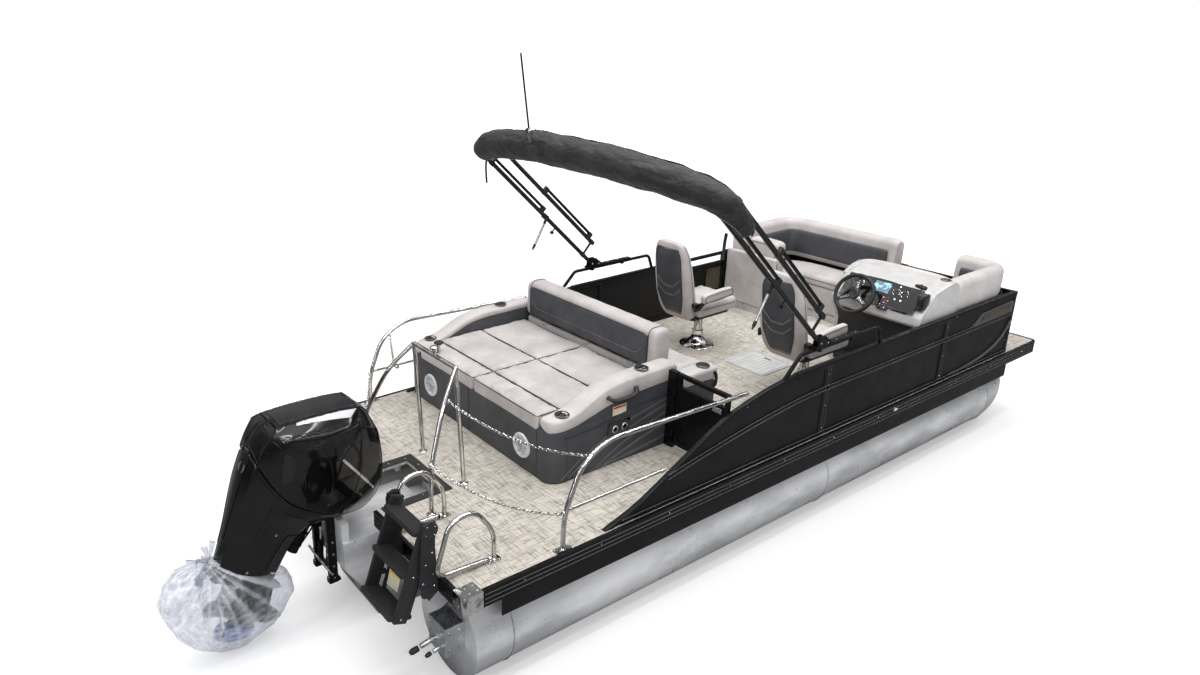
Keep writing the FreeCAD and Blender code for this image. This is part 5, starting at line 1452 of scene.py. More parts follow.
console_rings = [console_slice(CONSOLE_PORT - d, s) for d,
                 s in ((0.0, 0.955), (0.006, 0.98), (0.02, 0.995), (0.045, 1.0))]
console_rings += [console_slice(CONSOLE_PORT - 0.045 - 0.1 * i, 1.0) for i in range(1, 7)]
console_rings += [console_slice(CONSOLE_STARBOARD + d, s) for d,
                  s in ((0.04, 1.0), (0.012, 0.997), (0.0, 0.985))]
console = put("console_body", loft(console_rings), CONSOLE, sharp=32)
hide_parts("helm_console")
knee = prism([(4.653, 0.03), (4.645, 0.03), (4.645, 0.43), (4.60, 0.53), (4.572, 0.560), (4.58, 0.568),
              (4.653, 0.45)],
             "y", CONSOLE_STARBOARD + 0.05, CONSOLE_PORT - 0.05)
put("console_knee_panel", shifted(knee, 0, 0, DECK), MATTE, bevel=0.004)
put("console_foot_rest", moved(prism(rounded_rect(-0.012, 0.012, -0.30, 0.30, 0.008), "x", -0.12, 0.0),
                               Matrix.Translation((4.65, -0.80, DECK + 0.12))
                               @ Matrix.Rotation(math.radians(90), 4, "X")), MATTE, bevel=0.003)

# Brow: a padded roll along the front edge that turns down the port corner
brow_path = bent([(4.75, CONSOLE_PORT + 0.012, DECK + 0.800), (4.93, CONSOLE_PORT + 0.010, DECK + 0.862),
                  (5.085, CONSOLE_PORT - 0.01, DECK + 0.868), (5.100, -0.62, DECK + 0.874),
                  (5.105, -1.00, DECK + 0.872),
                  (5.095, CONSOLE_STARBOARD + 0.05, DECK + 0.862)], 0.10, 6)
brow_dense = [brow_path[0]]
for a, b in zip(brow_path, brow_path[1:]):
    count = max(1, round((b - a).length / 0.05))
    brow_dense += [a.lerp(b, i / count) for i in range(1, count + 1)]
brow_scale = [min(1.0, 0.62 + 0.38 * math.sqrt(min(1.0, min(i, len(brow_dense) - 1 - i) / 3)))
              for i in range(len(brow_dense))]
brow = sweep(brow_dense, [(a, b * 0.74) for a, b in circle(0.038, 14)], up=(0, 0, 1), scale=brow_scale)
cushion("console_brow", brow, CREAM)
put("console_brow_piping",
    sweep([p + Vector((-0.030, 0, -0.016)) for p in brow_dense[3:-2]], circle(0.0025, 6)), PIPING)

# The slope of the dash: (u, v) pairs lie on it, u from its lower edge up, v across from the port side
slope = math.atan2(0.19, 0.168)
DASH = Matrix.Translation((4.566, CONSOLE_PORT, DECK + 0.650)) @ Matrix.Rotation(-slope, 4, "Y")


def on_dash(u, v, lift=0.0):
    return DASH @ Vector((u, -v, lift))


def dash_plate(outline, low, high):
    """A flat piece on the dash whose outline is in (u, v)."""
    rings = [[on_dash(u, v, low) for u, v in outline], [on_dash(u, v, high) for u, v in outline]]
    return loft(rings if sum(p[0] * q[1] - q[0] * p[1] for p,
                             q in zip(outline, outline[1:] + outline[:1])) < 0
                else [r[::-1] for r in rings])


def rounded(points, radius, steps=5):
    """A closed flat outline with its corners rounded."""
    out = []
    count = len(points)
    for i in range(count):
        before, corner, after = [Vector((*points[(i + k) % count], 0)) for k in (-1, 0, 1)]
        a, b = before - corner, after - corner
        cut = min(radius, a.length * 0.48, b.length * 0.48)
        start, end = corner + a.normalized() * cut, corner + b.normalized() * cut
        for step in range(steps + 1):
            t = step / steps
            p = start * (1 - t) ** 2 + corner * 2 * t * (1 - t) + end * t * t
            out.append((p.x, p.y))
    return out


hood = rounded([(0.062, 0.100), (0.250, 0.115), (0.262, 0.40), (0.250, 0.60), (0.170, 0.72), (0.066, 0.70)],
               0.06)
put("dash_hood", dash_plate(hood, 0.002, 0.020), GLOSS, bevel=0.006, segments=3)
binnacle = rounded([(0.074, 0.115), (0.242, 0.130), (0.252, 0.40), (0.240, 0.585), (0.164, 0.700),
                    (0.078, 0.680)], 0.05)
put("dash_face", dash_plate(binnacle, 0.018, 0.024), MATTE, bevel=0.002)
put("dash_screen_frame",
    dash_plate(rounded([(0.118, 0.320), (0.240, 0.320), (0.240, 0.500), (0.118, 0.500)], 0.010),
               0.022, 0.034), GLOSS, bevel=0.003)
put("dash_screen", dash_plate([(0.131, 0.334), (0.227, 0.334), (0.227, 0.486), (0.131, 0.486)], 0.0335,
                              0.0348), SCREEN)
gauges = []
for v in (0.215, 0.548, 0.620):
    gauges.append(lathe(((0.034, 0.0), (0.034, 0.010), (0.030, 0.013), (0.027, 0.008), (0.0, 0.008)),
                        on_dash(0.165, v, 0.022), DASH.to_3x3() @ Vector((0, 0, 1)), 28))
put("dash_gauges", merged(*gauges), GLOSS, sharp=50)
gauge_rims = [sweep([on_dash(0.165 + 0.031 * math.cos(a), v + 0.031 * math.sin(a), 0.0345)
                     for a in [2 * math.pi * i / 28 for i in range(28)]], circle(0.0018, 5), closed=True)
              for v in (0.215, 0.548, 0.620)]
put("dash_gauge_rims", merged(*gauge_rims), CHROME)
knobs = [lathe(((0.011, 0), (0.011, 0.008), (0.008, 0.012), (0, 0.012)), on_dash(u, v, 0.022),
               DASH.to_3x3() @ Vector((0, 0, 1)), 14) for u,
         v in ((0.100, 0.565), (0.222, 0.560), (0.100, 0.615))]
put("dash_knobs", merged(*knobs), BRUSHED, sharp=50)
switch_bed = rounded([(-0.02, 0.452), (0.108, 0.452), (0.108, 0.538), (-0.02, 0.538)], 0.014)
put("switch_bed", dash_plate(switch_bed, 0.002, 0.030), GLOSS, bevel=0.003)
switches, marks = [], {"red": [], "blue": [], "pale": []}
for row in range(5):
    for column in range(3):
        u, v = -0.010 + 0.023 * row, 0.461 + 0.024 * column
        switches.append(dash_plate([(u, v), (u + 0.018, v), (u + 0.018, v + 0.020), (u, v + 0.020)], 0.029,
                                   0.035))
        kind = ("red", "blue", "pale")[(row * 2 + column) % 3]
        marks[kind].append(dash_plate([(u + 0.004, v + 0.004), (u + 0.012, v + 0.004), (u + 0.012, v + 0.015),
                                       (u + 0.004, v + 0.015)], 0.0345, 0.0358))
put("dash_switches", merged(*switches), MATTE, bevel=0.0015)
for kind, paint in (("red", RED), ("blue", BLUE), ("pale", STICKER)):
    put(f"dash_marks_{kind}", merged(*marks[kind]), paint)
side_bed = rounded([(0.005, 0.56), (0.040, 0.545), (0.050, 0.70), (0.020, 0.735), (0.000, 0.70)], 0.016)
put("dash_side_bed", dash_plate(side_bed, 0.002, 0.012), GLOSS, bevel=0.004)
lights = [lathe(((0.008, 0), (0.008, 0.004), (0.005, 0.006), (0, 0.006)), on_dash(0.028, v, 0.012),
                DASH.to_3x3() @ Vector((0, 0, 1)), 14) for v in (0.60, 0.635, 0.67, 0.70)]
put("dash_side_lights", merged(*lights), CLEAR)
put("console_cup", merged(lathe(((0.030, -0.01), (0.042, 0.0), (0.044, 0.004), (0.036, 0.009), (0.028, 0.002),
                                 (0.027, -0.01)),
                                (5.03, CONSOLE_STARBOARD + 0.08, DECK + 0.886), sides=28),
                          lathe(((0.0, 0), (0.026, 0), (0.026, 0.002), (0, 0.003)),
                                (5.03, CONSOLE_STARBOARD + 0.08, DECK + 0.885))),
    GLOSS, sharp=50)
acrylic = rounded([(4.735, 0.835), (4.94, 0.878), (4.93, 0.925), (4.79, 0.905)], 0.02)
put("console_acrylic",
    prism([(x, DECK + z) for x, z in acrylic], "y", CONSOLE_PORT - 0.030, CONSOLE_PORT - 0.026), CLEAR_SHEET)

# Throttle on the fence side, and the dark cover that hides the column
finish_cad("dash_panel", GLOSS, 0.003)
lever_base = pillow((4.592, -1.205, DECK + 0.715), (4.688, -1.145, DECK + 0.845), 0.012, 0.004, 0.0, 0.03,
                    wrinkle=0)
put("throttle_base", lever_base, GLOSS, sharp=80)
lever = [(4.63, -1.160, DECK + 0.80), (4.615, -1.158, DECK + 0.87), (4.605, -1.158, DECK + 0.905)]
put("throttle_arm", tube(lever, 0.009, 12, 0.03), CHROME)
grip = lathe(((0.0, 0), (0.014, 0.002), (0.018, 0.012), (0.0185, 0.05), (0.015, 0.085), (0.009, 0.098),
              (0, 0.1)),
             (4.603, -1.20, DECK + 0.908), (0.05, 1, 0.04), 18)
put("throttle_grip", grip, MATTE, sharp=80)

# Steering wheel: wrapped rim, three spokes with bright inlays, round boss
WHEEL = Matrix.Translation((4.5, -0.64, DECK + 0.735)) @ Matrix.Rotation(math.radians(-62), 4, "Y")
rim_ring = [Vector((0.168 * math.cos(a), 0.168 * math.sin(a), 0))
            for a in [2 * math.pi * i / 64 for i in range(64)]]
wraps = [sweep([p * (1 + 0.104 * math.cos(t)) + Vector((0, 0, 0.0175 * math.sin(t)))
                for t in [2 * math.pi * j / 12 for j in range(12)]], circle(0.0012, 5), closed=True)
         for p in rim_ring[::8]]
boss = lathe(((0.0, -0.02), (0.036, -0.02), (0.044, -0.004), (0.044, 0.010), (0.034, 0.020), (0.030, 0.018),
              (0, 0.020)),
             (0, 0, 0), sides=36)
spokes, inlays = [], []
for angle in (0, 122, 238):
    turn = Matrix.Rotation(math.radians(angle), 4, "Z")
    arm = loft([[(r, -w, -0.012 + d), (r, w, -0.012 + d), (r, w * 0.8, 0.002 + d), (r, -w * 0.8, 0.002 + d)]
                for r, w, d in ((0.030, 0.030, 0.0), (0.075, 0.022, -0.004), (0.125, 0.017, -0.002),
                                (0.163, 0.022, 0.002))])
    spokes.append(moved(arm, turn))
    inlay = loft([[(r, -w, 0.002 + d), (r, w, 0.002 + d), (r, w * 0.7, 0.0052 + d), (r, -w * 0.7, 0.0052 + d)]
                  for r, w, d in ((0.050, 0.016, -0.002), (0.085, 0.011, -0.004), (0.130, 0.006, -0.002))])
    inlays.append(moved(inlay, turn))
rim = moved(sweep(rim_ring, circle(0.0172, 16), closed=True), WHEEL)
wheel = put("wheel_rim", rim, MATTE, "wheel", sharp=80)
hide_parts("helm_wheel")
put("wheel_wraps", moved(merged(*wraps), WHEEL), PIPING, "wheel")
put("wheel_boss", moved(boss, WHEEL), MATTE, "wheel", sharp=50)
put("wheel_boss_ring", moved(sweep([(0.038 * math.cos(a), 0.038 * math.sin(a), 0.0175)
                                    for a in [2 * math.pi * i / 32 for i in range(32)]], circle(0.002, 6),
                                   closed=True),
                             WHEEL), CHROME, "wheel")
put("wheel_spokes", moved(merged(*spokes), WHEEL), GLOSS, "wheel", bevel=0.002)
put("wheel_inlays", moved(merged(*inlays), WHEEL), CHROME, "wheel", bevel=0.001)
put("wheel_shaft", moved(lathe(((0.02, -0.048), (0.02, -0.018), (0, -0.018)), (0, 0, 0)), WHEEL), MATTE,
    "wheel")

# Stern: rails, tow frame, hand loops and chains in polished tube

RAIL_Y = 1.25
RAIL_RADIUS = 0.016


def flange(x, y, radius=0.032):
    """A round foot with its weld and two screws."""
    plate = lathe(((radius, 0.0005), (radius, 0.006), (radius - 0.004, 0.009), (0.021, 0.010), (0.018, 0.015),
                   (0.016, 0.018)),
                  (x, y, DECK), sides=32)
    return merged(plate,
                  screws([(x + radius * 0.75, y, DECK + 0.0085), (x - radius * 0.75, y, DECK + 0.0085)],
                         (0, 0, 1), 0.005))


def collar(p, direction, radius=0.0195, length=0.024):
    """A weld collar where two tubes meet."""
    d = Vector(direction).normalized()
    start = Vector(p) - d * (length / 2)
    return lathe(((radius * 0.86, 0), (radius, length * 0.25), (radius, length * 0.75),
                  (radius * 0.86, length)),
                 start, d, 20)


rail_pieces = []
for side in (-1, 1):
    y = side * RAIL_Y
    upper = [(0.724, y, DECK + 0.008), (0.724, y, DECK + 0.23), (0.85, y, DECK + 0.54),
             (1.06, y, DECK + 0.65),
             (2.346, y, DECK + 0.602)]
    rail_pieces.append(sweep(bent(upper, 0.16, 9), circle(RAIL_RADIUS, 20)))
    rail_pieces.append(sweep([(0.748, y, DECK + 0.27), (1.578, y, DECK + 0.268)], circle(0.0098, 14)))
    rail_pieces += [collar((0.742, y, DECK + 0.27), (1, 0, 0), 0.013, 0.016),
                    collar((1.55, y, DECK + 0.268), (1, 0, 0), 0.014, 0.020)]
    edge = sorted((y - side * 0.028, side * 1.2695))
    rail_pieces.append(prism(rounded_rect(0.662, 0.788, edge[0], edge[1], 0.012), "z", DECK + 0.0005,
                             DECK + 0.008))
    rail_pieces.append(screws([(x, y - side * 0.018, DECK + 0.008) for x in (0.675, 0.775)], (0, 0, 1),
                              0.006))
    rail_pieces.append(lathe(((0.024, 0), (0.022, 0.006), (0.017, 0.011)), (0.724, y, DECK + 0.008),
                             sides=24))
    rail_pieces += [ball((0.934, y, DECK + 0.592), 0.014), ball((0.724, y, DECK + 0.262), 0.012)]
stern_tubes = put("stern_rail_tubes", merged(*rail_pieces), CHROME, sharp=45)
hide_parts("stern_rails")

tow_pieces = []
for side in (-1, 1):
    apex = (0.600, side * 0.27, DECK + 0.88)
    leg = [(0.268, side * 0.47, DECK + 0.008), (0.272, side * 0.467, DECK + 0.32),
           (0.434, side * 0.37, DECK + 0.69), apex]
    tow_pieces.append(sweep(bent(leg, 0.30, 12), circle(RAIL_RADIUS, 20)))
    tow_pieces.append(sweep([(0.650, side * 0.275, DECK + 0.008), apex], circle(RAIL_RADIUS, 20)))
    tow_pieces += [flange(0.268, side * 0.470), flange(0.650, side * 0.275), ball(apex, 0.0182, 20)]
    tow_pieces.append(collar((0.494, side * 0.345, DECK + 0.702), (0.5, -side * 0.3, 0.6), 0.0195, 0.018))
    tow_pieces.append(ball((0.494, side * 0.345, DECK + 0.700), 0.013))
    tow_pieces.append(ball((0.274, side * 0.466, DECK + 0.362), 0.012))
tow_pieces.append(sweep([(0.600, -0.27, DECK + 0.88), (0.600, 0.27, DECK + 0.88)], circle(RAIL_RADIUS, 20)))
tow_pieces.append(lathe(((0.016, 0), (0.020, 0.004), (0.020, 0.012), (0.012, 0.018), (0.012, 0.034),
                         (0.026, 0.040),
                         (0.028, 0.050), (0.018, 0.058), (0, 0.060)), (0.600, 0, DECK + 0.890), sides=28))
tow = put("tow_frame_tubes", merged(*tow_pieces), CHROME, sharp=45)
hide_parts("tow_frame")

loop_pieces = []
for y in (-1.087, -0.533):
    path = [(0.328, y, DECK + 0.008), (0.328, y, DECK + 0.20), (0.19, y, DECK + 0.39), (0.02, y, DECK + 0.37),
            (-0.085, y, DECK + 0.04), (0.27, y, DECK + 0.018)]
    loop_pieces.append(sweep(bent(path, 0.085, 9), circle(0.015, 20)))
    loop_pieces.append(prism(rounded_rect(0.272, 0.368, y - 0.029, y + 0.029, 0.014), "z", DECK + 0.0005,
                             DECK + 0.008))
    loop_pieces.append(screws([(x, y + s * 0.019, DECK + 0.008) for x in (0.285, 0.355) for s in (-1, 1)],
                              (0, 0, 1), 0.006))
    loop_pieces.append(lathe(((0.023, 0), (0.021, 0.005), (0.016, 0.010)), (0.328, y, DECK + 0.008),
                             sides=24))
    loop_pieces.append(collar((0.300, y, DECK + 0.0175), (1, 0, 0), 0.017, 0.02))
loops = put("hand_loop_tubes", merged(*loop_pieces), CHROME, sharp=45)
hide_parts("ladder_loops")


def chain(start, end, sag, link=0.034, wire=0.0032):
    """Oval links, each turned a quarter from the one before, along a hanging line."""
    a, b = Vector(start), Vector(end)

    def at(t):
        p = a.lerp(b, t)
        p.z -= sag * 4 * t * (1 - t)
        return p
    fine = [at(i / 400) for i in range(401)]
    reach, run = [0.0], 0.0
    for p, q in zip(fine, fine[1:]):
        run += (q - p).length
        reach.append(run)
    pitch = link - 2 * wire - 0.002
    count = int(run / pitch)
    pieces = []
    cursor = 0
    for i in range(count):
        middle = (i + 0.5) * run / count
        while reach[cursor] < middle:
            cursor += 1
        p = fine[cursor]
        tangent = (fine[min(cursor + 1, 400)] - fine[cursor - 1]).normalized()
        side = tangent.cross(Vector((0, 0, 1))).normalized()
        top = side.cross(tangent)
        wide = (side if i % 2 else top)
        half, bow = link / 2 - 0.0085 - wire, 0.0075
        oval = []
        for step in range(12):
            angle = 2 * math.pi * step / 12
            shift = half if math.cos(angle) > 0 else -half
            oval.append(p + tangent * (shift + bow * math.cos(angle)) + wide * (bow * math.sin(angle)))
        pieces.append(sweep(oval, circle(wire, 6), closed=True))
    return merged(*pieces)


chain_pieces = []
for side in (-1, 1):
    chain_pieces.append(chain((0.494, side * 0.345, DECK + 0.70), (0.926, side * RAIL_Y, DECK + 0.58), 0.09))
    chain_pieces.append(chain((0.272, side * 0.467, DECK + 0.36), (0.724, side * RAIL_Y, DECK + 0.25), 0.09))
    for spot in ((0.922, side * (RAIL_Y - 0.022), DECK + 0.578),
                 (0.722, side * (RAIL_Y - 0.022), DECK + 0.248)):
        chain_pieces.append(lathe(((0.004, 0), (0.010, 0.004), (0.010, 0.022), (0.004, 0.028)), spot,
                                  (0.1, side, 0.1), 14))
chains = put("stern_chain_links", merged(*chain_pieces), CHROME, sharp=60)
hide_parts("stern_chains")

# Boarding ladder on its bracket plates

LADDER = Matrix.Translation((-0.07, -0.81, DECK + 0.32)) @ Matrix.Rotation(math.radians(20), 4, "Y")
LADDER_BLACK = painted("ladder_black", (0.022, 0.0225, 0.024), 0.38)
for node in ("ladder", "ladder_extension", "ladder_bracket"):
    finish_cad(node, LADDER_BLACK, 0.0035)
tread_grips, tread_lips = [], []
for drop in (0.030, 0.290, 0.560):
    for i in range(7):
        x = -0.060 + 0.017 * i
        tread_grips.append(sweep([(x, -0.160, -drop + 0.0005), (x, 0.160, -drop + 0.0005)],
                                 circle(0.0022, 6)))
    tread_lips.append(prism([(-0.078, -drop - 0.028), (-0.071, -drop - 0.034), (-0.071, -drop + 0.002),
                             (-0.078, -drop)],
                            "y", -0.168, 0.168))
put("ladder_grips", moved(merged(*tread_grips), LADDER), MATTE, "ladder")
put("ladder_tread_lips", moved(merged(*tread_lips), LADDER), LADDER_BLACK, "ladder", bevel=0.002)
stringer_ribs = []
for side in (-1, 1):
    y = side * 0.1905
    for x in (-0.032, 0.032):
        stringer_ribs.append(sweep([(x, y, -0.56), (x, y, 0.0)],
                                   rounded_rect(-0.0025, 0.0025, -0.005, 0.005, 0.002, 2)))
    stringer_ribs.append(lathe(((0.030, 0), (0.030, 0.003), (0.024, 0.006), (0.012, 0.006), (0.010, 0.009),
                                (0, 0.009)),
                               (0, side * 0.1902, 0), (0, side, 0), 28))
put("ladder_ribs", moved(merged(*stringer_ribs), LADDER), LADDER_BLACK, "ladder")
ladder_bolts = []
for side in (-1, 1):
    ladder_bolts.append(screws([(0, side * 0.1915, z) for z in (-0.045, -0.305, -0.574)], (0, side, 0),
                               0.007))
put("ladder_bolts", moved(merged(*ladder_bolts), LADDER), CHROME, "ladder")
slide_grips = []
for drop in (0.100, 0.360, 0.572):
    for i in range(3):
        x = 0.068 + 0.010 * i
        slide_grips.append(sweep([(x, -0.135, -drop + 0.0005), (x, 0.135, -drop + 0.0005)],
                                 circle(0.0018, 6)))
put("ladder_slide_grips", moved(merged(*slide_grips), LADDER), MATTE, "ladder_slide")
label = Matrix.Translation((0.0575, 0.055, -0.466)) @ Matrix.Rotation(math.radians(-6), 4, "X")
put("ladder_label", moved(block(-0.0013, 0, -0.062, 0.062, -0.048, 0.048), LADDER @ label), STICKER,
    "ladder_slide",
    bevel=0.0004)
put("ladder_label_band", moved(block(-0.0019, -0.0012, -0.058, 0.058, 0.030, 0.044), LADDER @ label), YELLOW,
    "ladder_slide")
plate_dress, plate_screws = [], []
for side in (-1, 1):
    y = -0.81 + side * 0.214
    plate_dress.append(lathe(((0.052, 0), (0.052, 0.004), (0.046, 0.007), (0.026, 0.007), (0.022, 0.011),
                              (0, 0.011)),
                             (-0.07, y, DECK + 0.32), (0, side, 0), 36))
    plate_dress.append(lathe(((0.040, 0), (0.040, 0.003), (0.034, 0.005), (0, 0.005)),
                             (-0.105, y, DECK - 0.085), (0, side, 0), 32))
    plate_screws.append(screws([(-0.07 + 0.037 * math.cos(a), y + side * 0.006,
                                 DECK + 0.32 + 0.037 * math.sin(a))
                                for a in (0.6, 2.2, 3.8, 5.4)], (0, side, 0), 0.005))
    plate_screws.append(screws([(x, y, DECK + z) for x,
                                z in ((-0.05, -0.06), (-0.055, 0.02), (-0.105, 0.10), (-0.06, 0.17),
                                      (-0.125, -0.02))], (0, side, 0), 0.0065))
put("ladder_plate_discs", merged(*plate_dress), LADDER_BLACK, sharp=50)
put("ladder_plate_screws", merged(*plate_screws), CHROME)

# Canopy: arches and brackets stay on the hull, the folded bows and boot turn with their joint

finish_cad("canopy_arches", RAIL, 0.002)
bracket_bolts = []
for side in (-1, 1):
    y = side * 1.241
    for face in (-0.0245, 0.0245):
        bracket_bolts.append(screws([(3.12, y + face, DECK + 0.795), (3.20, y + face, DECK + 0.785)],
                                    (0, math.copysign(1, face), 0), 0.010))
    bracket_bolts.append(screws([(x, y, DECK + 0.7735) for x in (3.34, 3.46, 3.58)], (0, 0, 1), 0.006))
put("canopy_bracket_bolts", merged(*bracket_bolts), CHROME)
clamp = [block(x - 0.016, x + 0.016, side * 1.241 - 0.021, side * 1.241 + 0.021, DECK + 0.723, DECK + 0.764)
         for side in (-1, 1) for x in (3.13, 3.52)]
put("canopy_rail_clamps", merged(*clamp), RAIL, bevel=0.004)

BOW_LEAN = math.radians(137)
LEAN_DIR = Vector((math.cos(BOW_LEAN), 0, math.sin(BOW_LEAN)))
LEAN_SIDE = Vector((LEAN_DIR.z, 0, -LEAN_DIR.x))


def on_bow(along_bow, across, y):
    return Vector((3.12, y, DECK + 0.795)) + LEAN_DIR * along_bow + LEAN_SIDE * across


BOW_SECTION = rounded_rect(-0.0125, 0.0125, -0.0165, 0.0165, 0.004, 2)
arms, arm_highlight_lines, joints_of_arms, arm_caps = [], [], [], []
for side in (-1, 1):
    y = side * 1.241
    for start, end, across in ((0.0, 1.72, 0.0), (0.115, 1.62, 0.15)):
        path = [on_bow(start, across, y), on_bow(end, across, y - side * 0.006)]
        arms.append(sweep(path, BOW_SECTION, up=LEAN_SIDE))
        # Grey lines along the arm faces: painted highlights on their grooves.
        for face in (-1, 1):
            for lift in (-0.006, 0.006):
                arm_highlight_lines.append(sweep([on_bow(start + 0.02, across + lift, y + face * 0.0128),
                                      on_bow(end - 0.02, across + lift, y + face * 0.0128 - side * 0.006)],
                                     circle(0.0012, 5)))
    inner_start, inner_end = (0.86, 1.66) if side > 0 else (0.80, 1.60)
    for low, high, across in ((inner_start, inner_end, 0.046), (0.22, 0.95, 0.150 + 0.044)):
        yy = y - side * 0.002
        arms.append(sweep([on_bow(low, across, yy), on_bow(high, across, yy)],
                          rounded_rect(-0.010, 0.010, -0.011, 0.011, 0.003, 2), up=LEAN_SIDE))
        for t in (low, high):
            joints_of_arms.append(sweep([on_bow(t - 0.022, across - 0.024, yy),
                                         on_bow(t + 0.022, across - 0.024, yy)],
                                        rounded_rect(-0.016, 0.016, -0.038, 0.038, 0.006, 2), up=LEAN_SIDE))
    for t in (0.15, 1.58):
        arms.append(sweep([on_bow(t, 0.0, y), on_bow(t, 0.15, y)], circle(0.0105, 12)))
        for across in (0.0, 0.15):
            joints_of_arms.append(sweep([on_bow(t - 0.022, across, y), on_bow(t + 0.022, across, y)],
                                        rounded_rect(-0.0155, 0.0155, -0.0195, 0.0195, 0.005, 2),
                                        up=LEAN_SIDE))
    hub = on_bow(0, 0, y)
    arm_caps.append(lathe(((0.0065, -0.0125), (0.0175, -0.0125), (0.0175, 0.0125), (0.0065, 0.0125)), hub,
                          (0, 1, 0), 24))
    tip = on_bow(0.79, 0.0, y)
    joints_of_arms.append(sweep([on_bow(0.765, 0.0, y), on_bow(0.815, 0.0, y)],
                                rounded_rect(-0.0165, 0.0165, -0.022, 0.022, 0.006, 2), up=LEAN_SIDE))
    arm_caps.append(tube([tip, tip - Vector((0, side * 0.044, 0))], 0.006, 12, 0))
    arm_caps.append(lathe(((0.012, 0), (0.012, 0.003), (0.007, 0.005), (0, 0.005)),
                          tip - Vector((0, side * 0.044, 0)),
                          (0, -side, 0), 16))
    knob = on_bow(0.62, -0.018, y - side * 0.005)
    arm_caps.append(lathe(((0.006, 0), (0.006, 0.03), (0.016, 0.034), (0.017, 0.052), (0.010, 0.058),
                           (0, 0.058)), knob,
                          -LEAN_SIDE, 12))
bows = put("canopy_arms", merged(*arms, *arm_caps), RAIL, "canopy", bevel=0.0015)
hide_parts("canopy_bows")
put("canopy_arm_highlight_lines", merged(*arm_highlight_lines), painted("arm_painted_highlight", (0.06, 0.06, 0.062), 0.3), "canopy")
put("canopy_arm_joints", merged(*joints_of_arms), MATTE, "canopy", bevel=0.002)

# Boot: one long gathered cover, pulled in at its seam, wrinkled across and drawn to a point at the port end
BOOT_LINE = [(1.40, -1.255, 0.055), (1.56, -1.262, 0.065), (1.705, -1.20, 0.070), (1.79, -0.98, 0.072),
             (1.845, -0.68, 0.074),
             (1.885, -0.30, 0.075), (1.895, 0.10, 0.076), (1.885, 0.46, 0.076), (1.845, 0.80, 0.075),
             (1.80, 1.02, 0.073),
             (1.745, 1.17, 0.066), (1.70, 1.27, 0.056), (1.655, 1.318, 0.046)]
BOOT_SIZE = [0.070, 0.082, 0.096, 0.108, 0.114, 0.118, 0.119, 0.118, 0.118, 0.120, 0.116, 0.098, 0.060]


def boot_shape(columns=56):
    guide = smooth_path([on_bow(a, c, b) for a, b, c in BOOT_LINE], 14)
    sizes = smooth_path([(s, 0, 0) for s in BOOT_SIZE], 14)
    rings = []
    for i, p in enumerate(guide):
        t = i / (len(guide) - 1)
        tangent = (guide[min(i + 1, len(guide) - 1)] - guide[max(i - 1, 0)]).normalized()
        up = (Vector((0, 0, 1)) - tangent * tangent.z).normalized()
        out = tangent.cross(up)
        size = sizes[i].x
        near_pole = math.exp(-((p.y - 0.43) / 0.13) ** 2)
        ring = []
        for j in range(columns):
            a = 2 * math.pi * j / columns
            x, z = math.cos(a), math.sin(a)
            r = size * (1 + 0.05 * math.cos(2 * a + 0.4))
            twist = a * 1.15 + t * 46 + 1.8 * noise.noise(Vector((t * 9, a * 0.7, 0)))
            ridge = abs(math.sin(twist)) ** 0.6 - 0.55
            ripple = 0.5 + 0.5 * noise.noise(Vector((t * 16, x * 1.6, z * 1.6)))
            r += size * 0.075 * ridge * ripple
            r += size * 0.060 * noise.noise(Vector((t * 22, x * 2.1, z * 2.1)))
            r += size * 0.034 * noise.noise(Vector((t * 70, x * 5, z * 5)))
            r += size * 0.11 * near_pole * max(0.0, math.sin(a * 1.0)) * abs(math.sin(p.y * 62 + a * 2.5))
            seam = math.exp(-((math.atan2(math.sin(a - 1.25), math.cos(a - 1.25))) / 0.10) ** 2)
            r -= size * 0.055 * seam
            hem = math.exp(-((math.atan2(math.sin(a + 1.9), math.cos(a + 1.9))) / 0.16) ** 2)
            r += size * 0.045 * hem
            sagging = -0.010 * math.sin(math.pi * t) * (1 - z) * 0.5
            ring.append(p + out * (r * x) + up * (r * z * 0.96 + sagging))
        rings.append(ring)
    return rings


boot_rings = boot_shape()
boot = put("canopy_boot_cover", loft(boot_rings), CANVAS, "canopy", sharp=80, subdivide=1)
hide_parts("canopy_boot")
zip_line = [r[11] + (r[11] - sum(r, Vector()) / len(r)).normalized() * 0.004 for r in boot_rings[3:-3]]
put("boot_zip", sweep(zip_line, rounded_rect(-0.009, 0.009, -0.0022, 0.0022, 0.0015, 2)), CANVAS, "canopy")
put("boot_zip_teeth", stitches([p + Vector((0, 0, 0.0028)) for p in zip_line[::2]], 0.005, 0.004, 0.0016),
    MATTE, "canopy")
hem_line = [r[39] + (r[39] - sum(r, Vector()) / len(r)).normalized() * 0.0015 for r in boot_rings[4:-4]]
put("boot_hem_stitching", stitches(hem_line[::2], 0.010, 0.006, 0.0012), THREAD, "canopy")


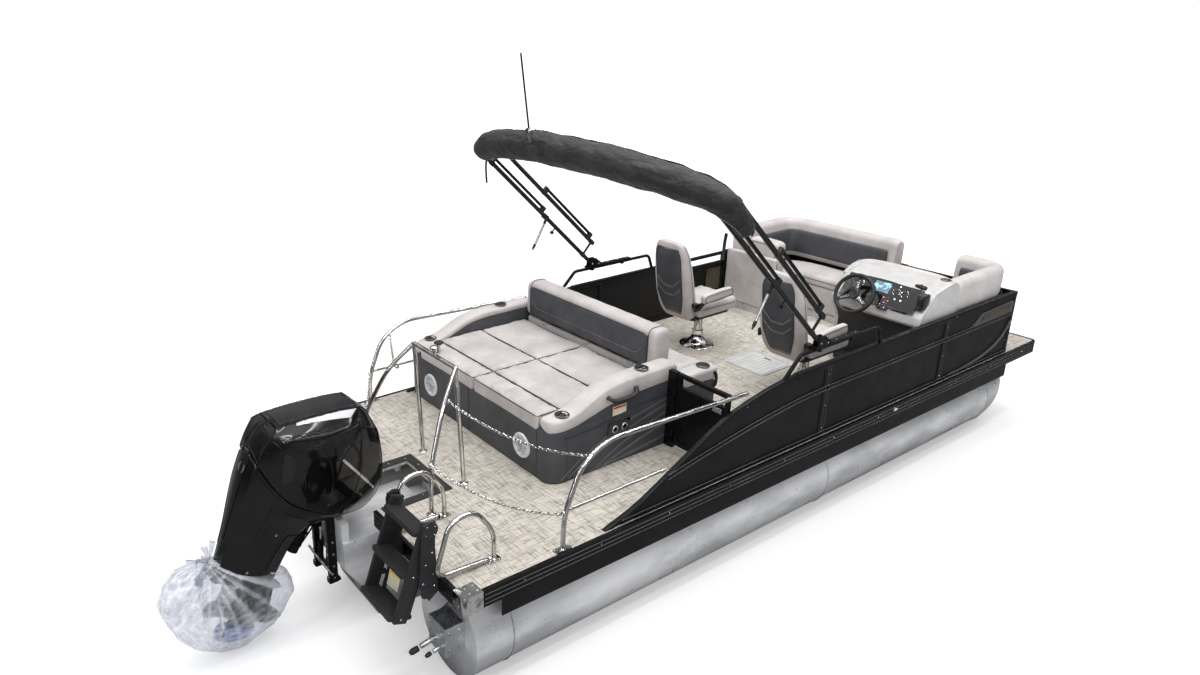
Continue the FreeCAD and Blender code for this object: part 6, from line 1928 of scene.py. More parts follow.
def flap(corners, thick, name, body):
    """A small piece of folded canvas between four corners, bowed and creased."""
    a, b, c, d = [Vector(p) for p in corners]
    normal = (b - a).cross(d - a).normalized()
    front, back = [], []
    for i in range(13):
        for j in range(9):
            u, v = i / 12, j / 8
            p = a.lerp(b, u).lerp(d.lerp(c, u), v)
            bend = 0.014 * math.sin(math.pi * u) + 0.006 * math.sin(7 * v + 4 * u)
            front.append(p + normal * (bend + thick))
            back.append(p + normal * (bend - thick))
    faces = []
    for i in range(12):
        for j in range(8):
            k = i * 9 + j
            faces.append([k, k + 9, k + 10, k + 1])
            faces.append([k + 117, k + 118, k + 127, k + 126])
    edge = list(range(9)) + [i * 9 + 8 for i in range(1, 13)] + [12 * 9 + j for j in range(7, -1, -1)]
    edge += [i * 9 for i in range(11, 0, -1)]
    for k, m in zip(edge, edge[1:] + edge[:1]):
        faces.append([k, m, m + 117, k + 117])
    piece = put(name, (front + back, faces), CANVAS, body, sharp=60)


flap([on_bow(1.80, 0.02, 1.17), on_bow(1.62, -0.02, 1.22), on_bow(1.56, 0.05, 1.315),
      on_bow(1.70, 0.10, 1.31)], 0.0025,
     "boot_end_flap_port", "canopy")
flap([on_bow(1.40, 0.115, -1.18), on_bow(1.50, 0.125, -1.18), on_bow(1.36, 0.10, -1.27),
      on_bow(1.32, 0.06, -1.27)], 0.0025,
     "boot_end_flap_starboard", "canopy")
pole_base = on_bow(1.88 + 0.115, 0.075, 0.40)
flap([pole_base + Vector((-0.055, -0.055, -0.035)), pole_base + Vector((0.045, -0.045, -0.035)),
      pole_base + Vector((0.026, 0.028, 0.052)), pole_base + Vector((-0.022, 0.032, 0.058))], 0.003,
     "boot_pole_flap", "canopy")
finish_cad("light_pole", RAIL, 0.002)
pole_tip = pole_base + Vector((-0.090, 0, 0.600))
put("pole_tip", ball(pole_tip, 0.0095, 14), CLEAR, "canopy", sharp=80)
put("pole_collar", lathe(((0.014, 0), (0.016, 0.006), (0.016, 0.024), (0.009, 0.034)),
                         pole_base + Vector((-0.004, 0, 0.030)),
                         Vector((-0.09, 0, 0.6)).normalized(), 20), CHROME, "canopy", sharp=50)

for name, top, drop, drift in (("port", on_bow(1.63, 0.0, 1.275), 0.20, 0.012),
                               ("starboard", on_bow(1.50, -0.045, -1.235), 0.17, -0.010)):
    line = cord_line([top + Vector((drift * t * t - 0.012 * t, 0.004 * math.sin(5 * t), -drop * t))
                      for t in (0, 0.18, 0.42, 0.7, 1)])
    section = rounded_rect(-0.0105, 0.0105, -0.0014, 0.0014, 0.001, 2)
    strap = put(f"boot_strap_{name}", sweep(line, section, up=(1, 0.3, 0)), CANVAS, "canopy", sharp=60)

# Braces: a bright tube with black ends, hanging from its pin
for name, side in (("port", 1), ("starboard", -1)):
    body = f"brace_{name}"
    y = side * (1.241 - 0.014 - 0.020)
    head = on_bow(0.79, 0, y)
    drop = Vector((-0.5, 0, -0.866)).normalized()
    rod_shape = sweep([head + drop * 0.055, head + drop * 0.270], circle(0.0105, 16))
    rod = put(f"brace_tube_{name}", rod_shape, BRUSHED, body, sharp=60)
    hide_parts(f"brace_{name}")
    ends = [lathe(((0.0062, -0.008), (0.016, -0.008), (0.016, 0.008), (0.0062, 0.008)), head, (0, 1, 0), 24),
            lathe(((0.011, 0.008), (0.0125, 0.02), (0.0125, 0.062), (0.0095, 0.066)), head, drop, 20),
            lathe(((0.0095, 0.262), (0.012, 0.268), (0.012, 0.300), (0.010, 0.306), (0.007, 0.308),
                   (0.007, 0.323),
                   (0, 0.325)), head, drop, 20)]
    put(f"brace_ends_{name}", merged(*ends), MATTE, body, sharp=50)

# Outboard. Its shapes are drawn upright, round the tilt axis, and then steered, tilted and placed.

ENGINE = (Matrix.Translation((-0.262, 0, 0.815)) @ Matrix.Rotation(math.radians(32), 4, "Y")
          @ Matrix.Translation((-0.09, 0, 0)) @ Matrix.Rotation(math.radians(4), 4, "Z")
          @ Matrix.Translation((0.09, 0, 0)))


def lacquer(name, color, rough):
    """Deep black lacquer that holds crisp reflections."""
    paint = Paint(name, color, rough=rough, coat=0.35, specular=0.30)
    haze = paint.spread(paint.noise(4, 4), 0.35, 0.7, 0, 1)
    paint.tint(haze, color, tuple(c * 1.6 + 0.0015 for c in color))
    paint.rough(paint.spread(paint.noise(9, 4), 0.3, 0.7, rough * 0.6, rough * 1.8))
    paint.bump(paint.noise(5, 2), 0.35, 0.012)
    paint.bump(paint.noise(420, 2), 0.05, 0.0003)
    return paint.material


LACQUER = lacquer("engine_lacquer", (0.0022, 0.0022, 0.0026), 0.06)
SATIN = lacquer("engine_satin", (0.0060, 0.0060, 0.0068), 0.20)
COWL_NET = (
    ((-0.700, 0, 0.440), (-0.685, 0.120, 0.433), (-0.50, 0.125, 0.545), (-0.33, 0.125, 0.640),
     (-0.185, 0.120, 0.712),
     (-0.118, 0.095, 0.700), (-0.100, 0, 0.704)),
    ((-0.728, 0, 0.400), (-0.702, 0.150, 0.385), (-0.625, 0.212, 0.405), (-0.40, 0.232, 0.490),
     (-0.18, 0.205, 0.632),
     (0.02, 0.150, 0.600), (0.05, 0, 0.602)),
    ((-0.738, 0, 0.345), (-0.712, 0.140, 0.318), (-0.618, 0.226, 0.300), (-0.35, 0.258, 0.345),
     (-0.05, 0.246, 0.400),
     (0.18, 0.172, 0.400), (0.22, 0, 0.382)),
    ((-0.744, 0, 0.298), (-0.709, 0.137, 0.250), (-0.580, 0.226, 0.165), (-0.345, 0.256, 0.140),
     (0.0, 0.243, 0.165),
     (0.25, 0.165, 0.195), (0.28, 0, 0.190)),
    ((-0.748, 0, 0.258), (-0.703, 0.131, 0.198), (-0.515, 0.214, 0.062), (-0.33, 0.236, 0.018),
     (-0.01, 0.218, 0.022),
     (0.18, 0.140, 0.060), (0.22, 0, 0.068)))
CREST = ((-0.50, 0, 0.556), (-0.33, 0, 0.652), (-0.185, 0, 0.724))


def full_ring(half):
    """Twelve points from seven: the aft centre, the port side forward, the front centre and back."""
    return [Vector(p) for p in half] + [Vector((p[0], -p[1], p[2])) for p in half[5:0:-1]]


def creased(name, shape, edges, paint, levels=4, body="engine"):
    """A closed subdivided skin that keeps the given edges sharp, with a tree for laying trim on it."""
    piece = put(name, shape, paint, body, sharp=180)
    mesh = piece.data
    crease = mesh.attributes.new("crease_edge", "FLOAT", "EDGE")
    for edge in mesh.edges:
        crease.data[edge.index].value = edges.get(tuple(sorted(edge.vertices)), 0.0)
    surface = piece.modifiers.new("surface", "SUBSURF")
    surface.levels = surface.render_levels = levels
    graph = bpy.context.evaluated_depsgraph_get()
    tree = BVHTree.FromObject(piece, graph)
    return piece, tree


def lay(tree, point, lift):
    """The point of the skin nearest to a drawn engine point, lifted off it."""
    where, normal, _, _ = tree.find_nearest(ENGINE @ Vector(point))
    return where + normal * lift


def lay_line(tree, points, radius, lift=0.0, steps=8):
    return sweep([lay(tree, p, lift) for p in smooth_path(points, steps)], circle(radius, 6))


def lay_plate(tree, corners, lift, rows=16, columns=8, thick=0.008, bulge=0.0, dish=0.0):
    """A thin four-cornered plate that follows the skin."""
    a, b, c, d = [Vector(p) for p in corners]
    top, low = [], []
    for i in range(rows + 1):
        for j in range(columns + 1):
            u, v = i / rows, j / columns
            p = a.lerp(b, u).lerp(d.lerp(c, u), v)
            crown = 16 * u * (1 - u) * v * (1 - v)
            top.append(lay(tree, p, lift + bulge * crown - dish * crown))
            low.append(lay(tree, p, lift - thick))
    faces = []
    count = len(top)
    size = columns + 1
    for i in range(rows):
        for j in range(columns):
            k = i * size + j
            faces.append([k, k + 1, k + size + 1, k + size])
            faces.append([count + k, count + k + size, count + k + size + 1, count + k + 1])
    edge = list(range(size)) + [i * size + columns for i in range(1, rows + 1)]
    edge += [rows * size + j for j in range(columns - 1, -1, -1)] + [i * size for i in range(rows - 1, 0, -1)]
    for a, b in zip(edge, edge[1:] + edge[:1]):
        faces.append([b, a, count + a, count + b])
    return top + low, faces


def two_sides(make, *arguments, **named):
    """The same trim on both flanks: corners are given for the port side."""
    port = make(*arguments, **named)
    tree, points = arguments[0], arguments[1]
    swapped = [(p[0], -p[1], p[2]) for p in points]
    other = make(tree, swapped, *arguments[2:], **named)
    return merged(port, other)


def cowl_shape():
    rings = [full_ring(row) for row in COWL_NET]
    points = [p for ring in rings for p in ring]
    faces = []
    for i in range(len(rings) - 1):
        for j in range(12):
            k = (j + 1) % 12
            faces.append([i * 12 + j, i * 12 + k, (i + 1) * 12 + k, (i + 1) * 12 + j][::-1])
    crest = [len(points) + i for i in range(3)]
    points += [Vector(p) for p in CREST]
    for side in (0, 1):
        a = [0, 1, 2, 3, 4, 5, 6] if side == 0 else [0, 11, 10, 9, 8, 7, 6]
        quads = [(a[0], a[1], a[2], crest[0]), (crest[0], a[2], a[3], crest[1]),
                 (crest[1], a[3], a[4], crest[2]),
                 (crest[2], a[4], a[5], a[6])]
        faces += [list(q) if side else list(q)[::-1] for q in quads]
    inner = [Vector(p) * 0.97 + Vector((-0.008, 0, 0.012)) for p in rings[-1]]
    base = len(points)
    points += inner
    last = (len(rings) - 1) * 12
    for j in range(12):
        k = (j + 1) % 12
        faces.append([last + j, last + k, base + k, base + j][::-1])
    faces.append([base + j for j in range(12)])
    creases = {}

    def mark(a, b, value):
        creases[tuple(sorted((a, b)))] = value
    for j in range(12):
        mark(j, (j + 1) % 12, 0.72)
        mark(12 + j, 12 + (j + 1) % 12, 0.62)
        mark(last + j, last + (j + 1) % 12, 0.95)
        mark(base + j, base + (j + 1) % 12, 0.8)
    for i in range(4):
        for j in (1, 11):
            mark(i * 12 + j, (i + 1) * 12 + j, 0.80 if i < 2 else 0.70)
        for j in (5, 7):
            mark(i * 12 + j, (i + 1) * 12 + j, 0.45)
    for j in (2, 10):
        mark(12 + j, 24 + j, 0.70)
    for j in (2, 3, 8, 9):
        mark(24 + j, 24 + j + 1, 0.35)
    return (points, faces), creases


shape, creases = cowl_shape()
cowl, cowl_tree = creased("cowl", moved(shape, ENGINE), creases, LACQUER)
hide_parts("engine_cowl")
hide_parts("engine_powerhead")

# Lower covers and leg below the seam, in one creased skin
LEG_NET = (
    ((-0.741, 0, 0.249), (-0.697, 0.128, 0.190), (-0.511, 0.209, 0.055), (-0.33, 0.231, 0.011),
     (-0.01, 0.213, 0.015),
     (0.176, 0.137, 0.053), (0.215, 0, 0.060)),
    ((-0.722, 0, 0.060), (-0.680, 0.116, 0.020), (-0.505, 0.196, -0.030), (-0.32, 0.212, -0.060),
     (-0.10, 0.178, -0.058),
     (0.03, 0.110, -0.035), (0.06, 0, -0.030)),
    ((-0.682, 0, -0.130), (-0.642, 0.092, -0.140), (-0.490, 0.150, -0.160), (-0.33, 0.150, -0.170),
     (-0.20, 0.120, -0.165),
     (-0.146, 0.080, -0.160), (-0.142, 0, -0.160)),
    ((-0.628, 0, -0.330), (-0.600, 0.058, -0.340), (-0.48, 0.110, -0.350), (-0.34, 0.112, -0.350),
     (-0.22, 0.086, -0.350),
     (-0.150, 0.056, -0.350), (-0.143, 0, -0.350)),
    ((-0.588, 0, -0.560), (-0.562, 0.050, -0.560), (-0.46, 0.086, -0.560), (-0.34, 0.090, -0.560),
     (-0.22, 0.070, -0.560),
     (-0.140, 0.044, -0.560), (-0.125, 0, -0.560)))


def leg_shape():
    rings = [full_ring(row) for row in LEG_NET]
    points = [p for ring in rings for p in ring]
    faces = []
    for i in range(len(rings) - 1):
        for j in range(12):
            k = (j + 1) % 12
            faces.append([i * 12 + j, i * 12 + k, (i + 1) * 12 + k, (i + 1) * 12 + j][::-1])
    faces.append(list(range(12)))
    last = (len(rings) - 1) * 12
    faces.append([last + j for j in range(12)][::-1])
    creases = {}
    for j in range(12):
        creases[tuple(sorted((j, (j + 1) % 12)))] = 0.95
        creases[tuple(sorted((last + j, last + (j + 1) % 12)))] = 0.9
        if j in (2, 3, 8, 9):
            creases[tuple(sorted((12 + j, 12 + (j + 1) % 12)))] = 0.55
    for i in range(4):
        for j in (1, 11):
            creases[(i * 12 + j, (i + 1) * 12 + j)] = 0.75
    for j in (2, 10):
        creases[(12 + j, 24 + j)] = 0.7
        creases[(24 + j, 36 + j)] = 0.7
        creases[(36 + j, 48 + j)] = 0.5
    return (points, faces), creases


shape, creases = leg_shape()
leg, leg_tree = creased("leg_skin", moved(shape, ENGINE), creases, LACQUER)
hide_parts("engine_leg")


# Trim laid on the cowl: the seam, the bright side vents, the ribbed recess under each, scoops and facets
seam_half = [(-0.748, 0.002, 0.258), (-0.735, 0.070, 0.240), (-0.703, 0.131, 0.198), (-0.60, 0.180, 0.120),
             (-0.515, 0.214, 0.062),
             (-0.42, 0.229, 0.034), (-0.33, 0.236, 0.018), (-0.17, 0.232, 0.014), (-0.01, 0.218, 0.022),
             (0.10, 0.187, 0.040),
             (0.18, 0.140, 0.060), (0.215, 0.070, 0.067), (0.220, 0.002, 0.068)]
put("cowl_seam", two_sides(lay_line, cowl_tree, seam_half, 0.0015, -0.0004), MATTE, "engine")
VENT = [(-0.600, 0.150, 0.553), (-0.212, 0.137, 0.702), (-0.247, 0.172, 0.646), (-0.598, 0.172, 0.528)]
put("vent_frames", two_sides(lay_plate, cowl_tree, VENT, 0.0065, 28, 6, 0.010),
    painted("vent_silver", (0.40, 0.41, 0.43), 0.3, 0.6),
    "engine", bevel=0.0015)
VENT_BED = [(-0.575, 0.1555, 0.553), (-0.235, 0.1440, 0.687), (-0.262, 0.1690, 0.645),
            (-0.575, 0.1680, 0.539)]
put("vent_beds", two_sides(lay_plate, cowl_tree, VENT_BED, 0.0115, 28, 4, 0.008), MATTE, "engine")


def mesh_bars(tree, corners):
    a, b, c, d = [Vector(p) for p in corners]
    bars = []
    for i in range(45):
        u = i / 44
        low, high = a.lerp(b, u), d.lerp(c, u)
        bars.append(sweep([lay(tree, low.lerp(high, t), 0.0123) for t in (0, 0.33, 0.66, 1)],
                          circle(0.0008, 4)))
    for v in (0.0, 0.33, 0.66, 1.0):
        line = [lay(tree, a.lerp(b, i / 20).lerp(d.lerp(c, i / 20), v), 0.0123) for i in range(21)]
        bars.append(sweep(line, circle(0.0009, 4)))
    return merged(*bars)


put("vent_mesh", two_sides(mesh_bars, cowl_tree, VENT_BED), painted("mesh_grey", (0.10, 0.10, 0.105), 0.35),
    "engine")
RECESS = [(-0.635, 0.205, 0.440), (-0.235, 0.190, 0.625), (-0.225, 0.215, 0.580), (-0.560, 0.226, 0.380)]
ribs = []
for side in (-1, 1):
    a, b, c, d = [Vector((p[0], side * p[1], p[2])) for p in RECESS]
    for j in range(8):
        v = 0.04 + 0.92 * j / 7
        sag = Vector((0.03, 0, -0.045)) * v
        line = [a.lerp(d, v).lerp(b.lerp(c, v), t) + sag * math.sin(math.pi * t)
                for t in [i / 24 for i in range(25)]]
        ribs.append(sweep([lay(cowl_tree, p, 0.0015) for p in line], circle(0.0034, 6)))
put("recess_ribs", merged(*ribs), SATIN, "engine")
ledge = [(-0.690, 0.165, 0.400), (-0.640, 0.208, 0.385), (-0.560, 0.228, 0.362), (-0.480, 0.235, 0.395),
         (-0.37, 0.232, 0.490),
         (-0.26, 0.222, 0.565), (-0.185, 0.205, 0.628)]
put("cowl_ledges", two_sides(lay_line, cowl_tree, ledge, 0.0042, 0.0010, 10), LACQUER, "engine")
SCOOP = [(-0.622, 0.228, 0.322), (-0.540, 0.240, 0.325), (-0.490, 0.248, 0.190), (-0.545, 0.240, 0.130)]
put("cowl_scoops", two_sides(lay_plate, cowl_tree, SCOOP, 0.0050, 14, 8, 0.010, 0.0, 0.010), SATIN, "engine",
    bevel=0.0015)
FACET = [(-0.165, 0.200, 0.560), (0.020, 0.160, 0.540), (0.120, 0.180, 0.400), (-0.190, 0.240, 0.410)]
put("cowl_front_facets", two_sides(lay_plate, cowl_tree, FACET, 0.0042, 14, 10, 0.008), LACQUER, "engine",
    bevel=0.002)
REAR_FACET = [(-0.716, 0.030, 0.418), (-0.706, 0.132, 0.380), (-0.712, 0.138, 0.235), (-0.738, 0.060, 0.262)]
put("cowl_rear_facets", two_sides(lay_plate, cowl_tree, REAR_FACET, 0.0042, 10, 8, 0.008), LACQUER, "engine",
    bevel=0.002)
CORNER_FACET = [(-0.690, 0.160, 0.365), (-0.640, 0.205, 0.350), (-0.560, 0.222, 0.150),
                (-0.680, 0.150, 0.215)]
put("cowl_corner_facets", two_sides(lay_plate, cowl_tree, CORNER_FACET, 0.0036, 12, 8, 0.008), LACQUER,
    "engine", bevel=0.002)
PINSTRIPE = [(-0.215, 0.255, 0.395), (0.175, 0.205, 0.245), (0.168, 0.206, 0.232), (-0.222, 0.256, 0.380)]
put("cowl_pinstripes", two_sides(lay_plate, cowl_tree, PINSTRIPE, 0.0012, 24, 2, 0.003), BRUSHED, "engine")
ridges = [[(-0.685, 0.120, 0.433), (-0.50, 0.125, 0.545), (-0.33, 0.125, 0.640), (-0.185, 0.120, 0.712),
           (-0.118, 0.095, 0.700)],
          [(-0.688, 0.124, 0.425), (-0.702, 0.150, 0.385), (-0.712, 0.140, 0.318), (-0.709, 0.137, 0.250),
           (-0.703, 0.131, 0.203)],
          [(-0.625, 0.212, 0.405), (-0.618, 0.226, 0.300), (-0.580, 0.226, 0.165), (-0.515, 0.214, 0.068)],
          [(-0.185, 0.122, 0.708), (-0.180, 0.205, 0.632), (-0.050, 0.246, 0.400), (0.0, 0.243, 0.165),
           (-0.010, 0.218, 0.028)],
          [(-0.118, 0.097, 0.696), (0.020, 0.150, 0.600), (0.180, 0.172, 0.400), (0.250, 0.165, 0.195),
           (0.180, 0.140, 0.066)]]
put("cowl_ridges", merged(*[two_sides(lay_line, cowl_tree, p, 0.0032, -0.0012, 10) for p in ridges]), LACQUER,
    "engine")
side_lines = [[(-0.500, 0.236, 0.300), (-0.42, 0.250, 0.210), (-0.36, 0.250, 0.110), (-0.32, 0.240, 0.030)],
              [(-0.380, 0.245, 0.430), (-0.28, 0.256, 0.330), (-0.20, 0.256, 0.200), (-0.16, 0.240, 0.060)],
              [(0.205, 0.165, 0.330), (0.10, 0.215, 0.240), (0.0, 0.240, 0.150), (-0.06, 0.230, 0.050)]]
put("cowl_crease_lines", merged(*[two_sides(lay_line, cowl_tree, p, 0.0020, -0.0002) for p in side_lines]),
    LACQUER, "engine")
TOP_PANEL = [(-0.660, 0.098, 0.452), (-0.205, 0.100, 0.705), (-0.205, -0.100, 0.705), (-0.660, -0.098, 0.452)]
put("cowl_top_panel", lay_plate(cowl_tree, TOP_PANEL, 0.0045, 24, 12, 0.010), SATIN, "engine", bevel=0.003)
badge_at = (-0.735, -0.012, 0.120)
badge_place = lay(leg_tree, badge_at, 0.0)
badge_normal = leg_tree.find_nearest(ENGINE @ Vector(badge_at))[1]
badge = lathe(((0.0, 0.002), (0.024, 0.002), (0.026, 0.005), (0.033, 0.005), (0.035, 0.002), (0.035, -0.004)),
              badge_place, badge_normal, 40)
put("cowl_badge", badge, BRUSHED, "engine", sharp=50)

# Trim on the leg: the flank wedges, the second crease, a side cover and its bolts
WEDGE = [(-0.690, 0.128, 0.150), (-0.500, 0.212, 0.030), (-0.545, 0.130, -0.250), (-0.600, 0.060, -0.400)]
put("leg_wedges", two_sides(lay_plate, leg_tree, WEDGE, 0.0060, 22, 10, 0.012, 0.0, 0.010), LACQUER, "engine",
    bevel=0.002)
REAR_COVER = [(-0.735, 0.058, 0.190), (-0.735, -0.058, 0.190), (-0.625, -0.022, -0.340),
              (-0.625, 0.022, -0.340)]
put("leg_rear_cover", lay_plate(leg_tree, REAR_COVER, 0.0050, 24, 8, 0.010), LACQUER, "engine", bevel=0.002)
leg_lines = [[(-0.40, 0.216, 0.010), (-0.395, 0.214, -0.064), (-0.43, 0.190, -0.137), (-0.460, 0.150, -0.264),
              (-0.443, 0.100, -0.460)],
             [(-0.470, 0.214, -0.020), (-0.400, 0.212, -0.040), (-0.330, 0.210, -0.050),
              (-0.24, 0.200, -0.046)],
             [(-0.330, 0.160, -0.120), (-0.300, 0.130, -0.250), (-0.290, 0.110, -0.400),
              (-0.290, 0.090, -0.530)]]
put("leg_crease_lines", merged(*[two_sides(lay_line, leg_tree, p, 0.0026, 0.0) for p in leg_lines]), LACQUER,
    "engine")
leg_ridges = [[(-0.697, 0.128, 0.186), (-0.680, 0.116, 0.020), (-0.642, 0.092, -0.140),
               (-0.600, 0.058, -0.340), (-0.562, 0.050, -0.540)],
              [(-0.511, 0.209, 0.050), (-0.505, 0.196, -0.030), (-0.490, 0.150, -0.160),
               (-0.480, 0.110, -0.350), (-0.460, 0.086, -0.540)]]
put("leg_ridges", merged(*[two_sides(lay_line, leg_tree, p, 0.0032, -0.0012, 10) for p in leg_ridges]),
    LACQUER, "engine")
COVER = [(-0.270, 0.130, -0.200), (-0.180, 0.100, -0.200), (-0.170, 0.070, -0.480), (-0.270, 0.090, -0.480)]
put("leg_side_covers", two_sides(lay_plate, leg_tree, COVER, 0.0060, 14, 6, 0.012), SATIN, "engine",
    bevel=0.003)
leg_bolts = []
for side in (-1, 1):
    for x, z in ((-0.25, -0.215), (-0.19, -0.30), (-0.25, -0.46), (-0.185, -0.44), (-0.36, -0.20),
                 (-0.40, -0.50)):
        where, normal, _, _ = leg_tree.find_nearest(ENGINE @ Vector((x, side * 0.11, z)))
        leg_bolts.append(lathe(((0.009, -0.004), (0.009, 0.006), (0.007, 0.009), (0.0, 0.009)), where, normal,
                               12))
put("leg_bolts", merged(*leg_bolts), BRUSHED, "engine", sharp=50)

# Gearcase, guard, propeller, swivel and clamps: the CAD metalwork, finished, with its bolts and trim rams
GREY_GEAR = lacquer("gearcase_black", (0.010, 0.010, 0.011), 0.16)
finish_cad("engine_gearcase", GREY_GEAR, 0.004)
guard_rings = []
for x, half, low, high in ((-0.356, 0.004, -0.985, -0.925), (-0.348, 0.030, -1.004, -0.915),
                           (-0.322, 0.050, -1.012, -0.905),
                           (-0.27, 0.058, -1.014, -0.898), (-0.19, 0.052, -1.006, -0.892),
                           (-0.12, 0.036, -0.975, -0.890),
                           (-0.095, 0.018, -0.940, -0.892), (-0.088, 0.003, -0.915, -0.896)):
    guard_rings.append([(x, half * math.copysign(abs(math.cos(a)) ** 0.7, math.cos(a)),
                         (low + high) / 2 + (high - low) / 2
                         * math.copysign(abs(math.sin(a)) ** 0.7, math.sin(a)))
                        for a in [2 * math.pi * i / 28 for i in range(28)]])
guard = put("skeg_shoe", moved(loft(guard_rings), ENGINE), BLUE, "engine", sharp=70,
            subdivide=1)
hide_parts("skeg_guard")
finish_cad("propeller", BRUSHED, 0.003)
finish_cad("engine_swivel", BLACK_METAL, 0.003)
finish_cad("engine_clamp", BLACK_METAL, 0.004)
SWIVEL = Matrix.Translation((-0.262, 0, 0.815)) @ Matrix.Rotation(math.radians(32), 4, "Y")
swivel_dress = []
for z in (-0.03, -0.12, -0.21, -0.30):
    swivel_dress.append(lathe(((0.045, -0.010), (0.050, -0.006), (0.050, 0.006), (0.045, 0.010)),
                              (-0.09, 0, z), sides=32))
for side in (-1, 1):
    swivel_dress.append(tube([(-0.05, side * 0.052, -0.02), (-0.055, side * 0.056, -0.16),
                              (-0.075, side * 0.046, -0.30)],
                             0.006, 10, 0.04))
    swivel_dress.append(lathe(((0.034, 0), (0.034, 0.004), (0.026, 0.008), (0.014, 0.008), (0.012, 0.013),
                               (0, 0.013)),
                              (0, side * 0.090, 0), (0, side, 0), 32))
put("swivel_dress", moved(merged(*swivel_dress), SWIVEL), BLACK_METAL, "swivel", sharp=50)
clamp_dress, clamp_bolts = [], []
for side in (-1, 1):
    y = side * 0.112
    outer = y + side * 0.0165
    clamp_dress.append(prism([(-0.318, 0.35), (-0.300, 0.35), (-0.300, 0.72), (-0.318, 0.70)], "y",
                             min(outer, outer + side * 0.008), max(outer, outer + side * 0.008)))
    clamp_dress.append(lathe(((0.037, 0), (0.037, 0.006), (0.030, 0.010), (0.018, 0.010), (0.016, 0.018),
                              (0, 0.018)),
                             (-0.262, outer - side * 0.001, 0.815), (0, side, 0), 36))
    for z in (0.33, 0.42, 0.51, 0.60):
        clamp_bolts.append(lathe(((0.014, 0), (0.014, 0.003), (0.010, 0.004), (0.010, 0.006), (0.008, 0.007),
                                  (0, 0.007)),
                                 (-0.3225, y, z), (-1, 0, 0), 6 if z in (0.42, 0.60) else 16))
        clamp_bolts.append(lathe(((0.009, 0), (0.009, 0.006), (0, 0.007)), (-0.290, outer, z), (0, side, 0),
                                 12))
    foot = prism([(-0.330, 0.292), (-0.245, 0.292), (-0.245, 0.312), (-0.270, 0.340), (-0.330, 0.330)], "y",
                 y - 0.022, y + 0.022)
    clamp_dress.append(foot)
put("clamp_dress", merged(*clamp_dress), BLACK_METAL, bevel=0.003)
put("clamp_bolts", merged(*clamp_bolts), CHROME, sharp=40)
ram_shapes, ram_rods = [], []
for side in (-1, 1):
    y = side * 0.064
    low, high = Vector((-0.300, y, 0.360)), Vector((-0.286, y, 0.560))
    axis = (high - low).normalized()
    ram_shapes.append(lathe(((0, 0), (0.018, 0), (0.020, 0.004), (0.020, 0.150), (0.016, 0.156), (0, 0.157)),
                            low, axis, 24))
    ram_rods.append(lathe(((0.008, 0.150), (0.008, 0.235), (0.013, 0.238), (0.013, 0.258), (0, 0.262)), low,
                          axis, 18))
put("trim_rams", merged(*ram_shapes), BLACK_METAL, sharp=50)
put("trim_rods", merged(*ram_rods), CHROME, sharp=50)
crossbar = tube([(-0.292, -0.118, 0.352), (-0.292, 0.118, 0.352)], 0.014, 18, 0)
put("clamp_crossbar", crossbar, BLACK_METAL)
tie_bar = [(-0.335, -0.21, 0.420), (-0.335, -0.10, 0.414), (-0.334, 0.10, 0.414), (-0.334, 0.17, 0.420)]
put("steering_bar", tube(tie_bar, 0.009, 12, 0.02), CHROME)

# Bag: a clear sheet gathered to a knot at the aft side of the leg, hanging full of folds
BAG_STATIONS = ((-0.484, -0.045, -0.620, 0.078), (-0.540, 0.035, -0.735, 0.128),
                (-0.610, 0.070, -0.812, 0.170),
       (-0.720, 0.062, -0.838, 0.196), (-0.830, 0.040, -0.815, 0.188), (-0.930, -0.035, -0.730, 0.150),
                (-1.015, -0.080, -0.610, 0.110), (-1.064, -0.170, -0.500, 0.075))
BAG_KNOT = Vector((-0.628, -0.012, -0.492))


def bag_at(z):
    z = min(max(z, BAG_STATIONS[-1][0]), BAG_STATIONS[0][0])
    for high, low in zip(BAG_STATIONS, BAG_STATIONS[1:]):
        if z >= low[0]:
            t = (z - high[0]) / (low[0] - high[0])
            return [a + (b - a) * t for a, b in zip(high[1:], low[1:])]
    return BAG_STATIONS[-1][1:]


def pleat(angle, count, drift, power):
    """Thin-crested folds: near 0 in the hollows, 1 along the crests."""
    return (0.5 + 0.5 * math.sin(angle * count + drift)) ** power


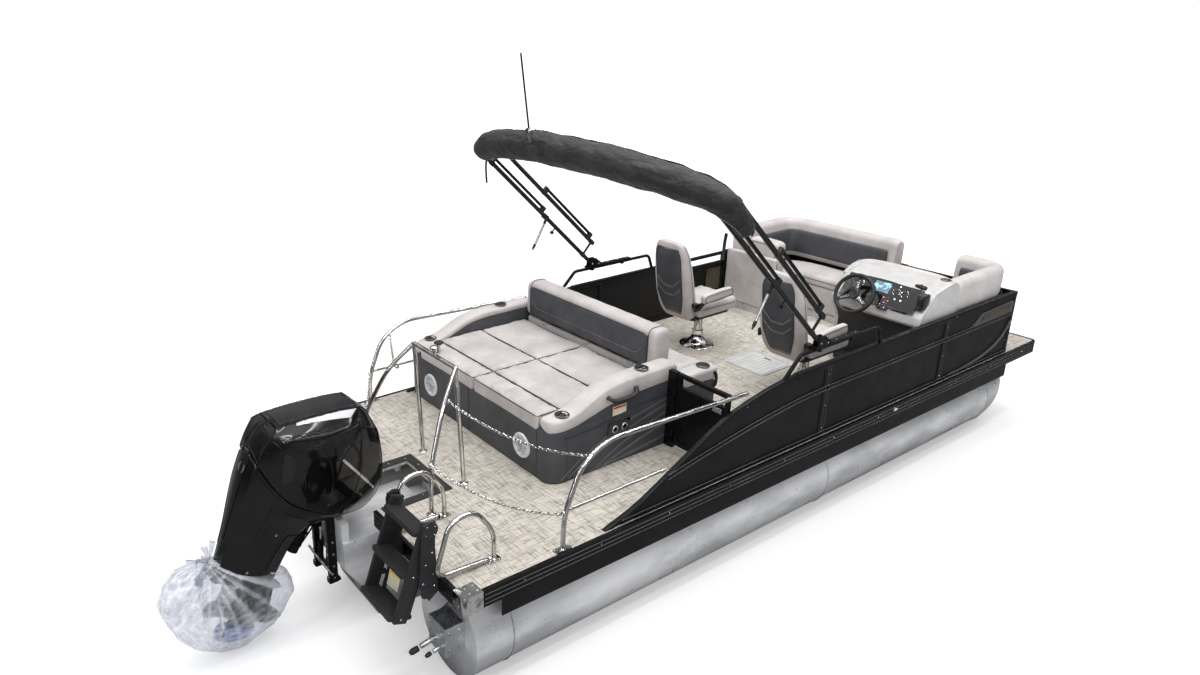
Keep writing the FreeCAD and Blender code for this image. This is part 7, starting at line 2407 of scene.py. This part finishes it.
def bag_shape(rows=120, columns=220):
    rings, folds = [], []
    for i in range(rows + 1):
        t = i / rows
        z = BAG_STATIONS[0][0] + (BAG_STATIONS[-1][0] - BAG_STATIONS[0][0]) * t
        front, rear, half = bag_at(z)
        middle, reach = (front + rear) / 2, (front - rear) / 2
        ring = []
        for j in range(columns):
            a = 2 * math.pi * j / columns
            c, s = math.cos(a), math.sin(a)
            swell = (abs(c) ** 2.3 + abs(s) ** 2.3) ** (-1 / 2.3)
            p = Vector((middle + reach * swell * c, half * swell * s, z))
            away = p - BAG_KNOT
            heading = math.atan2(-away.z, away.x + 0.05)
            near = math.exp(-away.length * 2.4)
            side = 1 if s > 0 else -1
            drift = 1.4 * noise.noise(Vector((heading * 1.6, side * 3, away.length * 1.2)))
            strong = 0.5 + 0.9 * noise.noise(Vector((heading * 5, side * 5, 0.3)))
            long_fold = pleat(heading, 13, drift * 2 + side, 9) * max(0.15, strong)
            short_fold = pleat(heading, 31, drift * 4 + 1, 4) * near
            aft = max(0.0, -c) ** 0.7
            crumple = noise.noise(Vector((c * 4 + 3, s * 4, z * 11)))
            sharp = max(0.0, 1 - abs(noise.noise(Vector((c * 3.2 + 7, s * 3.2, z * 8)))) * 7)
            small = max(0.0, 1 - abs(noise.noise(Vector((c * 8 + 2, s * 8 + z * 6, z * 17)))) * 6)
            rough = (0.12 + 0.88 * aft) * min(1.0, t * 6 + 0.2)
            d = 0.014 * long_fold + 0.016 * short_fold + rough * (0.010 * crumple + 0.008 * sharp + 0.005
                                                                  * small)
            folds.append(min(0.9,
                             0.55 * long_fold + 0.45 * short_fold + rough * (0.35 * sharp + 0.25 * small)
                             + 0.18 * aft))
            q = p + Vector((c, s, 0)).normalized() * (d - 0.022)
            q.z += 0.005 * noise.noise(Vector((a * 3, t * 8, 2)))
            ring.append(q)
        rings.append(ring)
    bottom = rings[-1]
    centre = sum(bottom, Vector()) / len(bottom)
    for shrink, drop in ((0.75, 0.005), (0.45, 0.008), (0.15, 0.009)):
        rings.append([centre + (p - centre) * shrink - Vector((0, 0, drop)) for p in bottom])
    points, faces = loft(rings, caps=False)
    faces.append([(len(rings) - 1) * columns + j for j in range(columns)])
    folds += [0.1] * (len(points) - len(folds))
    return (points, faces), folds


shape, folds = bag_shape()
bag = put("bag_skin", moved(shape, ENGINE), FILM, "engine", sharp=180)
bag.data.attributes.new("fold", "FLOAT", "POINT").data.foreach_set("value", folds)
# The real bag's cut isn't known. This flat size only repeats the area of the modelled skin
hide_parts("propeller_bag")


def tuft(base, heading, length, width, seed):
    """A crumpled strip of the bag's mouth."""
    heading = Vector(heading).normalized()
    side = heading.cross(Vector((0.3, 0.8, 0.2))).normalized()
    out = heading.cross(side)
    front = []
    for i in range(11):
        for j in range(9):
            t, v = i / 10, -1 + j / 4
            spread = width * (0.18 + 0.82 * t ** 0.8)
            wave = 0.35 * width * math.sin(v * 6 + seed) * t
            jag = 0.10 * length * noise.noise(Vector((v * 4, seed, 0))) * t
            front.append(Vector(base) + heading * (length * t + jag) + side * (v * spread)
                         + out * (wave + 0.12 * width * math.sin(t * 7 + v * 3 + seed)))
    size = len(front)
    points = front + [p + out * 0.0012 for p in front]
    faces = []
    for i in range(10):
        for j in range(8):
            k = i * 9 + j
            faces.append([k, k + 1, k + 10, k + 9])
            faces.append([size + k, size + k + 9, size + k + 10, size + k + 1])
    edge = list(range(9)) + [i * 9 + 8 for i in range(1, 11)] + [90 + j for j in range(7, -1, -1)]
    edge += [i * 9 for i in range(9, 0, -1)]
    for a, b in zip(edge, edge[1:] + edge[:1]):
        faces.append([b, a, size + a, size + b])
    return points, faces


tufts = [tuft(BAG_KNOT, (-0.45, -0.16, 1.0), 0.155, 0.018, 1.0),
         tuft(BAG_KNOT, (-0.75, 0.10, 0.75), 0.110, 0.022, 2.6),
         tuft(BAG_KNOT, (-0.95, -0.30, 0.10), 0.110, 0.036, 4.1),
         tuft(BAG_KNOT, (-0.55, -0.75, -0.75), 0.170, 0.040, 5.5),
         tuft(BAG_KNOT, (-0.60, 0.75, -0.65), 0.150, 0.036, 0.4)]
put("bag_mouth", moved(merged(*tufts), ENGINE), FILM, "engine", sharp=180)
neck_line = []
for i in range(48):
    a = 2 * math.pi * i / 48
    front, rear, half = bag_at(-0.492)
    swell = (abs(math.cos(a)) ** 2.4 + abs(math.sin(a)) ** 2.4) ** (-1 / 2.4)
    neck_line.append(Vector(((front + rear) / 2 + ((front - rear) / 2 - 0.014) * swell * math.cos(a),
                             (half - 0.012) * swell * math.sin(a), -0.493 + 0.004 * math.sin(3 * a))))
put("bag_tie", moved(merged(sweep(neck_line, circle(0.0032, 8), closed=True), ball(BAG_KNOT, 0.011)), ENGINE),
    STICKER, "engine", sharp=60)

puff_cushions()

# Light, floor and camera

scene = bpy.context.scene


def studio_floor():
    """Pale floor that fades to white away from the boat and shows darker in reflections."""
    paint = Paint("studio_floor", (0.80, 0.80, 0.805), rough=0.9, specular=0.05)
    paint.tint(paint.spread(paint.noise(0.8, 2), 0.3, 0.7, 0, 1), (0.80, 0.80, 0.805), (0.78, 0.78, 0.785))
    coord = paint.node("TexCoord")
    reach = paint.node("VectorMath", operation="DISTANCE")
    reach.inputs[1].default_value = (3.0, 0.0, 0.0)
    paint.link(coord.outputs["Object"], reach.inputs[0])
    paint.link(paint.spread(reach.outputs["Value"], 4.0, 16.0, 0.30, 1.0),
               paint.shader.inputs["Emission Strength"])
    paint.set("Emission Color", (1, 1, 1, 1))
    hall = paint.node("BsdfDiffuse", Color=(0.24, 0.24, 0.245, 1))
    rays = paint.node("LightPath")
    choose = paint.node("MixShader")
    paint.link(rays.outputs["Is Glossy Ray"], choose.inputs[0])
    paint.link(paint.shader.outputs[0], choose.inputs[1])
    paint.link(hall.outputs[0], choose.inputs[2])
    out = [n for n in paint.tree.nodes if n.type == "OUTPUT_MATERIAL"][0]
    paint.link(choose.outputs[0], out.inputs["Surface"])
    return paint.material


ground = bpy.data.meshes.new("ground")
ground.from_pydata([(-160, -160, 0), (160, -160, 0), (160, 160, 0), (-160, 160, 0)], [], [(0, 1, 2, 3)])
ground.materials.append(studio_floor())
floor = bpy.data.objects.new("ground", ground)
scene.collection.objects.link(floor)


def studio_world():
    """A pale room: white behind the boat, bright overhead, dimmer and uneven towards the walls."""
    world = bpy.data.worlds.new("studio")
    world.use_nodes = True
    tree = world.node_tree
    room = tree.nodes["Background"]
    coord = tree.nodes.new("ShaderNodeTexCoord")
    split = tree.nodes.new("ShaderNodeSeparateXYZ")
    rise = tree.nodes.new("ShaderNodeMapRange")
    patches = tree.nodes.new("ShaderNodeTexNoise")
    spread = tree.nodes.new("ShaderNodeMapRange")
    total = tree.nodes.new("ShaderNodeMath")
    back = tree.nodes.new("ShaderNodeBackground")
    path = tree.nodes.new("ShaderNodeLightPath")
    choose = tree.nodes.new("ShaderNodeMixShader")
    for index, value in enumerate((0.02, 0.85, ROOM_LOW, ROOM_HIGH), start=1):
        rise.inputs[index].default_value = value
    for index, value in enumerate((0.38, 0.62, 0.45, 1.35), start=1):
        spread.inputs[index].default_value = value
    patches.inputs["Scale"].default_value = 2.6
    patches.inputs["Detail"].default_value = 1.5
    total.operation = "MULTIPLY"
    tree.links.new(coord.outputs["Generated"], split.inputs[0])
    tree.links.new(coord.outputs["Generated"], patches.inputs["Vector"])
    tree.links.new(split.outputs[2], rise.inputs[0])
    tree.links.new(patches.outputs["Fac"], spread.inputs[0])
    tree.links.new(rise.outputs[0], total.inputs[0])
    tree.links.new(spread.outputs[0], total.inputs[1])
    tree.links.new(total.outputs[0], room.inputs["Strength"])
    tree.links.new(path.outputs["Is Camera Ray"], choose.inputs[0])
    tree.links.new(room.outputs[0], choose.inputs[1])
    tree.links.new(back.outputs[0], choose.inputs[2])
    tree.links.new(choose.outputs[0], tree.nodes["World Output"].inputs["Surface"])
    room.inputs["Color"].default_value = (0.985, 0.99, 1, 1)
    back.inputs["Color"].default_value = (1, 1, 1, 1)
    back.inputs["Strength"].default_value = 1.05
    return world


ROOM_LOW, ROOM_HIGH = 0.13, 0.80
scene.world = studio_world()


def softbox(name, place, aim, size, power, color=(1, 1, 1)):
    light = bpy.data.lights.new(name, "AREA")
    light.shape = "RECTANGLE"
    light.size, light.size_y = size
    light.energy = power
    light.color = color
    lamp = bpy.data.objects.new(name, light)
    scene.collection.objects.link(lamp)
    lamp.location = place
    lamp.rotation_mode = "QUATERNION"
    lamp.rotation_quaternion = (Vector(aim) - Vector(place)).to_track_quat("-Z", "Y")


softbox("overhead", (3.2, -0.5, 10.0), (3.2, 0.2, 0), (12, 7), 260)
for across in (-4.4, -2.4, -0.4, 1.6, 3.6):
    softbox("tube_light", (2.8, across, 7.5), (2.8, across * 0.6, 0), (10, 0.16), 105)
for along_hull in (-3.5, 9.0):
    softbox("cross_light", (along_hull, -0.5, 6.6), (along_hull * 0.6 + 1, -0.2, 0), (0.16, 9), 75)
softbox("side_key", (-1.5, -9.0, 6.5), (3.0, -0.5, 0.8), (6, 0.6), 150)
softbox("stern_strip", (-7.0, -1.5, 4.2), (0.5, 0, 0.9), (0.25, 5), 60)

camera_data = bpy.data.cameras.new("camera")
camera_data.sensor_width = 36
camera_data.lens = 845.886 * 36 / 1200
camera_data.shift_x = (600 - 478.02) / 1200
camera_data.shift_y = (297.77 - 337.5) / 1200
camera_data.clip_end = 600
camera = bpy.data.objects.new("camera", camera_data)
scene.collection.objects.link(camera)
yaw, pitch, roll = math.radians(55.796), math.radians(18.979), math.radians(-0.409)
forward = Vector((math.cos(yaw) * math.cos(pitch), math.sin(yaw) * math.cos(pitch), -math.sin(pitch)))
right = forward.cross(Vector((0, 0, 1))).normalized()
upward = right.cross(forward)
turned_right = right * math.cos(roll) + upward * math.sin(roll)
turned_up = turned_right.cross(forward)
camera.matrix_world = Matrix.Translation((-2.141, -4.571, 3.122 + DECK)) @ Matrix(
    (turned_right, turned_up, -forward)).transposed().to_4x4()
scene.camera = camera
scene.view_settings.view_transform = "Standard"
